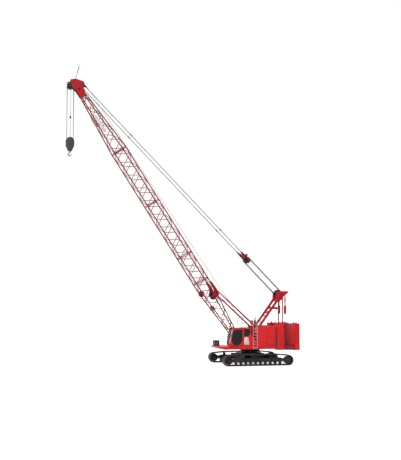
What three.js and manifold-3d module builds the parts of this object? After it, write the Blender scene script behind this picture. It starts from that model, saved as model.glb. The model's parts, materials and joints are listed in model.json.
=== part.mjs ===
// Lattice-boom crawler crane with a fixed gantry, a 30 m boom and a hook block.
// Millimetres. +X is forwards, +Y is the crane's left, +Z is up.
// The origin is on the slewing axis, at ground level.

import * as THREE from "three";
import { mergeVertices } from "three/addons/utils/BufferGeometryUtils.js";
import Module from "manifold-3d";

const wasm = await Module();
wasm.setup();

// ---------------------------------------------------------------- clearances

const fit = 0.3; // between faces that rest on each other
const pinPlay = 0.35; // between a pin's corners and its hole's flats
const run = 5; // beside a panel or a part that moves
const weld = 20; // how far a plate reaches into what it is welded to

// ---------------------------------------------------------------- driving dimensions

const track = {
  gauge: 5386, // between the two track centre lines
  wheelBase: 6000, // between the end wheels
  endRadius: 520, // outside of the shoes round an end wheel
  height: 1150, // outside of the shoes on the top run
  carrierSpan: 3800, // between the two carrier rollers
  carrierRadius: 250, // outside of the shoes over a carrier roller
  thickness: 130,
  shoeWidth: 914,
  shoeCount: 56,
  shoeGap: 26,
  grooveDepth: 34,
};

const sideFrame = {
  halfLength: 2440,
  halfWidth: 300,
  bottom: 360,
  top: 760,
  yokeInner: 200,
  yokeOuter: 262,
  yokeReach: 130, // past the end wheel's axle
  yokeHalfHeight: 120,
  rollerCount: 10,
  rollerSpan: 4500,
  rollerRadius: 112,
  rollerHalfWidth: 180,
  carrierHalfWidth: 150,
  sprocketTeeth: 14,
};

const carbody = {
  halfLength: 1180,
  halfWidth: 1180,
  corner: 260,
  bottom: 520,
  top: 1100,
  beamInner: 640,
  beamOuter: 1250,
  beamBottom: 500,
  beamTop: 930,
  collarRadius: 860,
};

const slewRing = {
  bottom: 1240,
  height: 280,
  neckRadius: 810,
  rimHeight: 80,
  rimRadius: 1070,
};

// The upper works' heights are all measured up from the deck.
const deckThickness = 200;
const deckBottom = slewRing.bottom + slewRing.height;
const deckTop = deckBottom + deckThickness;

const boom = {
  footX: 950,
  footZ: deckTop + 130,
  angle: 57, // degrees above the horizontal
  width: 1650,
  depth: 1400,
  chordRadius: 57,
  chordSides: 6,
  laceRadius: 32,
  laceSides: 3,
  bay: 1524,
  buttBays: 5,
  shortBays: 2,
  longBays: 4,
  tipBays: 4,
  tipLength: 6340,
  taperStart: 550, // along the butt, where its chords begin
  taperEnd: 6400,
  footHalfWidth: 440,
  footPlate: 120,
  footEyeRadius: 122,
  footPinRadius: 80,
  footHalfDepth: 227,
  tipEndHalfWidth: 450,
  tipEndHalfDepth: 310,
};

// What stands on the head, as reaches past the tip's end and heights off the boom's middle.
const head = {
  plateInner: 340,
  plateOuter: 400,
  length: 1800,
  sheaveReach: 1500,
  sheaveZ: -640,
  sheaveRadius: 330,
  sheaveCount: 3,
  guideReach: 1150,
  guideZ: 470,
  guideRadius: 230,
  pendantReach: 800,
  pendantZ: 400,
  pendantBarHalf: 630,
  pendantBarRadius: 50,
  windowRadius: 170,
  mastLength: 1488,
};

const lugInner = boom.width / 2 - 35; // the backstops' lugs, outside the boom's chords
const lugThickness = 70;

const backstop = {
  baseX: -450,
  baseZ: deckTop + 1880,
  centre: lugInner + lugThickness + 90, // half the distance between the two backstops
  boomX: 6200, // the pin on the boom, along and square to the boom
  boomZ: 690,
  tubeRadius: 85,
  tubeBore: 62,
  tubeLength: 4200,
  boreStart: 1800,
  rodRadius: 54,
  rodLength: 2800,
  rodEyeRadius: 90,
  eyeRadius: 120,
  pinRadius: 50,
};

const legOuter = backstop.centre - backstop.tubeRadius - 105;

const gantry = {
  legX: -860, // a point on the leg's centre line
  legZ: deckTop + 2110,
  legTopX: -2950,
  legTopZ: deckTop + 4930,
  footZ: deckTop + 680,
  legInner: legOuter - 160,
  legDepth: 230,
  headX: -3000, // the axle of its sheaves
  headZ: deckTop + 5350,
  headPlate: 70,
  sheaveRadius: 330,
  sheaveCount: 5,
  crossZ: deckTop + 3970,
  crossHalfWidth: 1500,
  crossSize: 200,
  linkX: -3300,
  linkTopZ: deckTop + 5080,
  linkWidth: 110,
  linkPlate: 60,
  hangerX: -3460,
  hangerTopZ: deckTop + 5230,
  hangerBottomZ: deckTop + 3280,
  hangerY: 920,
  barRadius: 45,
};

const houseInner = legOuter + 40;
const houseWidth = 800;
const bodyHalfWidth = houseInner + houseWidth; // of the houses, the cab and the counterweight's cheeks

const deck = {
  halfWidth: bodyHalfWidth - 20,
  front: 1600,
  rear: -2330,
  tongueHalfWidth: 780,
  tongueRear: -3620,
  tongueTop: deckTop + 180,
};

const platform = {
  top: deckTop + 80,
  noseHeight: 200,
  noseStart: 3150,
  front: 3600,
  halfWidth: bodyHalfWidth - 50,
};

const house = {
  front: -250,
  rear: -2300,
  top: deckTop + 2050,
  notchFront: -820,
  notchInner: backstop.centre + backstop.tubeRadius + 25, // inner wall beside the backstops
  wall: 40,
  doorFront: -1300,
  doorRear: -2200,
  doorBottom: deckTop + 140,
  doorTop: deckTop + 1880,
  doorSwingRadius: 12,
};

const engine = { length: 1250, width: 560, height: 1050 };
const hydraulicTank = { length: 800, width: 420, height: 900 };
const fuelTank = { front: 1500, rear: 360, width: 800, height: 800, inset: 40 };

const cab = {
  rear: 350,
  front: 2620, // at the nose
  sillFront: 2480,
  noseHeight: deckTop + 380,
  roofFront: 2240,
  browFront: 2320,
  browHeight: deckTop + 1830,
  floor: deckTop + 130,
  roof: deckTop + 1920,
  inner: bodyHalfWidth - 980,
  outer: bodyHalfWidth,
  wall: 45,
  pillar: 120,
  doorRear: 1160,
  doorSill: 70,
  doorFrame: 75,
  windowSill: deckTop + 1080,
  hingeRadius: 12,
  glass: 8,
};

const toolbox = { rear: 3000, front: 3480, right: -1440, left: -500, height: 520, wall: 20, lid: 30 };

const counterweight = {
  front: -2360,
  cheekRear: -3150,
  flankRear: -4000,
  rear: -4500,
  halfWidth: 2300,
  bottom: deckTop - 300,
  slabTop: deckTop + 180,
  stackTop: deckTop + 2330,
  stackInner: 950,
};

const bridle = {
  fallLength: 4680, // gantry sheaves to bridle sheaves, centre to centre
  pinReach: 850, // bridle sheaves to the pendants' pin
  plateInner: 530,
  plateOuter: 600,
  sheaveRadius: 330,
  sheaveCount: 5,
};

const pendant = { radius: 21, eyeRadius: 95, plate: 70, jointRadius: 60, jointLength: 420 };
const rope = { radius: 11 };

const hookBlock = {
  drop: 5050, // point sheaves' axle to the block's top
  width: 800,
  height: 1380,
  cheekInner: 120,
  cheekOuter: 190,
  sheaveRadius: 330,
  sheaveDrop: 390, // from its top to its sheave's axle
};

const hook = {
  shankRadius: 55,
  ringOuter: 200,
  ringInner: 105,
  thickness: 100,
  drop: 300, // block's bottom to the middle of the throat
};

const drum = {
  radius: 260,
  flangeRadius: 400,
  flange: 30,
  halfWidth: 500,
  post: 70,
  axleZ: deckTop + 520,
};
const drumX = { main: -260, auxiliary: -1240, boomHoist: -2050 };

const rail = { radius: 24, height: 1000 };

const ladder = { rear: -280, front: 140, bottom: deckTop + 30, top: deckTop + 1790, offset: 70, rungs: 6 };

// ---------------------------------------------------------------- finishes

const finish = (color, roughness, metalness = 0) =>
  new THREE.MeshStandardMaterial({ color, roughness, metalness });

const redPaint = finish(0xd01a1e, 0.4);
const blackPaint = finish(0x1c1c1f, 0.55);
const darkSteel = finish(0x2c2c30, 0.5, 0.6);
const greySteel = finish(0x8d9096, 0.4, 0.8);
const palePaint = finish(0xd9c8c6, 0.5);
const tintedGlass = finish(0x20262b, 0.08);
const seatFabric = finish(0x26262a, 0.85);

// ---------------------------------------------------------------- solids

const radians = (degrees) => (degrees * Math.PI) / 180;

// A closed three.js geometry as a solid that can be joined and cut.
function solidOf(geometry) {
  const bare = geometry.index ? geometry.toNonIndexed() : geometry.clone();
  bare.deleteAttribute("normal");
  bare.deleteAttribute("uv");
  const merged = mergeVertices(bare, 1e-3);
  return new wasm.Manifold(
    new wasm.Mesh({
      numProp: 3,
      vertProperties: merged.attributes.position.array,
      triVerts: new Uint32Array(merged.index.array),
    }),
  );
}

function geometryOf(solid) {
  const mesh = solid.getMesh();
  const geometry = new THREE.BufferGeometry();
  geometry.setAttribute("position", new THREE.BufferAttribute(mesh.vertProperties, 3));
  geometry.setIndex(new THREE.BufferAttribute(mesh.triVerts, 1));
  const faceted = geometry.toNonIndexed();
  faceted.computeVertexNormals();
  return faceted;
}

const join = (...solids) => solids.flat().reduce((whole, next) => whole.add(next));
const cut = (whole, ...tools) => tools.flat().reduce((rest, tool) => rest.subtract(tool), whole);

function block(x0, x1, y0, y1, z0, z1) {
  const geometry = new THREE.BoxGeometry(x1 - x0, y1 - y0, z1 - z0);
  geometry.translate((x0 + x1) / 2, (y0 + y1) / 2, (z0 + z1) / 2);
  return solidOf(geometry);
}

const shapeOf = (outline) =>
  outline instanceof THREE.Shape
    ? outline
    : new THREE.Shape(outline.map(([a, b]) => new THREE.Vector2(a, b)));

const curveSegments = 10; // along each curve of an outline

// An outline in X and Z, as thick as y0 to y1.
function sidePlate(outline, y0, y1) {
  const geometry = new THREE.ExtrudeGeometry(shapeOf(outline), {
    depth: y1 - y0,
    bevelEnabled: false,
    curveSegments,
  });
  geometry.rotateX(Math.PI / 2);
  geometry.translate(0, y1, 0);
  return solidOf(geometry);
}

// An outline in X and Y, as high as z0 to z1.
function planPlate(outline, z0, z1) {
  const geometry = new THREE.ExtrudeGeometry(shapeOf(outline), {
    depth: z1 - z0,
    bevelEnabled: false,
    curveSegments,
  });
  geometry.translate(0, 0, z0);
  return solidOf(geometry);
}

// A round bar between two points.
function bar(from, to, radius, sides = 8) {
  const start = new THREE.Vector3(...from);
  const along = new THREE.Vector3(...to).sub(start);
  const geometry = new THREE.CylinderGeometry(radius, radius, along.length(), sides);
  geometry.translate(0, along.length() / 2, 0);
  geometry.applyQuaternion(
    new THREE.Quaternion().setFromUnitVectors(new THREE.Vector3(0, 1, 0), along.clone().normalize()),
  );
  geometry.translate(...start);
  return solidOf(geometry);
}

const crossBar = (x, z, radius, y0, y1, sides = 16) => bar([x, y0, z], [x, y1, z], radius, sides);

// The corner radius of a faceted hole that a faceted pin turns in.
const holeRadius = (pinRadius, sides) => (pinRadius + pinPlay) / Math.cos(Math.PI / sides);

const mirrored = (solid) => solid.mirror([0, 1, 0]);

// The same plate on both sides of the middle plane.
const bothSides = (solid) => [solid, mirrored(solid)];

// An outline moved inwards all round; its corners run anticlockwise.
function inset(outline, distance) {
  return outline.map((corner, i) => {
    const before = outline[(i + outline.length - 1) % outline.length];
    const after = outline[(i + 1) % outline.length];
    const u = new THREE.Vector2(corner[0] - before[0], corner[1] - before[1]).normalize();
    const v = new THREE.Vector2(after[0] - corner[0], after[1] - corner[1]).normalize();
    const shift = distance / (1 + u.dot(v));
    return [corner[0] - (u.y + v.y) * shift, corner[1] + (u.x + v.x) * shift];
  });
}

// ---------------------------------------------------------------- places along the boom

// Where each boom section ends, along the boom from its foot.
const sectionEnds = (() => {
  const butt = boom.buttBays * boom.bay;
  const short = butt + boom.shortBays * boom.bay;
  const lower = short + boom.longBays * boom.bay;
  const upper = lower + boom.longBays * boom.bay;
  return { butt, short, lower, upper, tip: upper + boom.tipLength };
})();

// A point in the middle plane, from its places along and square to the boom.
const boomPoint = (along, square) => {
  const lift = radians(boom.angle);
  return [
    boom.footX + along * Math.cos(lift) - square * Math.sin(lift),
    boom.footZ + along * Math.sin(lift) + square * Math.cos(lift),
  ];
};

// ---------------------------------------------------------------- assembly

const crane = new THREE.Group();

function place(name, solid, material, parent = crane) {
  const mesh = new THREE.Mesh(geometryOf(solid), material);
  mesh.name = name;
  parent.add(mesh);
  return mesh;
}

// A group whose own X axis rises by an angle from a point in the middle plane.
function slopedFrame(x, z, angle) {
  const group = new THREE.Group();
  group.position.set(x, 0, z);
  group.rotation.y = -angle;
  crane.add(group);
  return group;
}

// ---------------------------------------------------------------- sheaves and drums

const sheaveSides = 16;
const sheaveMargin = 30; // from the outermost sheaves to the faces beside them
const discShare = 0.7; // of the pitch that a sheave takes up

// A row of sheaves on one axle along Y, between two faces at plus and minus halfSpan.
function sheaveRow(x, z, radius, count, halfSpan) {
  const pitch = (2 * (halfSpan - sheaveMargin)) / count;
  const half = (pitch * discShare) / 2;
  const discs = Array.from({ length: count }, (_, i) => {
    const middle = (i - (count - 1) / 2) * pitch;
    return crossBar(x, z, radius, middle - half, middle + half, sheaveSides);
  });
  return join(crossBar(x, z, radius * 0.3, -halfSpan + fit, halfSpan - fit, 12), discs);
}

// A rope round two sheaves of one size, whose flats lie just off the sheaves' own.
function ropeLoop([ax, az], [bx, bz], sheaveRadius) {
  const turn = Math.atan2(bz - az, bx - ax);
  const quarter = Math.PI / 2;
  const path = (radius) => {
    const line = new THREE.Path();
    line.absarc(ax, az, radius, turn + quarter, turn + 3 * quarter, false);
    line.absarc(bx, bz, radius, turn - quarter, turn + quarter, false);
    return line.getPoints(sheaveSides / 4);
  };
  const inner = sheaveRadius + fit / Math.cos(Math.PI / sheaveSides);
  const loop = new THREE.Shape(path(inner + 2 * rope.radius));
  loop.holes.push(new THREE.Path(path(inner)));
  return sidePlate(loop, -rope.radius, rope.radius);
}

function ropeDrum(x) {
  const { radius, flangeRadius, flange, halfWidth, axleZ } = drum;
  const end = halfWidth - 20;
  return join(
    crossBar(x, axleZ, radius, -end, end, 16),
    crossBar(x, axleZ, flangeRadius, -end, -end + flange, 16),
    crossBar(x, axleZ, flangeRadius, end - flange, end, 16),
    crossBar(x, axleZ, radius / 4, -halfWidth + fit, halfWidth - fit, 8),
  );
}

// ---------------------------------------------------------------- undercarriage

const trackMiddle = track.gauge / 2;
const wheelX = track.wheelBase / 2;

// The track's line round its wheels, moved in by a distance from the outside of the shoes.
function trackLine(inwards) {
  const endR = track.endRadius - inwards;
  const carrierR = track.carrierRadius - inwards;
  const carrierX = track.carrierSpan / 2;
  const carrierZ = track.height - track.carrierRadius;
  const apart = Math.hypot(wheelX - carrierX, carrierZ - track.endRadius);
  const lean = Math.atan2(carrierZ - track.endRadius, carrierX - wheelX);
  const touch = lean - Math.acos((endR - carrierR) / apart);
  const line = new THREE.Shape();
  line.absarc(wheelX, track.endRadius, endR, -Math.PI / 2, touch, false);
  line.absarc(carrierX, carrierZ, carrierR, touch, Math.PI / 2, false);
  line.absarc(-carrierX, carrierZ, carrierR, Math.PI / 2, Math.PI - touch, false);
  line.absarc(-wheelX, track.endRadius, endR, Math.PI - touch, (3 * Math.PI) / 2, false);
  line.closePath();
  return line;
}

function trackLoop() {
  const face = trackLine(0);
  const length = face.getLength();
  const shoe = 1 / track.shoeCount;
  const gap = track.shoeGap / length;
  const at = (u, depth) => {
    const point = face.getPointAt(u % 1);
    const along = face.getTangentAt(u % 1);
    return [point.x - along.y * depth, point.y + along.x * depth];
  };
  const outline = [];
  for (let i = 0; i < track.shoeCount; i++) {
    const start = i * shoe + gap / 2;
    const end = (i + 1) * shoe - gap / 2;
    outline.push(at(start, 0), at(end, 0), at(end + gap / 2, track.grooveDepth));
  }
  const shape = shapeOf(outline);
  shape.holes.push(new THREE.Path(trackLine(track.thickness).getPoints(9)));
  return sidePlate(shape, trackMiddle - track.shoeWidth / 2, trackMiddle + track.shoeWidth / 2);
}

// An end wheel between the yoke's plates; teeth stand out between its two rims.
function endWheel(x, teeth) {
  const z = track.endRadius;
  const radius = track.endRadius - track.thickness - 8;
  const half = sideFrame.yokeInner - 30;
  const hubHalf = sideFrame.yokeInner + (teeth ? -fit : 1);
  const wheel = [
    crossBar(x, z, radius, trackMiddle - half, trackMiddle + half, 20),
    crossBar(x, z, 110, trackMiddle - hubHalf, trackMiddle + hubHalf, 12),
  ];
  if (!teeth) return join(wheel);
  const notches = Array.from({ length: teeth }, (_, i) => {
    const turn = (2 * Math.PI * (i + 0.5)) / teeth;
    const reach = radius * 1.02;
    return crossBar(
      x + reach * Math.cos(turn),
      z + reach * Math.sin(turn),
      radius * 0.14,
      trackMiddle - half - 1,
      trackMiddle + half + 1,
      5,
    );
  });
  return cut(join(wheel), notches);
}

function crawlerFrame() {
  const { halfLength, halfWidth, bottom, top } = sideFrame;
  const { yokeInner, yokeOuter, yokeReach, yokeHalfHeight } = sideFrame;
  const beam = block(-halfLength, halfLength, trackMiddle - halfWidth, trackMiddle + halfWidth, bottom, top);
  const yokeLow = track.endRadius - yokeHalfHeight;
  const yokeHigh = track.endRadius + yokeHalfHeight;
  const yokes = [-1, 1].flatMap((end) =>
    [-1, 1].map((side) => {
      const near = end * (halfLength - weld);
      const far = end * (wheelX + yokeReach);
      const a = trackMiddle + side * yokeInner;
      const b = trackMiddle + side * yokeOuter;
      const [x0, x1] = [Math.min(near, far), Math.max(near, far)];
      const [y0, y1] = [Math.min(a, b), Math.max(a, b)];
      return block(x0, x1, y0, y1, yokeLow, yokeHigh);
    }),
  );
  const carrierZ = track.height - track.carrierRadius;
  const carrierR = track.carrierRadius - track.thickness - fit;
  const carriers = [-1, 1].flatMap((end) => {
    const x = (end * track.carrierSpan) / 2;
    const roller = sideFrame.carrierHalfWidth;
    return [
      crossBar(x, carrierZ, carrierR, trackMiddle - roller, trackMiddle + roller, 12),
      block(x - 60, x + 60, trackMiddle - roller, trackMiddle + roller, top - weld, carrierZ - 70),
      block(x - 45, x + 45, trackMiddle - 40, trackMiddle + 40, top - weld, carrierZ),
    ];
  });
  return join(beam, yokes, carriers, lowerRollers(), endWheel(wheelX, 0));
}

function lowerRollers() {
  const { rollerCount, rollerSpan, rollerRadius, rollerHalfWidth, bottom } = sideFrame;
  const z = track.thickness + fit + rollerRadius;
  const rollers = Array.from({ length: rollerCount }, (_, i) => {
    const x = -rollerSpan / 2 + (rollerSpan * i) / (rollerCount - 1);
    return crossBar(x, z, rollerRadius, trackMiddle - rollerHalfWidth, trackMiddle + rollerHalfWidth, 6);
  });
  const spine = block(
    -rollerSpan / 2,
    rollerSpan / 2,
    trackMiddle - 45,
    trackMiddle + 45,
    z + rollerRadius * 0.45,
    bottom + weld,
  );
  return join(spine, rollers);
}

function undercarriage() {
  const { halfLength, halfWidth, corner, bottom, top, collarRadius } = carbody;
  const { beamInner, beamOuter, beamBottom, beamTop } = carbody;
  const core = planPlate(
    [
      [-halfLength, -halfWidth + corner],
      [-halfLength + corner, -halfWidth],
      [halfLength - corner, -halfWidth],
      [halfLength, -halfWidth + corner],
      [halfLength, halfWidth - corner],
      [halfLength - corner, halfWidth],
      [-halfLength + corner, halfWidth],
      [-halfLength, halfWidth - corner],
    ],
    bottom,
    top,
  );
  const reach = trackMiddle - sideFrame.halfWidth - fit;
  const beams = [
    block(beamInner, beamOuter, -reach, reach, beamBottom, beamTop),
    block(-beamOuter, -beamInner, -reach, reach, beamBottom, beamTop),
  ];
  const collar = bar([0, 0, top - weld], [0, 0, slewRing.bottom - fit], collarRadius, 32);
  place("carbody", join(core, beams, collar), blackPaint);

  const left = {
    crawler_frame: [crawlerFrame(), blackPaint],
    track: [trackLoop(), darkSteel],
    drive_sprocket: [endWheel(-wheelX, sideFrame.sprocketTeeth), darkSteel],
  };
  for (const [name, [solid, material]] of Object.entries(left)) {
    place(`${name}_left`, solid, material);
    place(`${name}_right`, mirrored(solid), material);
  }

  const ring = new THREE.LatheGeometry(
    [
      new THREE.Vector2(0, slewRing.bottom),
      new THREE.Vector2(slewRing.neckRadius, slewRing.bottom),
      new THREE.Vector2(slewRing.rimRadius, deckBottom - slewRing.rimHeight),
      new THREE.Vector2(slewRing.rimRadius, deckBottom - fit),
      new THREE.Vector2(0, deckBottom - fit),
    ],
    40,
  );
  ring.rotateX(Math.PI / 2);
  place("slew_ring", solidOf(ring), blackPaint);
}

// ---------------------------------------------------------------- upper works

const legSlope = Math.atan2(gantry.legTopZ - gantry.legZ, gantry.legX - gantry.legTopX);
const legXAt = (z) => gantry.legX + (gantry.legZ - z) / Math.tan(legSlope);

// A plain block on the deck inside the house on one side, from a height off the deck.
function onDeck(size, side, lift) {
  const middle = (house.rear + house.notchFront) / 2;
  const inside = side * (houseInner + houseWidth / 2);
  return block(
    middle - size.length / 2,
    middle + size.length / 2,
    inside - size.width / 2,
    inside + size.width / 2,
    deckTop + lift,
    deckTop + size.height,
  );
}

function rotatingBed() {
  const bed = planPlate(
    [
      [deck.rear, -deck.halfWidth],
      [deck.front, -deck.halfWidth],
      [deck.front, deck.halfWidth],
      [deck.rear, deck.halfWidth],
    ],
    deckBottom,
    deckTop,
  );
  const tongue = block(
    deck.tongueRear,
    deck.rear + weld,
    -deck.tongueHalfWidth,
    deck.tongueHalfWidth,
    deckBottom,
    deck.tongueTop,
  );
  const footInner = boom.footHalfWidth + run;
  const footLug = sidePlate(
    [
      [boom.footX - 420, deckTop - weld],
      [boom.footX + 420, deckTop - weld],
      [boom.footX + 170, boom.footZ + 120],
      [boom.footX + 60, boom.footZ + 190],
      [boom.footX - 60, boom.footZ + 190],
      [boom.footX - 170, boom.footZ + 120],
    ],
    footInner,
    footInner + 110,
  );
  const pinHalf = footInner + 150;
  const footPin = crossBar(boom.footX, boom.footZ, boom.footPinRadius, -pinHalf, pinHalf, 24);
  const posts = Object.values(drumX).map((x) =>
    sidePlate(
      [
        [x - 330, deckTop - weld],
        [x + 330, deckTop - weld],
        [x + 110, drum.axleZ + 110],
        [x - 110, drum.axleZ + 110],
      ],
      drum.halfWidth,
      drum.halfWidth + drum.post,
    ),
  );
  const legFootX = legXAt(gantry.footZ);
  const legPads = block(
    legFootX - 200,
    legFootX + 130,
    gantry.legInner,
    legOuter,
    deckTop - weld,
    gantry.footZ - fit,
  );
  const cabBase = block(cab.rear, deck.front, cab.inner, deck.halfWidth, deckTop - weld, cab.floor - fit);
  const sidePanel = sidePlate(
    [
      [house.front + run, deckTop - weld],
      [cab.rear + weld, deckTop - weld],
      [cab.rear - run, cab.floor],
      [cab.rear - run, deckTop + 1230],
      [house.front + run, deckTop + 530],
    ],
    deck.halfWidth - 90,
    deck.halfWidth - 20,
  );
  return join(
    bed,
    tongue,
    cabBase,
    sidePanel,
    onDeck(hydraulicTank, 1, -weld),
    footPin,
    [footLug, legPads, ...posts].flatMap(bothSides),
  );
}

function frontPlatform() {
  const { top, noseHeight, noseStart, front, halfWidth } = platform;
  const nose = noseHeight / 2;
  const noseBottom = top - noseHeight;
  const side = new THREE.Shape();
  side.moveTo(deck.front + fit, deckBottom);
  side.lineTo(noseStart - 100, deckBottom);
  side.lineTo(noseStart, noseBottom);
  side.absarc(front - nose, noseBottom + nose, nose, -Math.PI / 2, Math.PI / 2, false);
  side.lineTo(deck.front + fit, top);
  return sidePlate(side, -halfWidth, halfWidth);
}

// A machinery house on the left; its floor is open and its outer side has a doorway.
function machineryHouse() {
  const { front, rear, top, notchFront, notchInner, wall } = house;
  const outer = bodyHalfWidth;
  const plan = [
    [rear, houseInner],
    [notchFront, houseInner],
    [notchFront, notchInner],
    [front, notchInner],
    [front, outer],
    [rear, outer],
  ];
  const doorway = block(
    house.doorRear - run,
    house.doorFront + run,
    outer - wall - 1,
    outer + 1,
    house.doorBottom - run,
    house.doorTop + run,
  );
  return cut(
    planPlate(plan, deckTop + fit, top),
    planPlate(inset(plan, wall), deckTop - 1, top - wall),
    doorway,
  );
}

// The knuckle's rim lies just off the outer face, so the door turns about the knuckle's middle.
function houseDoor() {
  const { doorFront, doorRear, doorBottom, doorTop, wall, doorSwingRadius } = house;
  const outer = bodyHalfWidth;
  const panel = block(doorRear, doorFront, outer - wall, outer, doorBottom, doorTop);
  const axleX = doorFront + run / 2;
  const axleY = outer + fit + doorSwingRadius;
  const knuckles = [0.18, 0.82].flatMap((share) => {
    const z = doorBottom + (doorTop - doorBottom) * share;
    return [
      bar([axleX, axleY, z - 70], [axleX, axleY, z + 70], doorSwingRadius, 12),
      block(doorFront - 110, axleX, outer - 2, axleY, z - 60, z + 60),
    ];
  });
  return join(panel, knuckles);
}

const cabOutline = [
  [cab.rear, cab.floor],
  [cab.sillFront, cab.floor],
  [cab.front, cab.noseHeight],
  [cab.browFront, cab.browHeight],
  [cab.roofFront, cab.roof],
  [cab.rear + 60, cab.roof],
  [cab.rear, cab.roof - 60],
];

// How far forward the windscreen's line is at a height.
const screenX = (z) =>
  cab.front + ((cab.browFront - cab.front) * (z - cab.noseHeight)) / (cab.browHeight - cab.noseHeight);

function doorOutline(gap) {
  const low = cab.floor + cab.doorSill + gap;
  const high = cab.roof - cab.pillar - gap;
  const front = (z) => screenX(z) - cab.pillar - gap;
  const turn = cab.noseHeight;
  return [
    [cab.doorRear + gap, low],
    [front(turn) - 90, low],
    [front(turn), turn],
    [front(high - 60), high - 60],
    [front(high - 60) - 60, high],
    [cab.doorRear + gap, high],
  ];
}

const doorPaneOutline = () => inset(doorOutline(run), cab.doorFrame);

// Windows in the cab's walls, as outlines in X and Z or as blocks.
const rearSideWindow = [
  [cab.rear + 90, cab.windowSill],
  [cab.doorRear - 90, cab.windowSill],
  [cab.doorRear - 90, cab.roof - cab.pillar],
  [cab.rear + 90, cab.roof - cab.pillar],
];

const rightSill = cab.windowSill - 300;

const rightWindow = [
  [cab.rear + 250, rightSill],
  [screenX(rightSill) - 200, rightSill],
  [screenX(cab.roof - 220) - 160, cab.roof - 160],
  [cab.rear + 250, cab.roof - 160],
];

function cabShell() {
  const { inner, outer, wall, pillar, floor, roof, rear } = cab;
  const shell = sidePlate(cabOutline, inner, outer);
  const hollow = sidePlate(inset(cabOutline, wall), inner + wall, outer - wall);
  const doorway = sidePlate(doorOutline(-run), outer - wall - 1, outer + 1);
  const screen = sidePlate(
    [
      [screenX(cab.noseHeight) - 70, cab.noseHeight + 40],
      [screenX(cab.noseHeight) + 40, cab.noseHeight + 40],
      [screenX(cab.browHeight) + 40, cab.browHeight - 40],
      [screenX(cab.browHeight) - 70, cab.browHeight - 40],
    ],
    inner + pillar * 0.6,
    outer - pillar * 0.6,
  );
  return cut(
    shell,
    hollow,
    doorway,
    screen,
    sidePlate(rearSideWindow, outer - wall - 1, outer + 1),
    sidePlate(rightWindow, inner - 1, inner + wall + 1),
    block(rear - 1, rear + wall + 1, inner + 150, outer - 150, floor + 950, roof - 160),
  );
}

function cabDoor() {
  const { outer, wall, doorRear, hingeRadius } = cab;
  const panel = cut(
    sidePlate(doorOutline(run), outer - wall, outer),
    sidePlate(doorPaneOutline(), outer - wall - 1, outer + 1),
  );
  const axleX = doorRear - run;
  const axleY = outer + fit + hingeRadius;
  const knuckles = [cab.floor + 300, cab.floor + 1400].flatMap((z) => [
    bar([axleX, axleY, z - 60], [axleX, axleY, z + 60], hingeRadius, 12),
    block(axleX, axleX + 80, outer + fit, axleY, z - 50, z + 50),
    block(doorRear + run, axleX + 80, outer - 2, axleY, z - 50, z + 50),
  ]);
  return join(panel, knuckles);
}

// A pane that stands in its opening, in the middle of the wall.
const sidePane = (outline, wallMiddle) =>
  sidePlate(inset(outline, fit), wallMiddle - cab.glass / 2, wallMiddle + cab.glass / 2);

function windscreen() {
  const low = cab.noseHeight + 40 + fit;
  const high = cab.browHeight - 40 - fit;
  const back = 30;
  return sidePlate(
    [
      [screenX(low) - back - cab.glass, low],
      [screenX(low) - back, low],
      [screenX(high) - back, high],
      [screenX(high) - back - cab.glass, high],
    ],
    cab.inner + cab.pillar * 0.6 + fit,
    cab.outer - cab.pillar * 0.6 - fit,
  );
}

function operatorSeat() {
  const floor = cab.floor + cab.wall + fit;
  const middle = (cab.inner + cab.outer) / 2;
  const seatTop = floor + 520;
  const seatRear = cab.rear + 610;
  return join(
    block(seatRear + 90, seatRear + 440, middle - 180, middle + 180, floor, seatTop - 100),
    block(seatRear, seatRear + 520, middle - 260, middle + 260, seatTop - 120, seatTop),
    sidePlate(
      [
        [seatRear, seatTop - 20],
        [seatRear + 130, seatTop - 20],
        [seatRear + 40, seatTop + 700],
        [seatRear - 60, seatTop + 700],
      ],
      middle - 240,
      middle + 240,
    ),
    block(seatRear + 40, seatRear + 600, middle - 400, middle - 275, floor + 560, floor + 700),
    block(seatRear + 40, seatRear + 600, middle + 275, middle + 400, floor + 560, floor + 700),
    block(seatRear + 100, seatRear + 340, middle - 380, middle + 380, floor + 300, floor + 600),
  );
}

// The counterweight's plan on the left: a cheek, a hollowed flank and a straight end.
function ballastPlan(innerHalfWidth) {
  const { front, cheekRear, flankRear, rear, halfWidth } = counterweight;
  const plan = new THREE.Shape();
  plan.moveTo(front, innerHalfWidth);
  plan.lineTo(front, bodyHalfWidth);
  plan.lineTo(cheekRear, bodyHalfWidth);
  plan.quadraticCurveTo(flankRear + 120, bodyHalfWidth + 80, flankRear, halfWidth);
  plan.lineTo(rear, halfWidth);
  plan.lineTo(rear, innerHalfWidth);
  plan.closePath();
  return plan;
}

function counterweights() {
  const { front, bottom, slabTop, stackTop, stackInner } = counterweight;
  const half = planPlate(ballastPlan(-10), bottom, slabTop);
  const notch = block(
    deck.tongueRear - fit,
    front + 1,
    -deck.tongueHalfWidth - fit,
    deck.tongueHalfWidth + fit,
    bottom - 1,
    slabTop + 1,
  );
  place("counterweight_slab", cut(join(bothSides(half)), notch), redPaint);
  const stack = planPlate(ballastPlan(stackInner), slabTop + fit, stackTop);
  place("counterweight_left", stack, redPaint);
  place("counterweight_right", mirrored(stack), redPaint);
}

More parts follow.
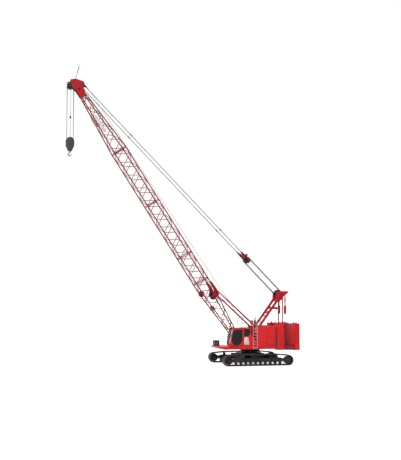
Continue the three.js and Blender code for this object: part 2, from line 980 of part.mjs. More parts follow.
function toolboxes() {
  const { rear, front, right, left, height, wall, lid } = toolbox;
  const top = platform.top + height;
  const rim = top - lid - fit;
  const box = cut(
    block(rear, front, right, left, platform.top + fit, rim),
    block(rear + wall, front - wall, right + wall, left - wall, platform.top + wall, rim + 1),
  );
  place("toolbox", box, blackPaint);
  const radius = lid / 2;
  const axleX = rear - fit - radius;
  const axleZ = rim + fit + radius;
  const cover = join(
    block(rear, front, right, left, rim + fit, top),
    [right + 150, left - 150].flatMap((y) => [
      bar([axleX, y - 60, axleZ], [axleX, y + 60, axleZ], radius, 12),
      block(axleX, rear + 40, y - 50, y + 50, axleZ, top),
    ]),
  );
  place("toolbox_lid", cover, blackPaint);
}

// A rail of two bars on posts along X, standing on a roof.
function sideRail(x0, x1, y, z) {
  const top = z + rail.height;
  const posts = [x0, (x0 + x1) / 2, x1].map((x) => bar([x, y, z + fit], [x, y, top], rail.radius, 4));
  const rails = [0.5, 1].map((share) => {
    const height = z + rail.height * share;
    return bar([x0 - rail.radius, y, height], [x1 + rail.radius, y, height], rail.radius, 4);
  });
  return join(posts, rails);
}

// A tall hoop in a plane along X.
function grabHoop(x0, x1, y, z0, z1) {
  const bend = (x1 - x0) / 2;
  const middle = (x0 + x1) / 2;
  const outer = new THREE.Shape();
  outer.moveTo(x0 - rail.radius, z0);
  outer.lineTo(x0 + rail.radius, z0);
  outer.absarc(middle, z1 - bend, bend - rail.radius, Math.PI, 0, true);
  outer.lineTo(x1 - rail.radius, z0);
  outer.lineTo(x1 + rail.radius, z0);
  outer.absarc(middle, z1 - bend, bend + rail.radius, 0, Math.PI, false);
  outer.closePath();
  return sidePlate(outer, y - rail.radius, y + rail.radius);
}

function accessLadder() {
  const { rear, front, bottom, top, offset, rungs } = ladder;
  const y = deck.halfWidth + offset;
  const stiles = [rear, front].map((x) => block(x - 20, x + 20, y - 30, y + 30, bottom, top));
  const steps = Array.from({ length: rungs }, (_, i) => {
    const z = bottom + ((i + 0.5) * (top - bottom)) / rungs;
    return block(rear, front, y - 25, y + 25, z - 12, z + 12);
  });
  const foot = block(rear - 20, front + 20, deck.halfWidth + fit, y, deckBottom + 30, deckTop - weld);
  const legs = [rear, front].map((x) => block(x - 20, x + 20, y - 30, y + 30, deckBottom + 30, bottom + 1));
  const upperTie = block(rear - 20, house.front - run, bodyHalfWidth + fit, y, top - 120, top - 60);
  return join(stiles, steps, foot, legs, upperTie);
}

function upperWorks() {
  place("rotating_bed", rotatingBed(), redPaint);
  place("front_platform", frontPlatform(), redPaint);

  const leftHouse = machineryHouse();
  place("machinery_house_left", leftHouse, redPaint);
  place("machinery_house_right", mirrored(leftHouse), redPaint);
  const leftDoor = houseDoor();
  place("house_door_left", leftDoor, redPaint);
  place("house_door_right", mirrored(leftDoor), redPaint);

  place("engine_block", onDeck(engine, -1, fit), darkSteel);
  place(
    "fuel_tank",
    block(
      fuelTank.rear,
      fuelTank.front,
      fuelTank.inset - bodyHalfWidth,
      fuelTank.inset + fuelTank.width - bodyHalfWidth,
      deckTop + fit,
      deckTop + fuelTank.height,
    ),
    blackPaint,
  );
  place("cab_shell", cabShell(), redPaint);
  place("cab_door", cabDoor(), redPaint);
  place("cab_door_window", sidePane(doorPaneOutline(), cab.outer - cab.wall / 2), tintedGlass);
  place("cab_rear_side_window", sidePane(rearSideWindow, cab.outer - cab.wall / 2), tintedGlass);
  place("cab_right_window", sidePane(rightWindow, cab.inner + cab.wall / 2), tintedGlass);
  place("windscreen", windscreen(), tintedGlass);
  place("operator_seat", operatorSeat(), seatFabric);

  counterweights();
  toolboxes();

  place("main_drum", ropeDrum(drumX.main), darkSteel);
  place("auxiliary_drum", ropeDrum(drumX.auxiliary), darkSteel);
  place("boom_hoist_drum", ropeDrum(drumX.boomHoist), darkSteel);

  place("access_ladder", accessLadder(), palePaint);
  const hoopY = 50 - platform.halfWidth;
  const hoop = grabHoop(deck.front + 300, deck.front + 800, hoopY, platform.top + fit, deckTop + 1780);
  place("front_grab_rail", hoop, palePaint);
  place("cab_roof_rail", sideRail(cab.rear + 470, cab.rear + 1350, cab.outer - 150, cab.roof), redPaint);
  const houseRail = sideRail(house.rear + 100, house.front - 400, bodyHalfWidth - 100, house.top);
  place("house_roof_rail", houseRail, redPaint);
}

// ---------------------------------------------------------------- gantry

// The line from the gantry's sheaves to the pendants' bar on the boom's head.
const stayLine = (() => {
  const [x, z] = boomPoint(sectionEnds.tip + head.pendantReach, head.pendantZ);
  return {
    angle: Math.atan2(z - gantry.headZ, x - gantry.headX),
    length: Math.hypot(z - gantry.headZ, x - gantry.headX),
  };
})();

function gantryLeg() {
  const { footZ, legTopX, legTopZ, legInner, legDepth } = gantry;
  const half = legDepth / 2 / Math.sin(legSlope);
  const footX = legXAt(footZ);
  const leg = sidePlate(
    [
      [footX - half, footZ],
      [footX + half, footZ],
      [legTopX + half, legTopZ],
      [legTopX - half, legTopZ],
    ],
    legInner,
    legOuter,
  );
  const bracketX = legXAt(backstop.baseZ);
  const bracket = sidePlate(
    [
      [bracketX - 100, backstop.baseZ - 150],
      [backstop.baseX + 40, backstop.baseZ - 90],
      [backstop.baseX + 80, backstop.baseZ],
      [backstop.baseX + 40, backstop.baseZ + 90],
      [bracketX - 100, backstop.baseZ + 150],
    ],
    legOuter - 40,
    backstop.centre - backstop.tubeRadius - run,
  );
  const pin = crossBar(
    backstop.baseX,
    backstop.baseZ,
    backstop.pinRadius,
    legOuter - 30,
    backstop.centre + backstop.tubeRadius + 15,
    16,
  );
  return join(leg, bracket, pin);
}

function gantryHead() {
  const { headX, headZ, legInner, headPlate, legTopX, legTopZ, linkX, linkTopZ } = gantry;
  const plate = sidePlate(
    [
      [legTopX + 330, legTopZ - 330],
      [headX + 330, headZ + 60],
      [headX + 120, headZ + 200],
      [headX - 300, headZ + 200],
      [headX - 920, headZ + 190],
      [headX - 920, headZ + 60],
      [linkX - 80, linkTopZ - 120],
      [linkX, legTopZ - 200],
      [legTopX + 60, legTopZ - 420],
    ],
    legInner - headPlate - fit,
    legInner - fit,
  );
  const { hangerX, hangerTopZ, hangerBottomZ, hangerY, barRadius } = gantry;
  const rearBar = crossBar(headX - 840, headZ + 125, 50, -legInner, legInner, 12);
  const hangerBar = crossBar(hangerX, hangerTopZ, barRadius, -hangerY, hangerY, 12);
  const hanger = [
    bar([hangerX, hangerY, hangerBottomZ], [hangerX, hangerY, hangerTopZ + 60], 30, 8),
    block(hangerX - 110, hangerX + 110, hangerY - 90, hangerY + 90, hangerBottomZ, hangerBottomZ + 800),
    block(hangerX - 70, hangerX + 70, hangerY - 45, hangerY + 45, hangerTopZ - 80, hangerTopZ + 80),
  ];
  const linkEyes = crossBar(linkX, linkTopZ, holeRadius(barRadius, 12), -legInner, legInner, 12);
  return join(cut(join(bothSides(plate)), linkEyes), rearBar, hangerBar, hanger.flatMap(bothSides));
}

function gantryFrame() {
  const leg = gantryLeg();
  place("gantry_leg_left", leg, redPaint);
  place("gantry_leg_right", mirrored(leg), redPaint);
  place("gantry_head", gantryHead(), redPaint);

  const { crossZ, crossHalfWidth, crossSize, legDepth } = gantry;
  const cross = new THREE.BoxGeometry(crossSize, 2 * crossHalfWidth, crossSize);
  cross.translate(0, 0, legDepth / 2 + crossSize / 2 + fit);
  cross.rotateY(legSlope - Math.PI);
  cross.translate(legXAt(crossZ), 0, crossZ);
  place("gantry_cross_member", solidOf(cross), redPaint);

  const { linkX, linkTopZ, linkWidth, linkPlate, legInner, barRadius } = gantry;
  const link = block(
    linkX - linkWidth / 2,
    linkX + linkWidth / 2,
    legInner + fit,
    legInner + fit + linkPlate,
    deck.tongueTop + fit,
    linkTopZ + 80,
  );
  const linkBar = crossBar(linkX, linkTopZ, barRadius, -legInner - linkPlate, legInner + linkPlate, 12);
  place("gantry_rear_links", join(bothSides(link), linkBar), redPaint);
}

// ---------------------------------------------------------------- boom hoist line

function boomHoistLine() {
  const line = slopedFrame(gantry.headX, gantry.headZ, stayLine.angle);
  const { fallLength, pinReach, plateInner, plateOuter, sheaveRadius, sheaveCount } = bridle;
  const gantrySpan = gantry.legInner - gantry.headPlate - fit;
  place(
    "gantry_sheaves",
    sheaveRow(0, 0, gantry.sheaveRadius, gantry.sheaveCount, gantrySpan),
    blackPaint,
    line,
  );

  const pinX = fallLength + pinReach;
  const plate = sidePlate(
    [
      [fallLength - 130, -130],
      [fallLength + 130, -150],
      [pinX + 60, -110],
      [pinX + 110, 0],
      [pinX + 60, 110],
      [fallLength + 420, 130],
      [fallLength + 250, 420],
      [fallLength + 60, 430],
      [fallLength + 60, 150],
      [fallLength - 130, 130],
    ],
    plateInner,
    plateOuter,
  );
  const eyeInner = head.pendantBarHalf;
  const pinBar = crossBar(pinX, 0, 45, -eyeInner, eyeInner, 12);
  const topBar = crossBar(fallLength + 150, 380, 35, -plateOuter, plateOuter, 10);
  const sheaves = sheaveRow(fallLength, 0, sheaveRadius, sheaveCount, plateInner + 10);
  place("boom_hoist_bridle", join(bothSides(plate), pinBar, topBar, sheaves), redPaint, line);

  const pendantY = eyeInner + fit + pendant.plate / 2;
  const end = stayLine.length;
  const middles = [0.27, 0.82].map((share) => pinX + (end - pinX) * share);
  const eye = (x) => crossBar(x, 0, pendant.eyeRadius, eyeInner + fit, eyeInner + fit + pendant.plate, 16);
  const links = middles.map((x) =>
    bar(
      [x - pendant.jointLength / 2, pendantY, 0],
      [x + pendant.jointLength / 2, pendantY, 0],
      pendant.jointRadius,
      8,
    ),
  );
  const cable = bar([pinX, pendantY, 0], [end, pendantY, 0], pendant.radius, 8);
  const stay = join(cable, eye(pinX), eye(end), links);
  place("boom_pendant_left", stay, greySteel, line);
  place("boom_pendant_right", mirrored(stay), greySteel, line);

  const fall = ropeLoop([0, 0], [fallLength, 0], sheaveRadius);
  place("boom_hoist_fall", fall, greySteel, line);
}

// ---------------------------------------------------------------- backstops

function backstops() {
  const [pinX, pinZ] = boomPoint(backstop.boomX, backstop.boomZ);
  const reach = Math.hypot(pinX - backstop.baseX, pinZ - backstop.baseZ);
  const frame = slopedFrame(
    backstop.baseX,
    backstop.baseZ,
    Math.atan2(pinZ - backstop.baseZ, pinX - backstop.baseX),
  );
  const { centre, tubeRadius, tubeBore, tubeLength, boreStart } = backstop;
  const { rodRadius, rodLength, rodEyeRadius, eyeRadius, pinRadius } = backstop;
  const tube = cut(
    join(
      bar([0, centre, 0], [tubeLength, centre, 0], tubeRadius, 16),
      crossBar(0, 0, eyeRadius, centre - tubeRadius, centre + tubeRadius, 16),
    ),
    crossBar(0, 0, holeRadius(pinRadius, 16), centre - tubeRadius - 1, centre + tubeRadius + 1, 16),
    bar([boreStart, centre, 0], [tubeLength + 1, centre, 0], tubeBore, 16),
  );
  const eyeInner = lugInner + lugThickness + fit;
  const rod = join(
    bar([reach - rodLength, centre, 0], [reach, centre, 0], rodRadius, 12),
    crossBar(reach, 0, rodEyeRadius, eyeInner, centre + rodRadius, 16),
  );
  place("backstop_tube_left", tube, redPaint, frame);
  place("backstop_tube_right", mirrored(tube), redPaint, frame);
  place("backstop_rod_left", rod, greySteel, frame);
  place("backstop_rod_right", mirrored(rod), greySteel, frame);
}

// ---------------------------------------------------------------- boom

const chordHalfWidth = boom.width / 2 - boom.chordRadius;
const chordHalfDepth = boom.depth / 2 - boom.chordRadius;

const blendValue = (x, x0, x1, a, b) => a + (b - a) * THREE.MathUtils.clamp((x - x0) / (x1 - x0), 0, 1);

// The chords' centre lines, as half the width and half the depth between them.
function chordHalves(x) {
  if (x <= sectionEnds.butt) {
    return [
      blendValue(x, boom.taperStart, boom.taperEnd, boom.footHalfWidth - boom.chordRadius, chordHalfWidth),
      blendValue(x, boom.taperStart, boom.taperEnd, boom.footHalfDepth - boom.chordRadius, chordHalfDepth),
    ];
  }
  const { upper, tip } = sectionEnds;
  const taper = (full, end) => blendValue(x, upper, tip, full, end - boom.chordRadius);
  return [taper(chordHalfWidth, boom.tipEndHalfWidth), taper(chordHalfDepth, boom.tipEndHalfDepth)];
}

const chordPoint = (x, side, face) => {
  const [halfWidth, halfDepth] = chordHalves(x);
  return [x, side * halfWidth, face * halfDepth];
};

// Four chords with zigzag lacing on all four faces and a square frame at each end.
function latticeSection(start, end, bays, breaks = []) {
  const corners = [
    [1, 1],
    [1, -1],
    [-1, -1],
    [-1, 1],
  ];
  const stations = [start, ...breaks, end];
  const members = corners.flatMap(([side, face]) =>
    stations.slice(1).map((x, i) =>
      bar(chordPoint(stations[i], side, face), chordPoint(x, side, face), boom.chordRadius, boom.chordSides),
    ),
  );
  const first = start + boom.chordRadius;
  const last = end - boom.chordRadius;
  const step = (last - first) / (2 * bays);
  corners.forEach((corner, i) => {
    const next = corners[(i + 1) % corners.length];
    for (const x of [first, last]) {
      members.push(bar(chordPoint(x, ...corner), chordPoint(x, ...next), boom.laceRadius, boom.laceSides));
    }
    for (let k = 0; k < 2 * bays; k++) {
      const x = first + k * step;
      const [from, to] = (k + i) % 2 ? [corner, next] : [next, corner];
      members.push(bar(chordPoint(x, ...from), chordPoint(x + step, ...to), boom.laceRadius, boom.laceSides));
    }
  });
  const reach = boom.width;
  const trim = block(start + fit / 2, end - fit / 2, -reach, reach, -reach, reach);
  return join(members).intersect(trim);
}

const guideShaftRadius = 40;
const mastLean = Math.atan2(1120, 980); // the wind gauge's mast, off the boom's own line

// Rope guide sheaves on shafts across the butt: two between the lower chords, one between the lugs.
const guideSheaves = [
  { x: backstop.boomX - 1500, radius: 270 },
  { x: backstop.boomX + 300, radius: 300 },
].map(({ x, radius }) => {
  const [halfShaft, halfDepth] = chordHalves(x);
  return { x, z: 30 - halfDepth, radius, halfWidth: 45, halfShaft };
});
guideSheaves.push({
  x: backstop.boomX - 540,
  z: 280,
  radius: 330,
  halfWidth: 60,
  halfShaft: lugInner + 10,
});

function boomButt() {
  const { taperStart, taperEnd, footHalfWidth, footPlate } = boom;
  const { footEyeRadius, footPinRadius, footHalfDepth } = boom;
  const lattice = latticeSection(taperStart, sectionEnds.butt, boom.buttBays, [taperEnd]);
  const foot = new THREE.Shape();
  const footEnd = taperStart + 400;
  foot.absarc(0, 0, footEyeRadius, Math.PI / 2, (3 * Math.PI) / 2, false);
  foot.lineTo(footEnd, -footHalfDepth - 30);
  foot.lineTo(footEnd, footHalfDepth + 30);
  foot.closePath();
  const feet = bothSides(sidePlate(foot, footHalfWidth - footPlate, footHalfWidth));
  const { boomX, boomZ } = backstop;
  const lug = sidePlate(
    [
      [boomX - 780, boomZ - 530],
      [boomX - 340, boomZ - 570],
      [boomX + 50, boomZ - 210],
      [boomX + 950, boomZ - 130],
      [boomX + 950, boomZ + 70],
      [boomX + 50, boomZ + 120],
      [boomX - 600, boomZ + 50],
    ],
    lugInner,
    lugInner + lugThickness,
  );
  const sheaves = guideSheaves.map(({ x, z, radius, halfWidth, halfShaft }) =>
    join(
      crossBar(x, z, radius, -halfWidth, halfWidth, sheaveSides),
      crossBar(x, z, guideShaftRadius, -halfShaft, halfShaft, 6),
    ),
  );
  const eyes = crossBar(0, 0, holeRadius(footPinRadius, 24), -footHalfWidth - 1, footHalfWidth + 1, 24);
  return cut(join(lattice, feet, bothSides(lug), sheaves), eyes);
}

function boomHead() {
  const { plateInner, plateOuter, length, sheaveReach, sheaveZ, guideReach, guideZ, guideRadius } = head;
  const { pendantReach, pendantZ, pendantBarRadius, pendantBarHalf, windowRadius, mastLength } = head;
  const start = sectionEnds.tip + fit / 2;
  const end = start + length;
  const sheaveX = start + sheaveReach;
  const guideX = start + guideReach;
  const pendantX = sectionEnds.tip + pendantReach;
  const depth = boom.tipEndHalfDepth;
  const outline = shapeOf([
    [start, -depth],
    [start + 700, -depth - 40],
    [sheaveX - 250, sheaveZ - 90],
    [sheaveX - 60, sheaveZ - 210],
    [sheaveX + 140, sheaveZ - 160],
    [end, sheaveZ + 200],
    [end, 180],
    [guideX + 190, guideZ + 90],
    [guideX, guideZ + 130],
    [pendantX - 60, pendantZ + 110],
    [pendantX - 300, pendantZ],
    [start, depth],
  ]);
  const window = new THREE.Path();
  window.absarc(start + 850, 0, windowRadius, 0, 2 * Math.PI, true);
  outline.holes.push(window);
  const between = plateInner + 10;
  const mastX = end - 60;
  const mastY = plateOuter - 30;
  const mastTip = [mastX + mastLength * Math.cos(mastLean), mastY, mastLength * Math.sin(mastLean)];
  return join(
    bothSides(sidePlate(outline, plateInner, plateOuter)),
    block(start, start + 60, -between, between, -depth, depth),
    crossBar(pendantX, pendantZ, pendantBarRadius, -pendantBarHalf, pendantBarHalf, 12),
    crossBar(guideX, guideZ, guideShaftRadius, -between, between, 6),
    crossBar(guideX, guideZ, guideRadius, -60, 60, sheaveSides),
    bar([mastX, mastY, 0], mastTip, 20, 8),
    crossBar(end - 120, -150, 50, -between, between, 12),
  );
}

// Cheek plates, a sheave between them, and a thick lower half that carries the hook.
function hookBlockSolid(x, top) {
  const { width, height, cheekInner, cheekOuter, sheaveRadius, sheaveDrop } = hookBlock;
  const half = width / 2;
  const bottom = top - height;
  const sheaveZ = top - sheaveDrop;
  const cheek = new THREE.Shape();
  cheek.absarc(x, top - half, half, 0, Math.PI, false);
  cheek.lineTo(x - half, top - height * 0.62);
  cheek.lineTo(x - half * 0.42, bottom);
  cheek.lineTo(x + half * 0.42, bottom);
  cheek.lineTo(x + half, top - height * 0.62);
  cheek.closePath();
  const shoulder = top - height * 0.66;
  const weight = sidePlate(
    [
      [x - half * 0.9, shoulder],
      [x - half * 0.42, bottom],
      [x + half * 0.42, bottom],
      [x + half * 0.9, shoulder],
    ],
    -cheekInner - 10,
    cheekInner + 10,
  );
  return join(
    bothSides(sidePlate(cheek, cheekInner, cheekOuter)),
    crossBar(x, sheaveZ, sheaveRadius, -60, 60, sheaveSides),
    crossBar(x, sheaveZ, 60, -cheekOuter - 25, cheekOuter + 25, 12),
    weight,
  );
}

// A hook that opens backwards, turning on its shank under the block.
function hookSolid(x, blockBottom) {
  const { shankRadius, ringOuter, ringInner, thickness, drop } = hook;
  const z = blockBottom - drop;
  const ring = new THREE.Shape();
  ring.absarc(x, z, ringOuter, radians(65), radians(158), true);
  ring.lineTo(x - ringInner, z + ringInner * 0.5);
  ring.absarc(x, z, ringInner, radians(160), radians(70), false);
  ring.closePath();
  return join(
    sidePlate(ring, -thickness / 2, thickness / 2),
    bar([x + 45, 0, z + ringInner * 0.9], [x, 0, blockBottom - 60], shankRadius * 0.9, 12),
    bar([x, 0, blockBottom - 110], [x, 0, blockBottom - fit], shankRadius * 1.5, 16),
  );
}

function boomAssembly() {
  const frame = slopedFrame(boom.footX, boom.footZ, radians(boom.angle));
  const { butt, short, lower, upper, tip } = sectionEnds;
  place("boom_butt", boomButt(), redPaint, frame);
  place("boom_insert_short", latticeSection(butt, short, boom.shortBays), redPaint, frame);
  place("boom_insert_lower", latticeSection(short, lower, boom.longBays), redPaint, frame);
  place("boom_insert_upper", latticeSection(lower, upper, boom.longBays), redPaint, frame);
  place("boom_tip", latticeSection(upper, tip, boom.tipBays), redPaint, frame);
  place("boom_head", boomHead(), redPaint, frame);

  const [axleX, axleZ] = boomPoint(tip + head.sheaveReach, head.sheaveZ);
  place(
    "point_sheaves",
    sheaveRow(axleX, axleZ, head.sheaveRadius, head.sheaveCount, head.plateInner),
    blackPaint,
  );
  const blockTop = axleZ - hookBlock.drop;
  const blockBottom = blockTop - hookBlock.height;
  place("hook_block", hookBlockSolid(axleX, blockTop), blackPaint);
  place("hook", hookSolid(axleX, blockBottom), greySteel);

  const blockSheaveZ = blockTop - hookBlock.sheaveDrop;
  place("load_fall", ropeLoop([axleX, axleZ], [axleX, blockSheaveZ], head.sheaveRadius), greySteel);
}

undercarriage();
upperWorks();
gantryFrame();
boomHoistLine();
backstops();
boomAssembly();

export default crane;
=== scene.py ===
import json
import math

import bmesh
import bpy
from mathutils import Matrix, Vector

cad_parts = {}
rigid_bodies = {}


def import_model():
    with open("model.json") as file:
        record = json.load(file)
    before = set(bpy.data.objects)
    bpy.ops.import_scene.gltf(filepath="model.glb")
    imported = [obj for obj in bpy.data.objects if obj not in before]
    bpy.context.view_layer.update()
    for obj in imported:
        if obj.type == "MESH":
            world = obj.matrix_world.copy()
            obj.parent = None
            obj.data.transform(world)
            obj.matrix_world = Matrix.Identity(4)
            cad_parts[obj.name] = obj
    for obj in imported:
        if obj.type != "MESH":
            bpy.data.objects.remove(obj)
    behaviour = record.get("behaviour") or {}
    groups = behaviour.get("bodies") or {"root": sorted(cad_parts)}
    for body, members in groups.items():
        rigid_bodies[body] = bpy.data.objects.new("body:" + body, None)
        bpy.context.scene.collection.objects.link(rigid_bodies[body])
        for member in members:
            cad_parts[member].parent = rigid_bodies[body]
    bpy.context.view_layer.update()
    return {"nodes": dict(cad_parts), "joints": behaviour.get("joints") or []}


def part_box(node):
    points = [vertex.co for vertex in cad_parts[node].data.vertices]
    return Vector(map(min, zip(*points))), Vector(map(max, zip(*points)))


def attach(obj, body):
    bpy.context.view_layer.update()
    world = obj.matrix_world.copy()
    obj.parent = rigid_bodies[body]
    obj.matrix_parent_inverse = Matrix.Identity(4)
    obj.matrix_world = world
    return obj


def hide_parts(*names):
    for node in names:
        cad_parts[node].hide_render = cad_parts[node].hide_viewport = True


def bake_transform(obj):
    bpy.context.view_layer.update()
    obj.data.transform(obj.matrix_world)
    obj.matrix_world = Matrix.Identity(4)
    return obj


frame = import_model()
print("frame loaded:", len(frame["nodes"]), "nodes")

# Metres. +X is forwards, +Y is the crane's left, +Z is up, and the slewing axis stands at the origin.

jointAt = {joint["name"]: Vector(joint["pos_m"]) for joint in frame["joints"] if "pos_m" in joint}
boomFoot = jointAt["boom_luff"]
gantryAxle = jointAt["boom_hoist_swing"]
bridlePin = jointAt["pendant_swing"]
backstopFoot = jointAt["backstop_swing"]
pointAxle = jointAt["point_sheave_turn"]


# ---- camera, light and floor

camera = {"at": (27.8, 88.97, 6.9), "lens": 71.95, "tilt": 94.03, "turn": 165.69, "farthest": 900}
studio = {
    "keyFrom": (0.50, 0.66, 0.62),
    "keyPower": 2.3,
    "fillFrom": (-0.70, -0.55, 0.50),
    "fillPower": 0.9,
    "spread": 28,
    "skyLight": 0.62,
    "floorColour": (0.80, 0.80, 0.80, 1),
    "floorGlow": 0.45,
    "floorSize": 1500,
}


def setCamera():
    turn = (math.radians(camera["tilt"]), 0, math.radians(camera["turn"]))
    bpy.ops.object.camera_add(location=camera["at"], rotation=turn)
    lens = bpy.context.object
    lens.name = "studioCamera"
    lens.data.lens = camera["lens"]
    lens.data.clip_end = camera["farthest"]
    bpy.context.scene.camera = lens


def addSun(name, fromWhere, power):
    turn = (-Vector(fromWhere)).to_track_quat("-Z", "Y").to_euler()
    bpy.ops.object.light_add(type="SUN", location=(0, 0, 40), rotation=turn)
    sun = bpy.context.object
    sun.name = name
    sun.data.energy = power
    sun.data.angle = math.radians(studio["spread"])


def seenMix(tree, unseen, seen):
    rays = tree.nodes.new("ShaderNodeLightPath")
    first = tree.nodes.new("ShaderNodeMath")
    first.operation = "MAXIMUM"
    second = tree.nodes.new("ShaderNodeMath")
    second.operation = "MAXIMUM"
    level = tree.nodes.new("ShaderNodeMapRange")
    level.inputs["To Min"].default_value = unseen
    level.inputs["To Max"].default_value = seen
    tree.links.new(rays.outputs["Is Camera Ray"], first.inputs[0])
    tree.links.new(rays.outputs["Is Glossy Ray"], first.inputs[1])
    tree.links.new(first.outputs[0], second.inputs[0])
    tree.links.new(rays.outputs["Is Transmission Ray"], second.inputs[1])
    tree.links.new(second.outputs[0], level.inputs["Value"])
    return level.outputs["Result"]


def setSky():
    world = bpy.data.worlds.new("studioSky")
    bpy.context.scene.world = world
    world.use_nodes = True
    tree = world.node_tree
    sky = tree.nodes["Background"]
    sky.inputs["Color"].default_value = (1, 1, 1, 1)
    tree.links.new(seenMix(tree, studio["skyLight"], 1.0), sky.inputs["Strength"])


def layFloor():
    bpy.ops.object.select_all(action="DESELECT")
    bpy.ops.mesh.primitive_plane_add(size=studio["floorSize"], location=(0, 0, -0.002))
    floor = bpy.context.object
    floor.name = "studioFloor"
    pale = bpy.data.materials.new("floorPale")
    pale.use_nodes = True
    tree = pale.node_tree
    shader = tree.nodes["Principled BSDF"]
    shader.inputs["Base Color"].default_value = studio["floorColour"]
    shader.inputs["Roughness"].default_value = 0.95
    shader.inputs["Specular IOR Level"].default_value = 0.0
    shader.inputs["Emission Color"].default_value = (1, 1, 1, 1)
    tree.links.new(seenMix(tree, 0.0, studio["floorGlow"]), shader.inputs["Emission Strength"])
    floor.data.materials.append(pale)


setCamera()
addSun("keySun", studio["keyFrom"], studio["keyPower"])
addSun("fillSun", studio["fillFrom"], studio["fillPower"])
setSky()
layFloor()
bpy.context.scene.view_settings.view_transform = "Standard"
print("camera, light and floor set")


# ---- finishes

finishes = {}



def startFinish(name, roughness, metallic=0.0):
    material = bpy.data.materials.new(name)
    material.use_nodes = True
    tree = material.node_tree
    shader = tree.nodes["Principled BSDF"]
    shader.inputs["Roughness"].default_value = roughness
    shader.inputs["Metallic"].default_value = metallic
    finishes[name] = material
    return tree, shader


def placeOn(tree, stretch=(1, 1, 1), source="Object"):
    where = tree.nodes.new("ShaderNodeTexCoord")
    mapping = tree.nodes.new("ShaderNodeMapping")
    mapping.inputs["Scale"].default_value = stretch
    tree.links.new(where.outputs[source], mapping.inputs["Vector"])
    return mapping.outputs["Vector"]


def addNoise(tree, vector, scale, detail=4.0, roughness=0.55):
    noise = tree.nodes.new("ShaderNodeTexNoise")
    noise.inputs["Scale"].default_value = scale
    noise.inputs["Detail"].default_value = detail
    noise.inputs["Roughness"].default_value = roughness
    tree.links.new(vector, noise.inputs["Vector"])
    return noise.outputs["Fac"]


def spread(tree, value, low, high, toLow=0.0, toHigh=1.0):
    level = tree.nodes.new("ShaderNodeMapRange")
    level.inputs["From Min"].default_value = low
    level.inputs["From Max"].default_value = high
    level.inputs["To Min"].default_value = toLow
    level.inputs["To Max"].default_value = toHigh
    tree.links.new(value, level.inputs["Value"])
    return level.outputs["Result"]


def blendColours(tree, share, first, second):
    mix = tree.nodes.new("ShaderNodeMix")
    mix.data_type = "RGBA"
    tree.links.new(share, mix.inputs["Factor"])
    for socket, colour in (("A", first), ("B", second)):
        target = [i for i in mix.inputs if i.name == socket and i.type == "RGBA"][0]
        if isinstance(colour, tuple):
            target.default_value = (*colour, 1)
        else:
            tree.links.new(colour, target)
    return [o for o in mix.outputs if o.type == "RGBA"][0]


def multiply(tree, first, second):
    product = tree.nodes.new("ShaderNodeMath")
    product.operation = "MULTIPLY"
    tree.links.new(first, product.inputs[0])
    if isinstance(second, float):
        product.inputs[1].default_value = second
    else:
        tree.links.new(second, product.inputs[1])
    return product.outputs[0]


def addBump(tree, shader, height, depth, strength=0.6, after=None):
    bump = tree.nodes.new("ShaderNodeBump")
    bump.inputs["Strength"].default_value = strength
    bump.inputs["Distance"].default_value = depth
    tree.links.new(height, bump.inputs["Height"])
    if after is not None:
        tree.links.new(after, bump.inputs["Normal"])
    tree.links.new(bump.outputs["Normal"], shader.inputs["Normal"])
    return bump.outputs["Normal"]


def heightOf(tree):
    where = tree.nodes.new("ShaderNodeTexCoord")
    parts = tree.nodes.new("ShaderNodeSeparateXYZ")
    tree.links.new(where.outputs["Object"], parts.inputs["Vector"])
    return parts.outputs["Z"]


def alongOf(tree):
    where = tree.nodes.new("ShaderNodeTexCoord")
    parts = tree.nodes.new("ShaderNodeSeparateXYZ")
    tree.links.new(where.outputs["Object"], parts.inputs["Vector"])
    return parts.outputs["X"]


def paintedHollowShade(tree, base):
    # painted shade on the ballast's hollowed flanks, where the curve falls into shadow, darkest at the front
    along = alongOf(tree)
    share = multiply(tree, spread(tree, along, -4.02, -3.22, 0.15, 0.86), spread(tree, along, -3.08, -3.14))
    return blendColours(tree, share, base, (0.055, 0.0030, 0.0050))


def paintFinish(name, colour, faded, dust, roughness=0.34, coat=0.12, dustTop=2.2, peel=0.0016, extra=None):
    # a sprayed coat: slow changes of tone, fine chips that show primer, and dust low down
    tree, shader = startFinish(name, roughness)
    vector = placeOn(tree)
    tone = spread(tree, addNoise(tree, vector, 0.55, 3.0), 0.34, 0.68)
    base = blendColours(tree, tone, colour, faded)
    streaks = addNoise(tree, placeOn(tree, (7.0, 7.0, 0.5)), 1.6, 5.0)
    streakShare = multiply(tree, spread(tree, streaks, 0.55, 0.78), 0.16)
    streaked = blendColours(tree, streakShare, base, dust)
    grime = addNoise(tree, vector, 2.6, 6.0, 0.62)
    low = spread(tree, heightOf(tree), dustTop, 0.3)
    share = multiply(tree, multiply(tree, spread(tree, grime, 0.42, 0.74), low), 0.6)
    dusted = blendColours(tree, share, streaked, dust)
    chips = addNoise(tree, vector, 46.0, 2.0, 0.5)
    chipShare = multiply(tree, spread(tree, chips, 0.735, 0.76), 0.55)
    chipped = blendColours(tree, chipShare, dusted, (0.10, 0.055, 0.045))
    if extra:
        chipped = extra(tree, chipped)
    tree.links.new(chipped, shader.inputs["Base Color"])
    worn = spread(tree, addNoise(tree, vector, 3.4, 5.0), 0.3, 0.75, roughness - 0.07, roughness + 0.14)
    tree.links.new(worn, shader.inputs["Roughness"])
    shader.inputs["Coat Weight"].default_value = coat
    shader.inputs["Coat Roughness"].default_value = 0.16
    shader.inputs["Specular IOR Level"].default_value = 0.20
    addBump(tree, shader, addNoise(tree, vector, 62.0, 2.0), peel, 0.35)


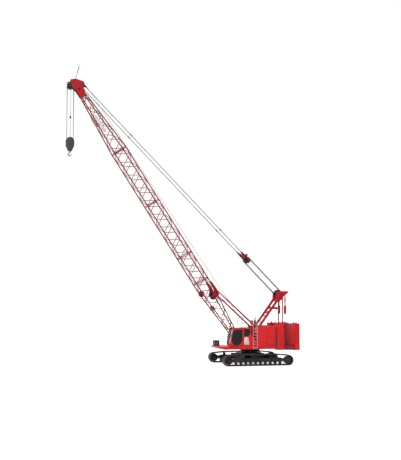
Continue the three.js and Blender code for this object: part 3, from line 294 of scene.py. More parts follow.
def metalFinish(name, colour, worn, dust, roughness, metallic, scratch=0.0012, dustShare=0.5):
    # bare or oiled steel: rubbed bright in patches, scratched, dusty where it lies low
    tree, shader = startFinish(name, roughness, metallic)
    vector = placeOn(tree)
    patches = spread(tree, addNoise(tree, vector, 5.2, 6.0, 0.6), 0.42, 0.70)
    base = blendColours(tree, patches, colour, worn)
    grime = spread(tree, addNoise(tree, vector, 1.7, 6.0, 0.65), 0.40, 0.72)
    low = spread(tree, heightOf(tree), 1.5, 0.1, 0.25, 1.0)
    share = multiply(tree, multiply(tree, grime, low), dustShare)
    tree.links.new(blendColours(tree, share, base, dust), shader.inputs["Base Color"])
    rough = spread(tree, addNoise(tree, vector, 9.0, 5.0), 0.3, 0.75, roughness - 0.10, roughness + 0.16)
    tree.links.new(rough, shader.inputs["Roughness"])
    grain = addNoise(tree, placeOn(tree, (3.0, 3.0, 30.0)), 14.0, 4.0)
    pits = addNoise(tree, vector, 90.0, 3.0)
    first = addBump(tree, shader, pits, scratch, 0.5)
    addBump(tree, shader, grain, scratch, 0.25, first)


def glassFinish(name, colour):
    tree, shader = startFinish(name, 0.045)
    vector = placeOn(tree)
    tint = spread(tree, addNoise(tree, vector, 0.8, 2.0), 0.35, 0.7)
    base = blendColours(tree, tint, colour, tuple(c * 1.6 for c in colour))
    film = multiply(tree, spread(tree, addNoise(tree, vector, 5.0, 6.0, 0.7), 0.55, 0.85), 0.04)
    tree.links.new(blendColours(tree, film, base, (0.20, 0.19, 0.18)), shader.inputs["Base Color"])
    smear = spread(tree, addNoise(tree, vector, 3.1, 5.0), 0.4, 0.8, 0.03, 0.13)
    tree.links.new(smear, shader.inputs["Roughness"])
    shader.inputs["IOR"].default_value = 1.5
    shader.inputs["Specular IOR Level"].default_value = 0.16
    addBump(tree, shader, addNoise(tree, vector, 1.2, 1.0), 0.002, 0.15)


def rubberFinish(name, colour):
    tree, shader = startFinish(name, 0.72)
    vector = placeOn(tree)
    bloom = spread(tree, addNoise(tree, vector, 6.0, 5.0), 0.4, 0.75)
    base = blendColours(tree, bloom, colour, tuple(c * 2.1 + 0.006 for c in colour))
    tree.links.new(base, shader.inputs["Base Color"])
    addBump(tree, shader, addNoise(tree, vector, 130.0, 3.0), 0.0008, 0.5)


def fabricFinish(name, colour):
    # a woven seat cloth: two crossed ribs, pilling and a soft sheen
    tree, shader = startFinish(name, 0.88)
    across = tree.nodes.new("ShaderNodeTexWave")
    across.inputs["Scale"].default_value = 95.0
    along = tree.nodes.new("ShaderNodeTexWave")
    along.bands_direction = "Z"
    along.inputs["Scale"].default_value = 95.0
    sideways = tree.nodes.new("ShaderNodeTexWave")
    sideways.bands_direction = "Y"
    sideways.inputs["Scale"].default_value = 95.0
    vector = placeOn(tree)
    for wave in (across, along, sideways):
        tree.links.new(vector, wave.inputs["Vector"])
    weave = multiply(tree, across.outputs["Fac"], along.outputs["Fac"])
    weave = multiply(tree, weave, sideways.outputs["Fac"])
    pills = spread(tree, addNoise(tree, vector, 22.0, 5.0), 0.35, 0.7)
    base = blendColours(tree, pills, colour, tuple(c * 1.7 for c in colour))
    tree.links.new(base, shader.inputs["Base Color"])
    shader.inputs["Sheen Weight"].default_value = 0.35
    shader.inputs["Sheen Roughness"].default_value = 0.4
    addBump(tree, shader, weave, 0.0012, 0.7)


def ropeFinish(name, colour, oiled):
    # laid wire rope: the strands wind along the piece's own map, in metres along and turns around
    tree, shader = startFinish(name, 0.46, 0.75)
    where = tree.nodes.new("ShaderNodeUVMap")
    mapping = tree.nodes.new("ShaderNodeMapping")
    mapping.inputs["Scale"].default_value = (5.5, 3.0, 1.0)
    tree.links.new(where.outputs["UV"], mapping.inputs["Vector"])
    lay = tree.nodes.new("ShaderNodeTexWave")
    lay.bands_direction = "DIAGONAL"
    lay.inputs["Scale"].default_value = 1.0
    tree.links.new(mapping.outputs["Vector"], lay.inputs["Vector"])
    dark = blendColours(tree, lay.outputs["Fac"], oiled, colour)
    vector = placeOn(tree)
    dirt = multiply(tree, spread(tree, addNoise(tree, vector, 4.0, 5.0), 0.45, 0.75), 0.5)
    tree.links.new(blendColours(tree, dirt, dark, oiled), shader.inputs["Base Color"])
    tree.links.new(spread(tree, lay.outputs["Fac"], 0, 1, 0.58, 0.36), shader.inputs["Roughness"])
    addBump(tree, shader, lay.outputs["Fac"], 0.003, 0.8)


def lampFinish(name, colour):
    tree, shader = startFinish(name, 0.12)
    flutes = tree.nodes.new("ShaderNodeTexWave")
    flutes.bands_direction = "Y"
    flutes.inputs["Scale"].default_value = 14.0
    vector = placeOn(tree)
    tree.links.new(vector, flutes.inputs["Vector"])
    haze = spread(tree, addNoise(tree, vector, 9.0, 4.0), 0.35, 0.75)
    base = blendColours(tree, haze, colour, tuple(c * 0.7 for c in colour))
    tree.links.new(base, shader.inputs["Base Color"])
    shader.inputs["Coat Weight"].default_value = 0.8
    addBump(tree, shader, flutes.outputs["Fac"], 0.004, 0.6)


dustTone = (0.24, 0.10, 0.085)
blackDust = (0.060, 0.055, 0.050)
paintFinish("craneRed", (0.600, 0.0070, 0.0105), (0.530, 0.0065, 0.0100), dustTone)
# the ballast's paint carries painted shade on its hollowed flanks
paintFinish("ballastRed", (0.560, 0.0050, 0.0085), (0.500, 0.0050, 0.0085), dustTone, 0.42, 0.05, 2.6, 0.003, paintedHollowShade)
paintFinish("frameRed", (0.370, 0.0050, 0.0110), (0.320, 0.0050, 0.0105), dustTone, 0.38, 0.08)
paintFinish("boomRed", (0.225, 0.0050, 0.0125), (0.190, 0.0050, 0.0115), dustTone, 0.38, 0.06)
paintFinish("fadedRed", (0.420, 0.1100, 0.1300), (0.360, 0.0900, 0.1050), dustTone, 0.46, 0.05)
paintFinish("chassisBlack", (0.0070, 0.0070, 0.0080), (0.012, 0.012, 0.013), blackDust, 0.50, 0.0)
paintFinish("railGrey", (0.150, 0.135, 0.135), (0.180, 0.165, 0.160), dustTone, 0.48, 0.0)
paintFinish("palePrimer", (0.600, 0.330, 0.325), (0.660, 0.410, 0.400), (0.36, 0.26, 0.23), 0.48, 0.05)
paintFinish("boardWhite", (0.560, 0.550, 0.540), (0.500, 0.490, 0.480), (0.30, 0.27, 0.24), 0.42, 0.1)
metalFinish("trackSteel", (0.013, 0.013, 0.014), (0.045, 0.045, 0.047), (0.052, 0.046, 0.041), 0.54, 0.5)
metalFinish("sheaveSteel", (0.012, 0.012, 0.013), (0.060, 0.059, 0.058), (0.05, 0.04, 0.03), 0.44, 0.6, 0.0008, 0.2)
metalFinish("brightSteel", (0.210, 0.208, 0.205), (0.330, 0.326, 0.322), (0.20, 0.16, 0.13), 0.34, 0.85, 0.0006, 0.2)
metalFinish("engineSteel", (0.060, 0.062, 0.066), (0.120, 0.120, 0.122), (0.09, 0.07, 0.055), 0.5, 0.5)
metalFinish("blockSteel", (0.022, 0.023, 0.025), (0.060, 0.060, 0.062), (0.05, 0.042, 0.035), 0.46, 0.35, 0.001, 0.2)
glassFinish("cabGlass", (0.006, 0.008, 0.010))
rubberFinish("softRubber", (0.010, 0.010, 0.010))
fabricFinish("seatCloth", (0.020, 0.020, 0.023))
ropeFinish("hoistRope", (0.120, 0.116, 0.114), (0.030, 0.028, 0.027))
ropeFinish("darkRope", (0.022, 0.021, 0.021), (0.008, 0.0075, 0.007))
lampFinish("lampLens", (0.78, 0.78, 0.74))
print("finishes made:", len(finishes))


# ---- ways of working

roundSides = 24


def clearSelection():
    if bpy.context.mode != "OBJECT":
        bpy.ops.object.mode_set(mode="OBJECT")
    bpy.ops.object.select_all(action="DESELECT")


def openPiece(name):
    clearSelection()
    bpy.ops.object.add(type="MESH", enter_editmode=True)
    piece = bpy.context.object
    piece.name = name
    piece.data.name = name
    return piece


def holdOnly(piece):
    clearSelection()
    piece.select_set(True)
    bpy.context.view_layer.objects.active = piece


def softenEdges(piece, width, segments=2, angle=42):
    bevel = piece.modifiers.new("edges", "BEVEL")
    bevel.width = width
    bevel.segments = segments
    bevel.limit_method = "ANGLE"
    bevel.angle_limit = math.radians(angle)
    bevel.use_clamp_overlap = False
    bpy.ops.object.modifier_apply(modifier=bevel.name)


def closePiece(edge=0.0, segments=2, smooth=36):
    bpy.ops.mesh.select_all(action="SELECT")
    bpy.ops.mesh.normals_make_consistent(inside=False)
    bpy.ops.object.mode_set(mode="OBJECT")
    piece = bpy.context.object
    holdOnly(piece)
    if edge:
        softenEdges(piece, edge, segments)
    bpy.ops.object.shade_smooth_by_angle(angle=math.radians(smooth))
    return piece


def wholeMesh():
    return bmesh.from_edit_mesh(bpy.context.object.data)


def picked():
    return [vert for vert in wholeMesh().verts if vert.select]


def showMesh():
    bmesh.update_edit_mesh(bpy.context.object.data)


def box(low, high, edge=0.0, segments=2):
    size = [b - a for a, b in zip(low, high)]
    middle = [(a + b) / 2 for a, b in zip(low, high)]
    bpy.ops.mesh.primitive_cube_add(size=1, location=middle, scale=size)
    if edge:
        bpy.ops.mesh.bevel(offset=edge, segments=segments, affect="EDGES")


def rod(start, end, radius, sides=12, endRadius=None):
    start = Vector(start)
    along = Vector(end) - start
    turn = along.to_track_quat("Z", "Y").to_euler()
    bpy.ops.mesh.primitive_cone_add(
        vertices=sides,
        radius1=radius,
        radius2=radius if endRadius is None else endRadius,
        depth=along.length,
        location=start + along / 2,
        rotation=turn,
    )


def crossRod(x, z, radius, y0, y1, sides=roundSides):
    rod((x, y0, z), (x, y1, z), radius, sides)


def ball(centre, radius, squash=(1, 1, 1), segments=16):
    rings = segments // 2
    size = [radius * share for share in squash]
    bpy.ops.mesh.primitive_uv_sphere_add(
        segments=segments, ring_count=rings, radius=1, location=centre, scale=size
    )


def plate(outline, low, high, axis="Y", edge=0.0):
    # an outline drawn in the other two axes, pulled from low to high along one
    bpy.ops.mesh.primitive_circle_add(vertices=len(outline), radius=1, fill_type="NGON")
    corners = sorted(picked(), key=lambda vert: vert.index)
    for corner, (a, b) in zip(corners, outline):
        corner.co = {"Y": (a, low, b), "X": (low, a, b), "Z": (a, b, low)}[axis]
    showMesh()
    step = {"Y": (0, high - low, 0), "X": (high - low, 0, 0), "Z": (0, 0, high - low)}[axis]
    bpy.ops.mesh.extrude_region_move(TRANSFORM_OT_translate={"value": step})
    bpy.ops.mesh.select_linked()
    if edge:
        bpy.ops.mesh.bevel(offset=edge, segments=2, affect="EDGES", clamp_overlap=True)


def turned(profile, centre, axis="Y", steps=roundSides):
    # a closed profile of (radius, place along the axis), spun right round
    bpy.ops.mesh.primitive_circle_add(vertices=len(profile), radius=1)
    corners = sorted(picked(), key=lambda vert: vert.index)
    cx, cy, cz = centre
    for corner, (radius, along) in zip(corners, profile):
        corner.co = {
            "Y": (cx + radius, cy + along, cz),
            "X": (cx + along, cy + radius, cz),
            "Z": (cx + radius, cy, cz + along),
        }[axis]
    showMesh()
    around = {"Y": (0, 1, 0), "X": (1, 0, 0), "Z": (0, 0, 1)}[axis]
    bpy.ops.mesh.spin(steps=steps, angle=math.tau, center=centre, axis=around)
    bpy.ops.mesh.select_linked()
    bpy.ops.mesh.remove_doubles(threshold=1e-5)


def rounded(points, radius, steps=4):
    # the same outline with each corner eased; a radius may be given per corner
    eased = []
    for i, corner in enumerate(points):
        r = radius[i] if isinstance(radius, (list, tuple)) else radius
        here = Vector(corner)
        before = Vector(points[i - 1]) - here
        after = Vector(points[(i + 1) % len(points)]) - here
        reach = min(r, before.length * 0.49, after.length * 0.49)
        if reach < 1e-4:
            eased.append(tuple(here))
            continue
        a = here + before.normalized() * reach
        b = here + after.normalized() * reach
        for k in range(steps + 1):
            t = k / steps
            eased.append(tuple(a * (1 - t) ** 2 + here * 2 * t * (1 - t) + b * t * t))
    return eased


def bent(points, radius, steps=6):
    # an open run of points with its corners eased
    eased = [tuple(points[0])]
    for before, here, after in zip(points, points[1:], points[2:]):
        here = Vector(here)
        back = Vector(before) - here
        on = Vector(after) - here
        reach = min(radius, back.length * 0.49, on.length * 0.49)
        a = here + back.normalized() * reach
        b = here + on.normalized() * reach
        for k in range(steps + 1):
            t = k / steps
            eased.append(tuple(a * (1 - t) ** 2 + here * 2 * t * (1 - t) + b * t * t))
    eased.append(tuple(points[-1]))
    return eased


def tube(points, radius, name="tube", closed=False, sides=8):
    # a curve with a round section, made a mesh whose map runs in metres along it
    clearSelection()
    curve = bpy.data.curves.new(name, "CURVE")
    curve.dimensions = "3D"
    curve.bevel_depth = radius
    curve.bevel_resolution = max(0, sides // 2 - 2)
    curve.use_fill_caps = not closed
    line = curve.splines.new("POLY")
    line.points.add(len(points) - 1)
    for place, point in zip(line.points, points):
        place.co = (*point, 1)
    line.use_cyclic_u = closed
    piece = bpy.data.objects.new(name, curve)
    bpy.context.scene.collection.objects.link(piece)
    holdOnly(piece)
    bpy.ops.object.convert(target="MESH")
    bpy.ops.object.shade_smooth_by_angle(angle=math.radians(60))
    piece = bpy.context.object
    run = sum((Vector(b) - Vector(a)).length for a, b in zip(points, points[1:]))
    if piece.data.uv_layers:
        for corner in piece.data.uv_layers.active.data:
            corner.uv = (corner.uv[0] * run, corner.uv[1])
    return piece


def joined(pieces, name):
    clearSelection()
    for piece in pieces:
        piece.select_set(True)
    bpy.context.view_layer.objects.active = pieces[0]
    if len(pieces) > 1:
        bpy.ops.object.join()
    piece = bpy.context.object
    piece.name = name
    piece.data.name = name
    return piece


def copyOf(piece, name, change):
    # a copy with its own mesh, moved or mirrored by a matrix
    twin = piece.copy()
    twin.data = piece.data.copy()
    twin.name = name
    twin.data.name = name
    bpy.context.scene.collection.objects.link(twin)
    twin.data.transform(change)
    if change.determinant() < 0:
        twin.data.flip_normals()
    return twin


acrossMiddle = Matrix.Scale(-1, 4, (0, 1, 0))


def placeAt(piece, origin, angle):
    # from a sloped member's own axes to the crane's: X up along it, Z square to it
    holdOnly(piece)
    piece.location = origin
    piece.rotation_euler = (0, -angle, 0)
    bpy.ops.object.transform_apply(location=True, rotation=True, scale=True)
    return piece


def softened(node, name, width=0.008, segments=2, angle=30):
    # a node's own shape with eased edges, in a new mesh
    clearSelection()
    piece = bpy.data.objects.new(name, frame["nodes"][node].data.copy())
    piece.data.materials.clear()
    bpy.context.scene.collection.objects.link(piece)
    holdOnly(piece)
    bpy.ops.object.mode_set(mode="EDIT")
    bpy.ops.mesh.select_all(action="SELECT")
    bpy.ops.mesh.remove_doubles(threshold=1e-4)
    bpy.ops.mesh.customdata_custom_splitnormals_clear()
    bpy.ops.mesh.mark_sharp(clear=True)
    bpy.ops.mesh.dissolve_limited(angle_limit=math.radians(1))
    bpy.ops.mesh.select_all(action="DESELECT")
    bpy.ops.object.mode_set(mode="OBJECT")
    softenEdges(piece, width, segments, angle)
    bpy.ops.object.shade_smooth_by_angle(angle=math.radians(36))
    return piece


def finishPiece(piece, body, slot, finish, *nodes):
    piece.data.materials.clear()
    piece.data.materials.append(finishes[finish])
    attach(piece, body)
    if nodes:
        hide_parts(*nodes)
    return piece


def paintNode(node, finish):
    body = frame["nodes"][node]
    if not body.data.materials:
        body.data.materials.append(None)
    for place in body.material_slots:
        place.material = finishes[finish]


# ---- crawler tracks

crawler = {
    "middle": 2.693,  # from the crane's middle to a track's
    "wheelX": 3.0,
    "endRadius": 0.52,  # outside of the shoes round an end wheel
    "carrierX": 1.9,
    "carrierRadius": 0.25,
    "carrierZ": 0.90,
    "shoes": 56,
    "shoeHalfWidth": 0.457,
    "thickness": 0.13,
    "gap": 0.022,
    "padEdge": 0.009,
    "linkY": (0.135, 0.205),
    "pinRadius": 0.026,
    "pinHalf": 0.30,
}


def trackLine():
    # the outside of the shoes as closely spaced points, from the bottom run's rear end forwards
    c = crawler
    rise = c["carrierZ"] - c["endRadius"]
    apart = math.hypot(c["wheelX"] - c["carrierX"], rise)
    lean = math.atan2(rise, c["carrierX"] - c["wheelX"])
    touch = lean - math.acos((c["endRadius"] - c["carrierRadius"]) / apart)
    half = math.pi / 2
    arcs = [
        (c["wheelX"], c["endRadius"], c["endRadius"], -half, touch),
        (c["carrierX"], c["carrierZ"], c["carrierRadius"], touch, half),
        (-c["carrierX"], c["carrierZ"], c["carrierRadius"], half, math.pi - touch),
        (-c["wheelX"], c["endRadius"], c["endRadius"], math.pi - touch, 3 * half),
    ]
    points = []
    for x, z, radius, start, end in arcs:
        for k in range(41):
            turn = start + (end - start) * k / 40
            points.append(Vector((x + radius * math.cos(turn), 0, z + radius * math.sin(turn))))
    return points


def alongLine(points, count):
    # evenly spaced places on a closed line, each with its direction
    steps = [(b - a).length for a, b in zip(points, points[1:] + points[:1])]
    pitch = sum(steps) / count
    places = []
    reach, i = 0.0, 0
    for k in range(count):
        target = (k + 0.5) * pitch
        while reach + steps[i] < target:
            reach += steps[i]
            i += 1
        a, b = points[i], points[(i + 1) % len(points)]
        places.append((a.lerp(b, (target - reach) / steps[i]), (b - a).normalized()))
    return places, pitch


def oneShoe(pitch):
    c = crawler
    half = (pitch - c["gap"]) / 2
    inner, outer = c["linkY"]
    wide = c["shoeHalfWidth"]
    piece = openPiece("shoe")
    rim = [(-wide, 0.084), (wide, 0.084), (wide, 0.112), (wide - 0.03, 0.122)]
    rim += [(0.16, 0.122), (0.12, 0.114), (-0.12, 0.114), (-0.16, 0.122), (-wide + 0.03, 0.122), (-wide, 0.112)]
    plate(rim, -half, half, "X")
    for x in (-half * 0.55, half * 0.55):
        for side in (-1, 1):
            low, high = sorted((side * 0.19, side * (wide - 0.025)))
            box((x - 0.016, low, 0.115), (x + 0.016, high, 0.130))
    for side in (-1, 1):
        low, high = sorted((side * inner, side * outer))
        link = [(-half - 0.008, 0.03), (-half + 0.02, 0.002), (half - 0.02, 0.002), (half + 0.008, 0.03)]
        plate(link + [(half + 0.008, 0.088), (-half - 0.008, 0.088)], low, high, "Y")
    box((-0.035, -0.05, 0.008), (0.035, 0.05, 0.09))
    rod((pitch / 2, -c["pinHalf"], 0.052), (pitch / 2, c["pinHalf"], 0.052), c["pinRadius"], 8)
    return closePiece(smooth=30)


def layTracks():
    places, pitch = alongLine(trackLine(), crawler["shoes"])
    first = oneShoe(pitch)
    laid = []
    for i, (spot, ahead) in enumerate(places):
        out = Vector((ahead.z, 0, -ahead.x))
        sideways = out.cross(ahead)
        base = spot - out * crawler["thickness"]
        move = Matrix(
            (
                (ahead.x, sideways.x, out.x, base.x),
                (ahead.y, sideways.y, out.y, base.y + crawler["middle"]),
                (ahead.z, sideways.z, out.z, base.z),
                (0, 0, 0, 1),
            )
        )
        laid.append(copyOf(first, f"shoe{i}", move))
    bpy.data.objects.remove(first)
    left = joined(laid, "trackShoesLeft")
    right = copyOf(left, "trackShoesRight", acrossMiddle)
    finishPiece(left, "undercarriage", "dark_steel", "trackSteel", "track_left")
    finishPiece(right, "undercarriage", "dark_steel", "trackSteel", "track_right")


sideFrame = {
    "halfLength": 2.44,
    "halfWidth": 0.30,
    "bottom": 0.36,
    "top": 0.76,
    "yokeEnd": 3.13,
    "yokeY": (0.200, 0.262),
    "rollers": 10,
    "rollerSpan": 4.5,
    "rollerZ": 0.2425,
    "rollerRadius": 0.112,
    "ribs": 7,
}


def ringOfBolts(centre, reach, count, size, axis="Y", length=0.02, start=0.0):
    # hexagon heads round a circle square to an axis
    cx, cy, cz = centre
    for k in range(count):
        turn = start + math.tau * k / count
        a, b = reach * math.cos(turn), reach * math.sin(turn)
        if axis == "Y":
            spot = (cx + a, cy, cz + b)
            tip = (cx + a, cy + length, cz + b)
        elif axis == "Z":
            spot = (cx + a, cy + b, cz)
            tip = (cx + a, cy + b, cz + length)
        else:
            spot = (cx, cy + a, cz + b)
            tip = (cx + length, cy + a, cz + b)
        rod(spot, tip, size, 6)


def trackRollers():
    s = sideFrame
    middle = crawler["middle"]
    piece = openPiece("trackRollersLeft")
    r = s["rollerRadius"]
    tread = [(0.035, -0.195), (r - 0.03, -0.195), (r - 0.012, -0.180), (r, -0.170), (r, -0.085)]
    tread += [(r - 0.022, -0.070), (r - 0.022, 0.070), (r, 0.085), (r, 0.170), (r - 0.012, 0.180)]
    tread += [(r - 0.03, 0.195), (0.035, 0.195)]
    for k in range(s["rollers"]):
        x = -s["rollerSpan"] / 2 + s["rollerSpan"] * k / (s["rollers"] - 1)
        turned(tread, (x, middle, s["rollerZ"]), "Y", 20)
        rod((x, middle - 0.245, s["rollerZ"]), (x, middle + 0.245, s["rollerZ"]), 0.036, 12)
        for side in (-1, 1):
            low, high = sorted((middle + side * 0.205, middle + side * 0.238))
            hanger = [(x - 0.05, 0.225), (x + 0.05, 0.225), (x + 0.085, 0.37), (x - 0.085, 0.37)]
            plate(rounded(hanger, [0.03, 0.03, 0.0, 0.0], 2), low, high, "Y")
    for x in (-crawler["carrierX"], crawler["carrierX"]):
        z = crawler["carrierZ"]
        carrier = [(0.03, -0.16), (0.095, -0.16), (0.118, -0.145), (0.118, -0.08), (0.100, -0.07)]
        carrier += [(0.100, 0.07), (0.118, 0.08), (0.118, 0.145), (0.095, 0.16), (0.03, 0.16)]
        turned(carrier, (x, middle, z), "Y", 24)
        rod((x, middle - 0.20, z), (x, middle + 0.20, z), 0.034, 12)
        for side in (-1, 1):
            low, high = sorted((middle + side * 0.165, middle + side * 0.195))
            stand = [(x - 0.11, 0.75), (x + 0.11, 0.75), (x + 0.045, z + 0.03), (x - 0.045, z + 0.03)]
            plate(rounded(stand, [0, 0, 0.04, 0.04], 3), low, high, "Y")
    return closePiece(smooth=30)


def idlerWheel():
    middle = crawler["middle"]
    x, z = crawler["wheelX"], crawler["endRadius"]
    piece = openPiece("idlerLeft")
    rim = [(0.05, -0.19), (0.115, -0.19), (0.135, -0.165), (0.145, -0.050), (0.290, -0.035)]
    rim += [(0.315, -0.165), (0.372, -0.170), (0.382, -0.160), (0.382, -0.070), (0.360, -0.055)]
    rim += [(r, -y) for r, y in reversed(rim)]
    turned(rim, (x, middle, z), "Y", 40)
    for k in range(8):
        turn = math.tau * (k + 0.5) / 8
        spoke = Vector((math.cos(turn), 0, math.sin(turn)))
        hub = Vector((x, middle, z))
        for side in (-1, 1):
            lift = Vector((0, side * 0.10, 0))
            foot = hub + spoke * 0.13
            tip = hub + spoke * 0.32
            rod(foot + lift, tip + lift, 0.022, 6)
    rod((x, middle - 0.285, z), (x, middle + 0.285, z), 0.055, 20)
    for side in (-1, 1):
        face = middle + side * 0.285
        rod((x, face - side * 0.022, z), (x, face, z), 0.10, 24)
        ringOfBolts((x, face, z), 0.078, 8, 0.011, "Y", side * 0.010)
    return closePiece(0.004, 2, 30)


def driveSprocket():
    middle = crawler["middle"]
    x, z = -crawler["wheelX"], crawler["endRadius"]
    teeth = 14
    outline = []
    for k in range(teeth):
        for share, reach in ((-0.26, 0.352), (-0.15, 0.384), (0.15, 0.384), (0.26, 0.352), (0.38, 0.332), (0.62, 0.332)):
            turn = math.tau * (k + share) / teeth
            outline.append((x + reach * math.cos(turn), z + reach * math.sin(turn)))
    piece = openPiece("sprocketLeft")
    for low, high in ((-0.165, -0.075), (0.075, 0.165)):
        plate(outline, middle + low, middle + high, "Y")
    hub = [(0.05, -0.19), (0.16, -0.19), (0.18, -0.17), (0.18, -0.10), (0.29, -0.085), (0.29, 0.085)]
    hub += [(0.18, 0.10), (0.18, 0.17), (0.16, 0.19), (0.05, 0.19)]
    turned(hub, (x, middle, z), "Y", 36)
    for face in (-0.165, 0.165):
        side = 1 if face > 0 else -1
        ringOfBolts((x, middle + face, z), 0.245, 14, 0.015, "Y", side * 0.014)
    cover = [(0.0, 0.19), (0.125, 0.19), (0.135, 0.20), (0.135, 0.265), (0.115, 0.285), (0.0, 0.292)]
    turned([(max(r, 0.004), y) for r, y in cover], (x, middle, z), "Y", 32)
    ringOfBolts((x, middle + 0.286, z), 0.088, 6, 0.010, "Y", 0.008)
    motor = [(0.004, -0.19), (0.15, -0.19), (0.15, -0.30), (0.12, -0.335), (0.004, -0.34)]
    turned(motor, (x, middle, z), "Y", 28)
    return closePiece(0.003, 1, 30)


def sideFrames():
    s = sideFrame
    middle = crawler["middle"]
    piece = openPiece("sideFrameLeft")
    reach, wide = s["halfLength"], s["halfWidth"]
    bottom, top = s["bottom"], s["top"]
    sideOn = [(-reach, bottom + 0.08), (-reach + 0.12, bottom), (reach - 0.12, bottom), (reach, bottom + 0.08)]
    sideOn += [(reach, top - 0.10), (reach - 0.16, top), (-reach + 0.16, top), (-reach, top - 0.10)]
    plate(sideOn, middle - wide + 0.045, middle + wide - 0.045, "Y", 0.012)
    for z in (bottom + 0.012, top - 0.012):
        box((-reach + 0.14, middle - wide, z - 0.012), (reach - 0.14, middle + wide, z + 0.012), 0.004)
    for k in range(s["ribs"]):
        x = -reach + 0.42 + (2 * reach - 0.84) * k / (s["ribs"] - 1)
        for side in (-1, 1):
            low, high = sorted((middle + side * (wide - 0.05), middle + side * (wide - 0.008)))
            box((x - 0.014, low, bottom + 0.02), (x + 0.014, high, top - 0.02), 0.003)
    for side in (-1, 1):
        face = middle + side * (wide - 0.045)
        for k in range(s["ribs"] - 1):
            x = -reach + 0.42 + (2 * reach - 0.84) * (k + 0.5) / (s["ribs"] - 1)
            cover = rounded([(x - 0.19, 0.46), (x + 0.19, 0.46), (x + 0.19, 0.66), (x - 0.19, 0.66)], 0.05)
            plate(cover, *sorted((face - side * 0.004, face + side * 0.012)), "Y")
            ringOfBolts((x, face + side * 0.012, 0.56), 0.115, 6, 0.010, "Y", side * 0.008)
    for end in (-1, 1):
        for side in (-1, 1):
            inner, outer = s["yokeY"]
            low, high = sorted((middle + side * inner, middle + side * outer))
            root, tip = end * (reach - 0.02), end * s["yokeEnd"]
            arm = [(root, 0.385), (end * 2.86, 0.40), (tip, 0.44), (tip, 0.60), (end * 2.86, 0.64), (root, 0.70)]
            plate(rounded(arm, [0, 0.1, 0.09, 0.09, 0.1, 0], 4), low, high, "Y", 0.006)
    box((2.30, middle - 0.10, 0.46), (2.58, middle + 0.10, 0.62), 0.02)  # the idler's tension ram
    rod((2.56, middle, 0.53), (2.66, middle, 0.53), 0.05, 20)
    return closePiece(smooth=34)


def bothTracks(piece, stem, slot, finish, node):
    right = copyOf(piece, stem + "Right", acrossMiddle)
    piece.name = stem + "Left"
    finishPiece(piece, "undercarriage", slot, finish, *([node + "_left"] if node else []))
    finishPiece(right, "undercarriage", slot, finish, *([node + "_right"] if node else []))


layTracks()
bothTracks(sideFrames(), "sideFrame", "black_paint", "chassisBlack", "crawler_frame")
bothTracks(trackRollers(), "trackRollers", "dark_steel", "sheaveSteel", "")
bothTracks(idlerWheel(), "idlerWheel", "dark_steel", "sheaveSteel", "")
bothTracks(driveSprocket(), "driveSprocket", "dark_steel", "trackSteel", "drive_sprocket")
print("tracks laid")


# ---- carbody and slewing ring

carbody = {
    "core": (1.18, 1.18, 0.52, 1.10),
    "corner": 0.26,
    "beamX": (0.64, 1.25),
    "beamZ": (0.50, 0.93),
    "beamReach": 2.3925,
    "collarRadius": 0.86,
    "collarTop": 1.2397,
    "ringBottom": 1.24,
    "ringTop": 1.5195,
    "neck": 0.81,
    "rim": 1.07,
    "bolts": 40,
}


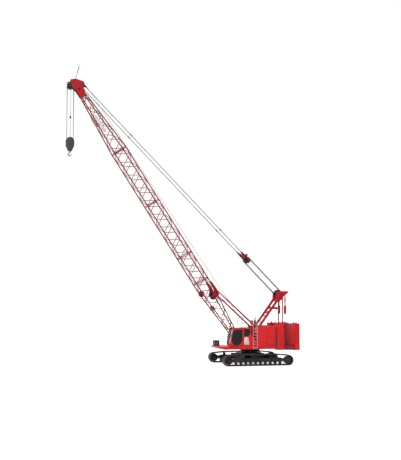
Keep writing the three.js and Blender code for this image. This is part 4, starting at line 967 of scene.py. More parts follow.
def chassis():
    c = carbody
    halfX, halfY, bottom, top = c["core"]
    cut = c["corner"]
    piece = openPiece("carbodyFrame")
    plan = [(-halfX, -halfY + cut), (-halfX + cut, -halfY), (halfX - cut, -halfY), (halfX, -halfY + cut)]
    plan += [(halfX, halfY - cut), (halfX - cut, halfY), (-halfX + cut, halfY), (-halfX, halfY - cut)]
    plate(plan, bottom, top - 0.03, "Z", 0.014)
    wider = [(x * 1.0, y * 1.0) for x, y in plan]
    plate(wider, top - 0.028, top, "Z", 0.006)
    low, high = c["beamX"]
    base, crown = c["beamZ"]
    for end in (-1, 1):
        a, b = sorted((end * low, end * high))
        box((a + 0.03, -c["beamReach"], base + 0.02), (b - 0.03, c["beamReach"], crown - 0.02), 0.012)
        for z in (base, crown):
            z0, z1 = sorted((z, z + (0.024 if z == base else -0.024)))
            box((a, -c["beamReach"], z0), (b, c["beamReach"], z1), 0.005)
        for side in (-1, 1):
            near, far = sorted((side * (c["beamReach"] - 0.035), side * c["beamReach"]))
            box((a - 0.03, near, base - 0.03), (b + 0.03, far, crown + 0.03), 0.008)
            for x in (a + 0.02, b - 0.02):
                for z in (base + 0.05, crown - 0.05):
                    rod((x, side * (c["beamReach"] - 0.06), z), (x, side * (c["beamReach"] - 0.03), z), 0.022, 6)
            gusset = [(side * 1.10, crown - 0.03), (side * 1.72, crown - 0.03), (side * 1.10, top - 0.02)]
            for x in ((a + b) / 2 - 0.16, (a + b) / 2 + 0.16):
                plate(gusset, x - 0.012, x + 0.012, "X")
    collar = [(0.30, top - 0.02), (c["collarRadius"], top - 0.02), (c["collarRadius"], top + 0.02)]
    collar += [(c["collarRadius"] - 0.05, top + 0.045), (c["collarRadius"] - 0.05, c["collarTop"] - 0.045)]
    collar += [(c["collarRadius"], c["collarTop"] - 0.02), (c["collarRadius"], c["collarTop"]), (0.30, c["collarTop"])]
    turned(collar, (0, 0, 0), "Z", 56)
    for k in range(12):
        turn = math.tau * (k + 0.5) / 12
        spot = Vector((math.cos(turn), math.sin(turn), 0))
        rod(spot * 0.83 + Vector((0, 0, top + 0.03)), spot * 0.83 + Vector((0, 0, 1.20)), 0.022, 8)
    for side in (-1, 1):
        for end in (-1, 1):
            centre = (end * 0.42, side * (halfY + 0.001), 0.80)
            rod(centre, (centre[0], centre[1] + side * 0.03, centre[2]), 0.12, 24)
            ringOfBolts((centre[0], centre[1] + side * 0.03, 0.80), 0.09, 8, 0.012, "Y", side * 0.012)
    for end in (-1, 1):
        rod((end * halfX, 0, 0.82), (end * (halfX + 0.05), 0, 0.82), 0.17, 28)
        ringOfBolts((end * (halfX + 0.05), 0, 0.82), 0.13, 10, 0.013, "X", end * 0.012)
    piece = closePiece(smooth=34)
    finishPiece(piece, "undercarriage", "black_paint", "chassisBlack", "carbody")


def slewingRing():
    c = carbody
    piece = openPiece("slewBearing")
    z0, z1 = c["ringBottom"], c["ringTop"]
    shape = [(0.40, z0), (c["neck"], z0), (c["neck"], z0 + 0.035), (c["neck"] + 0.02, z0 + 0.045)]
    shape += [(c["rim"] - 0.035, z1 - 0.095), (c["rim"], z1 - 0.080), (c["rim"], z1 - 0.045)]
    shape += [(c["rim"] - 0.015, z1 - 0.040), (c["rim"] - 0.015, z1 - 0.032), (c["rim"], z1 - 0.027)]
    shape += [(c["rim"], z1), (0.40, z1)]
    turned(shape, (0, 0, 0), "Z", 72)
    for k in range(c["bolts"]):
        turn = math.tau * k / c["bolts"]
        spot = Vector((math.cos(turn), math.sin(turn), 0))
        reach = spot * 0.985
        rod(reach + Vector((0, 0, z1 - 0.150)), reach + Vector((0, 0, z1 - 0.10)), 0.017, 6)
    piece = closePiece(smooth=30)
    finishPiece(piece, "undercarriage", "black_paint", "sheaveSteel", "slew_ring")


chassis()
slewingRing()
print("carbody built")

# ---- rotating bed and deck

deck = {
    "bottom": 1.52,
    "top": 1.72,
    "front": 1.6,
    "rear": -2.33,
    "halfWidth": 1.58,
    "platformTop": 1.80,
    "platformFront": 3.60,
    "platformHalfWidth": 1.55,
    "noseStart": 3.15,
}


def rotatingBed():
    bed = softened("rotating_bed", "bedFrame", 0.009)
    finishPiece(bed, "upper", "red_paint", "craneRed", "rotating_bed")
    piece = openPiece("bedFittings")
    d = deck
    for side in (-1, 1):
        outer = side * (d["halfWidth"] + 0.012)
        low, high = sorted((side * (d["halfWidth"] - 0.02), outer))
        box((d["rear"] + 0.02, low, d["bottom"] + 0.004), (d["front"], high, d["bottom"] + 0.035), 0.004)
        eye = side * (boomFootHalf + 0.115)
        cap = [(0.004, 0.0), (0.115, 0.0), (0.125, 0.008), (0.125, 0.03), (0.112, 0.042), (0.004, 0.046)]
        centre = (boomFoot.x, eye, boomFoot.z)
        turned([(r, side * y) for r, y in cap], centre, "Y", 32)
        ringOfBolts((boomFoot.x, eye + side * 0.042, boomFoot.z), 0.085, 6, 0.012, "Y", side * 0.010)
        for x in (boomFoot.x - 0.22, boomFoot.x + 0.22):
            low, high = sorted((side * (boomFootHalf + 0.115), side * (boomFootHalf + 0.27)))
            gusset = [(low if side > 0 else high, 1.72), (high if side > 0 else low, 1.72)]
            gusset.append((low if side > 0 else high, 1.90))
            plate(gusset, x - 0.012, x + 0.012, "X")
    for x in (-0.26, -1.24, -2.05):
        for side in (-1, 1):
            face = side * 0.572
            hub = [(0.004, 0.0), (0.150, 0.0), (0.160, 0.010), (0.160, 0.035), (0.110, 0.050), (0.004, 0.055)]
            turned([(r, side * y) for r, y in hub], (x, face, 2.24), "Y", 28)
            ringOfBolts((x, face + side * 0.036, 2.24), 0.135, 10, 0.010, "Y", side * 0.010)
    for x in (-2.9, -3.4):
        box((x - 0.015, -0.785, 1.56), (x + 0.015, 0.785, 1.86), 0.004)
    piece = closePiece(smooth=32)
    finishPiece(piece, "upper", "red_paint", "craneRed")


boomFootHalf = 0.445


def frontDeck():
    d = deck
    side = [(d["front"] + 0.0003, d["bottom"]), (d["noseStart"] - 0.10, d["bottom"]), (d["noseStart"], 1.602)]
    for k in range(13):
        turn = -math.pi / 2 + math.pi * k / 12
        side.append((d["platformFront"] - 0.1 + 0.1 * math.cos(turn), 1.70 + 0.1 * math.sin(turn)))
    side.append((d["front"] + 0.0003, d["platformTop"]))
    piece = openPiece("frontDeck")
    plate(side, -d["platformHalfWidth"], d["platformHalfWidth"], "Y")
    piece = closePiece(0.007)
    finishPiece(piece, "upper", "red_paint", "craneRed", "front_platform")
    tread = openPiece("frontDeckTread")
    top = d["platformTop"]
    panels = [(1.66, 2.30, -1.50, -0.55), (2.34, 2.95, -1.50, -0.55), (2.68, 3.42, -0.35, 1.50), (1.66, 2.62, -0.35, 0.55)]
    for x0, x1, y0, y1 in panels:
        box((x0, y0, top + 0.0005), (x1, y1, top + 0.005), 0.002, 1)
        rows = int((x1 - x0) / 0.10)
        columns = int((y1 - y0) / 0.10)
        for i in range(rows):
            for j in range(columns):
                x = x0 + (i + 0.5) * (x1 - x0) / rows
                y = y0 + (j + 0.5) * (y1 - y0) / columns
                lean = 0.020 if (i + j) % 2 else -0.020
                bar = [(x - 0.022, y - lean), (x, y - lean + 0.007), (x + 0.022, y + lean), (x, y + lean - 0.007)]
                plate(bar, top + 0.004, top + 0.008, "Z")
    tread = closePiece(smooth=30)
    finishPiece(tread, "upper", "red_paint", "craneRed")
    trim = openPiece("deckTrim")
    for side in (-1, 1):
        low, high = sorted((side * 1.545, side * 1.562))
        box((1.62, low, 1.60), (3.46, high, 1.78), 0.005)
        for x in (1.9, 2.5, 3.1):
            rod((x, side * 1.560, 1.69), (x, side * 1.572, 1.69), 0.014, 6)
    for y in (-1.1, 1.1):
        rod((3.55, y, 1.70), (3.625, y, 1.70), 0.05, 16)
    trim = closePiece(smooth=32)
    finishPiece(trim, "upper", "red_paint", "craneRed")


rotatingBed()
frontDeck()
print("deck built")


# ---- machinery houses

house = {
    "front": -0.25,
    "rear": -2.30,
    "outer": 1.60,
    "inner": 0.80,
    "top": 3.77,
    "doorX": (-2.20, -1.30),
    "doorZ": (1.86, 3.60),
}


def machineryHouse(side, name, node):
    h = house
    shell = softened(node, name, 0.014)
    finishPiece(shell, "upper", "red_paint", "craneRed", node)
    piece = openPiece(name + "Panels")
    face = side * h["outer"]
    low, high = sorted((face, face + side * 0.006))
    # seams of the side sheets, roof lids and their catches
    for z0, z1 in ((1.80, 2.02), (2.04, 3.68)):
        box((-1.22, low, z0), (-0.31, high, z1), 0.003, 1)
    low, high = sorted((side * 0.88, side * 1.54))
    for x0, x1 in ((-2.22, -1.60), (-1.56, -0.95)):
        box((x0, low, h["top"] - 0.002), (x1, high, h["top"] + 0.022), 0.007)
        box(((x0 + x1) / 2 - 0.06, side * 1.50 - 0.03, h["top"] + 0.02), ((x0 + x1) / 2 + 0.06, side * 1.50 + 0.03, h["top"] + 0.035), 0.004)
    for x, inset in ((-2.27, 0.92), (-2.27, 1.52), (-0.28, 1.52)):
        for y in (inset,):
            ring = [Vector((x, side * y + 0.035 * math.cos(t), h["top"] + 0.035 * math.sin(t))) for t in
                    (0.0, 0.52, 1.05, 1.57, 2.09, 2.62, 3.14)]
            for a, b in zip(ring, ring[1:]):
                rod(a, b, 0.009, 8)
    piece = closePiece(smooth=32)
    finishPiece(piece, "upper", "red_paint", "craneRed")
    # a black strip between the house and the ballast: painted shadow that widens the dark gap between them
    piece = openPiece(name + "Seal")
    low, high = sorted((face - side * 0.010, face + side * 0.004))
    box((h["rear"] - 0.045, low, 1.80), (h["rear"] + 0.085, high, h["top"] - 0.06), 0.003)
    piece = closePiece(smooth=32)
    finishPiece(piece, "upper", "black_paint", "softRubber")


def louvres(name, x0, x1, z0, z1, side, count):
    # a framed panel of slanted blades on a house side
    piece = openPiece(name)
    face = side * house["outer"]
    low, high = sorted((face + side * 0.001, face + side * 0.022))
    for a, b, c, d in ((x0, x1, z0, z0 + 0.03), (x0, x1, z1 - 0.03, z1), (x0, x0 + 0.03, z0, z1), (x1 - 0.03, x1, z0, z1)):
        box((a, low, c), (b, high, d), 0.003, 1)
    for k in range(count):
        z = z0 + 0.05 + (z1 - z0 - 0.10) * k / (count - 1)
        blade = [(face + side * 0.001, z + 0.018), (face + side * 0.019, z - 0.006), (face + side * 0.021, z - 0.002), (face + side * 0.004, z + 0.022)]
        plate(blade, x0 + 0.03, x1 - 0.03, "X")
    piece = closePiece(smooth=32)
    finishPiece(piece, "upper", "black_paint", "chassisBlack")


def houseDoor(side, name, node, body):
    h = house
    door = softened(node, name, 0.006)
    finishPiece(door, body, "red_paint", "craneRed", node)
    piece = openPiece(name + "Panels")
    face = side * h["outer"]
    x0, x1 = h["doorX"]
    z0, z1 = h["doorZ"]
    low, high = sorted((face - side * 0.002, face + side * 0.008))
    for a, b in ((z0 + 0.09, z0 + 0.80), (z0 + 0.86, z1 - 0.09)):
        box((x0 + 0.09, low, a), (x1 - 0.15, high, b), 0.004)
    piece = closePiece(smooth=32)
    finishPiece(piece, body, "red_paint", "craneRed")
    piece = openPiece(name + "Catch")
    grip = [(x0 + 0.045, face + side * 0.004, 2.62), (x0 + 0.045, face + side * 0.045, 2.64), (x0 + 0.045, face + side * 0.045, 2.80), (x0 + 0.045, face + side * 0.004, 2.82)]
    path = bent(grip, 0.02, 4)
    for a, b in zip(path, path[1:]):
        rod(a, b, 0.009, 10)
    for z in (2.61, 2.83):
        low, high = sorted((face - side * 0.002, face + side * 0.012))
        box((x0 + 0.02, low, z - 0.03), (x0 + 0.07, high, z + 0.03), 0.004)
    piece = closePiece(smooth=32)
    finishPiece(piece, body, "black_paint", "chassisBlack")


def roofFittings():
    # exhaust stack with its rain flap and an air cleaner, on the right house
    piece = openPiece("exhaustStack")
    x, y, z = -0.95, -1.20, house["top"]
    can = [(0.03, 0.0), (0.13, 0.0), (0.14, 0.02), (0.14, 0.44), (0.11, 0.50), (0.055, 0.54), (0.055, 0.80), (0.045, 0.80), (0.045, 0.02), (0.03, 0.02)]
    turned(can, (x, y, z), "Z", 32)
    for k in range(3):
        collar = [(0.138, 0.08 + 0.13 * k), (0.150, 0.08 + 0.13 * k), (0.150, 0.10 + 0.13 * k), (0.138, 0.10 + 0.13 * k)]
        turned(collar, (x, y, z), "Z", 32)
    flap = [(x + 0.062 * math.cos(t), y + 0.062 * math.sin(t)) for t in [math.tau * k / 24 for k in range(24)]]
    plate(flap, z + 0.806, z + 0.814, "Z")
    box((x - 0.09, y - 0.012, z + 0.795), (x - 0.05, y + 0.012, z + 0.83), 0.003)
    piece = closePiece(0.002, 1, 32)
    finishPiece(piece, "upper", "dark_steel", "engineSteel")
    piece = openPiece("airCleaner")
    x = -0.60
    body = [(0.02, 0.0), (0.06, 0.0), (0.06, 0.10), (0.15, 0.13), (0.16, 0.15), (0.16, 0.36), (0.14, 0.40), (0.09, 0.42), (0.02, 0.42)]
    turned(body, (x, y, z), "Z", 32)
    cap = [(0.02, 0.43), (0.10, 0.43), (0.20, 0.45), (0.20, 0.47), (0.12, 0.52), (0.02, 0.53)]
    turned(cap, (x, y, z), "Z", 32)
    piece = closePiece(0.003, 1, 34)
    finishPiece(piece, "upper", "black_paint", "chassisBlack")


machineryHouse(1, "leftHouse", "machinery_house_left")
machineryHouse(-1, "rightHouse", "machinery_house_right")
houseDoor(1, "leftHouseDoor", "house_door_left", "house_door_left")
houseDoor(-1, "rightHouseDoor", "house_door_right", "house_door_right")
louvres("rightCoolerLouvres", -1.16, -0.36, 2.20, 3.50, -1, 18)
roofFittings()
print("houses built")


# ---- engine, tank and toolbox

def engine():
    low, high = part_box("engine_block")
    piece = openPiece("engineAssembly")
    x0, y0, z0 = low
    x1, y1, z1 = high
    middle = (y0 + y1) / 2
    box((x0 + 0.06, y0 + 0.10, z0 + 0.16), (x1 - 0.10, y1 - 0.10, z1 - 0.22), 0.02)
    sump = [(x0 + 0.12, z0 + 0.06), (x1 - 0.18, z0 + 0.06), (x1 - 0.12, z0 + 0.18), (x0 + 0.08, z0 + 0.18)]
    plate(sump, y0 + 0.14, y1 - 0.14, "Y", 0.01)
    for y in (middle - 0.10, middle + 0.10):
        box((x0 + 0.12, y - 0.065, z1 - 0.23), (x1 - 0.16, y + 0.065, z1 - 0.13), 0.018)
        for k in range(6):
            x = x0 + 0.20 + k * (x1 - x0 - 0.44) / 5
            rod((x, y, z1 - 0.14), (x, y, z1 - 0.11), 0.018, 6)
    for side in (-1, 1):
        manifold = [(x0 + 0.15, middle + side * 0.20, z1 - 0.30), (x1 - 0.2, middle + side * 0.20, z1 - 0.30)]
        rod(*manifold, 0.045, 16)
        for k in range(6):
            x = x0 + 0.22 + k * (x1 - x0 - 0.48) / 5
            rod((x, middle + side * 0.20, z1 - 0.30), (x, middle + side * 0.14, z1 - 0.24), 0.028, 10)
    rod((x1 - 0.10, middle, z0 + 0.45), (x1 - 0.02, middle, z0 + 0.45), 0.15, 28)
    rod((x1 - 0.09, middle + 0.14, z1 - 0.30), (x1 - 0.02, middle + 0.14, z1 - 0.30), 0.07, 24)
    turned([(0.04, 0.0), (0.11, 0.0), (0.13, 0.03), (0.13, 0.07), (0.08, 0.10), (0.04, 0.10)], (x0 + 0.30, middle - 0.02, z1 - 0.12), "Z", 24)
    for x in (x0 + 0.15, x1 - 0.25):
        for y in (y0 + 0.02, y1 - 0.12):
            box((x, y, z0 + 0.001), (x + 0.12, y + 0.10, z0 + 0.20), 0.008)
    piece = closePiece(smooth=34)
    finishPiece(piece, "upper", "dark_steel", "engineSteel", "engine_block")


def fuelTank():
    low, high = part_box("fuel_tank")
    piece = openPiece("fuelTankBody")
    ends = [(low.y, low.z), (high.y, low.z), (high.y, high.z), (low.y, high.z)]
    plate(rounded(ends, 0.07, 5), low.x + 0.004, high.x - 0.004, "X")
    piece = closePiece(0.012, 3)
    finishPiece(piece, "upper", "black_paint", "chassisBlack", "fuel_tank")
    piece = openPiece("fuelTankFittings")
    for x in (low.x + 0.22, high.x - 0.22):
        band = [(low.y - 0.004, low.z), (high.y + 0.004, low.z), (high.y + 0.004, high.z + 0.005), (low.y - 0.004, high.z + 0.005)]
        plate(rounded(band, 0.074, 5), x - 0.03, x + 0.03, "X")
    filler = [(0.01, -0.01), (0.055, -0.01), (0.055, 0.03), (0.068, 0.032), (0.070, 0.065), (0.060, 0.075), (0.01, 0.078)]
    turned(filler, (high.x - 0.18, low.y + 0.18, high.z), "Z", 24)
    box((low.x + 0.30, low.y - 0.008, low.z + 0.15), (low.x + 0.34, low.y + 0.004, high.z - 0.15), 0.003)
    piece = closePiece(0.002, 1, 34)
    finishPiece(piece, "upper", "dark_steel", "sheaveSteel")


def toolboxes():
    box_ = softened("toolbox", "toolboxBody", 0.008)
    finishPiece(box_, "upper", "black_paint", "chassisBlack", "toolbox")
    lid = softened("toolbox_lid", "toolboxLid", 0.006)
    finishPiece(lid, "toolbox_lid", "black_paint", "chassisBlack", "toolbox_lid")
    low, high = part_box("toolbox")
    piece = openPiece("toolboxFittings")
    middle = (low.y + high.y) / 2
    for y in (low.y - 0.004, high.y - 0.010):
        for z in (low.z + 0.02,):
            box((low.x + 0.06, y, z + 0.05), (high.x - 0.06, y + 0.014, high.z - 0.08), 0.004)
    box((high.x - 0.004, low.y + 0.06, low.z + 0.07), (high.x + 0.008, high.y - 0.06, high.z - 0.07), 0.004)
    for y in (middle - 0.28, middle + 0.28):
        box((high.x + 0.004, y - 0.03, high.z - 0.10), (high.x + 0.020, y + 0.03, high.z - 0.03), 0.004)
        path = bent([(high.x + 0.008, y - 0.05, low.z + 0.25), (high.x + 0.045, y - 0.05, low.z + 0.25), (high.x + 0.045, y + 0.05, low.z + 0.25), (high.x + 0.008, y + 0.05, low.z + 0.25)], 0.015, 3)
        for a, b in zip(path, path[1:]):
            rod(a, b, 0.007, 8)
    piece = closePiece(smooth=34)
    finishPiece(piece, "upper", "dark_steel", "engineSteel")


engine()
fuelTank()
toolboxes()
print("engine, tank and toolbox built")


# ---- counterweight

ballast = {
    "slabs": 4,
    "gap": 0.008,
    "edge": 0.016,
    "front": -2.36,
    "cheekRear": -3.15,
    "flankRear": -4.0,
    "rear": -4.5,
    "inner": 0.95,
    "cheek": 1.60,
    "halfWidth": 2.30,
    "top": 4.05,
    "slabTop": 1.90,
}


def ballastPlan(inner):
    b = ballast
    start = Vector((b["cheekRear"], b["cheek"]))
    pull = Vector((b["flankRear"] + 0.12, b["cheek"] + 0.08))
    end = Vector((b["flankRear"], b["halfWidth"]))
    flank = [tuple(start * (1 - t) ** 2 + pull * 2 * t * (1 - t) + end * t * t) for t in [k / 14 for k in range(15)]]
    plan = [(b["front"], inner), (b["front"], b["cheek"])] + flank
    return plan + [(b["rear"], b["halfWidth"]), (b["rear"], inner)]


def counterweights():
    b = ballast
    slab = softened("counterweight_slab", "ballastTray", 0.016)
    finishPiece(slab, "upper", "ballast_red", "ballastRed", "counterweight_slab")
    piece = openPiece("ballastStackLeft")
    height = (b["top"] - b["slabTop"]) / b["slabs"]
    for k in range(b["slabs"]):
        low = b["slabTop"] + 0.0005 + k * height
        plate(ballastPlan(b["inner"]), low, low + height - (b["gap"] if k < b["slabs"] - 1 else 0.0005), "Z")
    core = [(x * 1.0, y) for x, y in [(b["front"] + 0.03, b["inner"] + 0.03), (b["front"] + 0.03, 1.57), (-3.2, 1.57), (-3.95, 2.2), (-4.47, 2.27), (-4.47, b["inner"] + 0.03)]]
    plate(core, b["slabTop"] + 0.02, b["top"] - 0.02, "Z")
    left = closePiece(b["edge"], 2, 32)
    right = copyOf(left, "ballastStackRight", acrossMiddle)
    finishPiece(left, "upper", "ballast_red", "ballastRed", "counterweight_left")
    finishPiece(right, "upper", "ballast_red", "ballastRed", "counterweight_right")
    piece = openPiece("ballastFittings")
    for side in (-1, 1):
        for x, y in ((-2.75, 1.28), (-4.22, 1.25), (-4.22, 2.0)):
            base = (x, side * y, b["top"])
            box((x - 0.11, side * y - 0.07, b["top"] - 0.001), (x + 0.11, side * y + 0.07, b["top"] + 0.014), 0.005)
            lug = [(x - 0.09, b["top"] + 0.01), (x + 0.09, b["top"] + 0.01), (x + 0.06, b["top"] + 0.12), (x - 0.06, b["top"] + 0.12)]
            plate(rounded(lug, [0, 0, 0.05, 0.05], 4), side * y - 0.02, side * y + 0.02, "Y")
            turned([(0.045, -0.028), (0.030, -0.028), (0.030, 0.028), (0.045, 0.028)], (x, side * y, b["top"] + 0.065), "Y", 20)
        for z in (2.2, 3.6):
            for y in (1.15, 2.05):
                box((b["rear"] - 0.0, side * y - 0.05, z - 0.18), (b["rear"] + 0.006, side * y + 0.05, z + 0.18), 0.002)
                for dz in (-0.13, 0.13):
                    rod((b["rear"] + 0.012, side * y, z + dz), (b["rear"] - 0.001, side * y, z + dz), 0.02, 6)
        box((b["rear"] + 0.10, side * 1.0 - 0.06, 1.40), (b["front"] - 0.2, side * 1.0 + 0.06, 1.425), 0.005)
    piece = closePiece(smooth=34)
    finishPiece(piece, "upper", "ballast_red", "ballastRed")


counterweights()
print("counterweight built")

# ---- operator's cab

cab = {
    "rear": 0.35,
    "inner": 0.62,
    "outer": 1.60,
    "wall": 0.045,
    "floor": 1.85,
    "roof": 3.64,
    "nose": (2.62, 2.10),
    "brow": (2.32, 3.55),
    "sillFront": 2.48,
    "roofFront": 2.24,
    "doorRear": 1.16,
    "pillar": 0.12,
    "glass": 0.008,
    "seatMiddle": 1.11,
}


def screenX(z):
    (noseX, noseZ), (browX, browZ) = cab["nose"], cab["brow"]
    return noseX + (browX - noseX) * (z - noseZ) / (browZ - noseZ)


def insetBy(outline, distance):
    # an anticlockwise outline moved inwards all round
    moved = []
    for i, corner in enumerate(outline):
        here = Vector(corner)
        u = (here - Vector(outline[i - 1])).normalized()
        v = (Vector(outline[(i + 1) % len(outline)]) - here).normalized()
        shift = distance / (1 + u.dot(v))
        moved.append((here.x - (u.y + v.y) * shift, here.y + (u.x + v.x) * shift))
    return moved


def cabOutline():
    c = cab
    corners = [(c["rear"], c["floor"]), (c["sillFront"], c["floor"]), c["nose"], c["brow"]]
    corners += [(c["roofFront"], c["roof"]), (c["rear"] + 0.06, c["roof"]), (c["rear"], c["roof"] - 0.06)]
    return corners


def doorOutline(gap):
    c = cab
    low = c["floor"] + 0.07 + gap
    high = c["roof"] - c["pillar"] - gap
    turnZ = c["nose"][1]

    def front(z):
        return screenX(z) - c["pillar"] - gap

    rear = c["doorRear"] + gap
    corners = [(rear, low), (front(turnZ) - 0.09, low), (front(turnZ), turnZ)]
    return corners + [(front(high - 0.06), high - 0.06), (front(high - 0.06) - 0.06, high), (rear, high)]


def doorPane(gap=0.0):
    # one sweeping pane: deep at the front, drawn up behind
    c = cab
    low = c["floor"] + 0.09 + gap
    high = c["roof"] - c["pillar"] - 0.065 - gap
    front = [(screenX(z) - c["pillar"] - 0.065 - gap, z) for z in (2.36, 2.9, high - 0.16)]
    rear = c["doorRear"] + 0.075 + gap
    corners = [(rear, low + 0.42), (rear + 0.26, low + 0.04), (rear + 0.60, low), (front[0][0] - 0.26, low + 0.03)]
    corners += [front[0], front[1], front[2], (front[2][0] - 0.20, high), (rear, high)]
    return rounded(corners, [0.20, 0.16, 0.2, 0.28, 0.26, 0.3, 0.16, 0.14, 0.10], 5)


def rearPane(gap=0.0):
    c = cab
    corners = [(0.44 + gap, 3.02), (0.66, 2.80 + gap), (1.07 - gap, 2.80 + gap), (1.07 - gap, 3.52 - gap), (0.44 + gap, 3.52 - gap)]
    return rounded(corners, [0.10, 0.14, 0.06, 0.08, 0.08], 5)


def rightPane(gap=0.0):
    low = 2.50 + gap
    corners = [(0.60 + gap, low), (screenX(low) - 0.20 - gap, low), (screenX(3.42) - 0.16 - gap, 3.48 - gap), (0.60 + gap, 3.48 - gap)]
    return rounded(corners, 0.09, 5)


def cutAway(piece, cutter):
    holdOnly(piece)
    change = piece.modifiers.new("opening", "BOOLEAN")
    change.operation = "DIFFERENCE"
    change.solver = "EXACT"
    change.object = cutter
    bpy.ops.object.modifier_apply(modifier=change.name)
    bpy.data.objects.remove(cutter)


def solidPlate(name, outline, low, high, axis="Y"):
    openPiece(name)
    plate(outline, low, high, axis)
    return closePiece()


def screenOutline(gap, depth):
    low, high = 2.14 + gap, 3.51 - gap
    return [(screenX(low) - depth, low), (screenX(low) + 0.06, low), (screenX(high) + 0.06, high), (screenX(high) - depth, high)]


def frontFace(y0, y1, gap=0.0):
    # the windscreen's own outline, as it lies on the sloping front
    return rounded([(y0 + gap, 2.14 + gap), (y1 - gap, 2.14 + gap), (y1 - gap, 3.51 - gap), (y0 + gap, 3.51 - gap)], 0.09, 5)


def cabShell():
    c = cab
    outline = rounded(cabOutline(), [0.08, 0.14, 0.22, 0.20, 0.14, 0.04, 0.08], 6)
    shell = solidPlate("cabShell", outline, c["inner"], c["outer"])
    inside = insetBy(cabOutline(), c["wall"])
    cutAway(shell, solidPlate("hollow", rounded(inside, 0.10, 4), c["inner"] + c["wall"], c["outer"] - c["wall"]))
    wallLow, wallHigh = c["outer"] - c["wall"] - 0.01, c["outer"] + 0.02
    cutAway(shell, solidPlate("doorway", rounded(doorOutline(-0.005), [0.10, 0.16, 0.2, 0.12, 0.12, 0.06], 5), wallLow, wallHigh))
    cutAway(shell, solidPlate("sideOpening", rearPane(), wallLow, wallHigh))
    cutAway(shell, solidPlate("rightOpening", rightPane(), c["inner"] - 0.02, c["inner"] + c["wall"] + 0.01))
    screen = frontFace(c["inner"] + 0.072, c["outer"] - 0.072)
    cutAway(shell, solidPlate("screenOpening", screen, 2.18, 2.72, "X"))
    rear = rounded([(c["inner"] + 0.15, 2.80), (c["outer"] - 0.15, 2.80), (c["outer"] - 0.15, 3.48), (c["inner"] + 0.15, 3.48)], 0.08, 5)
    cutAway(shell, solidPlate("rearOpening", rear, c["rear"] - 0.02, c["rear"] + c["wall"] + 0.02, "X"))
    holdOnly(shell)
    softenEdges(shell, 0.007, 2, 40)
    bpy.ops.object.shade_smooth_by_angle(angle=math.radians(34))
    finishPiece(shell, "upper", "red_paint", "craneRed", "cab_shell")

    panes = openPiece("cabPanes")
    middle = c["outer"] - c["wall"] / 2
    plate(rearPane(0.001), middle - 0.004, middle + 0.004, "Y")
    middle = c["inner"] + c["wall"] / 2
    plate(rightPane(0.001), middle - 0.004, middle + 0.004, "Y")
    rearGlass = rounded([(c["inner"] + 0.151, 2.801), (c["outer"] - 0.151, 2.801), (c["outer"] - 0.151, 3.479), (c["inner"] + 0.151, 3.479)], 0.08, 5)
    plate(rearGlass, c["rear"] + 0.018, c["rear"] + 0.026, "X")
    panes = closePiece(smooth=34)
    finishPiece(panes, "upper", "tinted_glass", "cabGlass", "cab_rear_side_window", "cab_right_window")

    glass = openPiece("windscreenGlass")
    plate(frontFace(c["inner"] + 0.073, c["outer"] - 0.073, 0.001), 0.0, c["glass"], "X")
    for vert in wholeMesh().verts:
        vert.co.x += screenX(vert.co.z) - 0.030
    showMesh()
    glass = closePiece(smooth=34)
    finishPiece(glass, "upper", "tinted_glass", "cabGlass", "windscreen")


def gasket(outer, inner, low, high, axis="Y"):
    # a ring of rubber between two like outlines
    bpy.ops.mesh.primitive_circle_add(vertices=len(outer), radius=1)
    rim = sorted(picked(), key=lambda vert: vert.index)

    def spot(point, depth):
        a, b = point
        return {"Y": (a, depth, b), "X": (depth, a, b)}[axis]

    for vert, point in zip(rim, outer):
        vert.co = spot(point, low)
    mesh = wholeMesh()
    showMesh()
    loops = [rim]
    for points, depth in ((outer, high), (inner, high), (inner, low)):
        loops.append([mesh.verts.new(spot(point, depth)) for point in points])
    count = len(outer)
    for a, b in zip(loops, loops[1:] + loops[:1]):
        for i in range(count):
            j = (i + 1) % count
            mesh.faces.new((a[i], a[j], b[j], b[i]))
    showMesh()


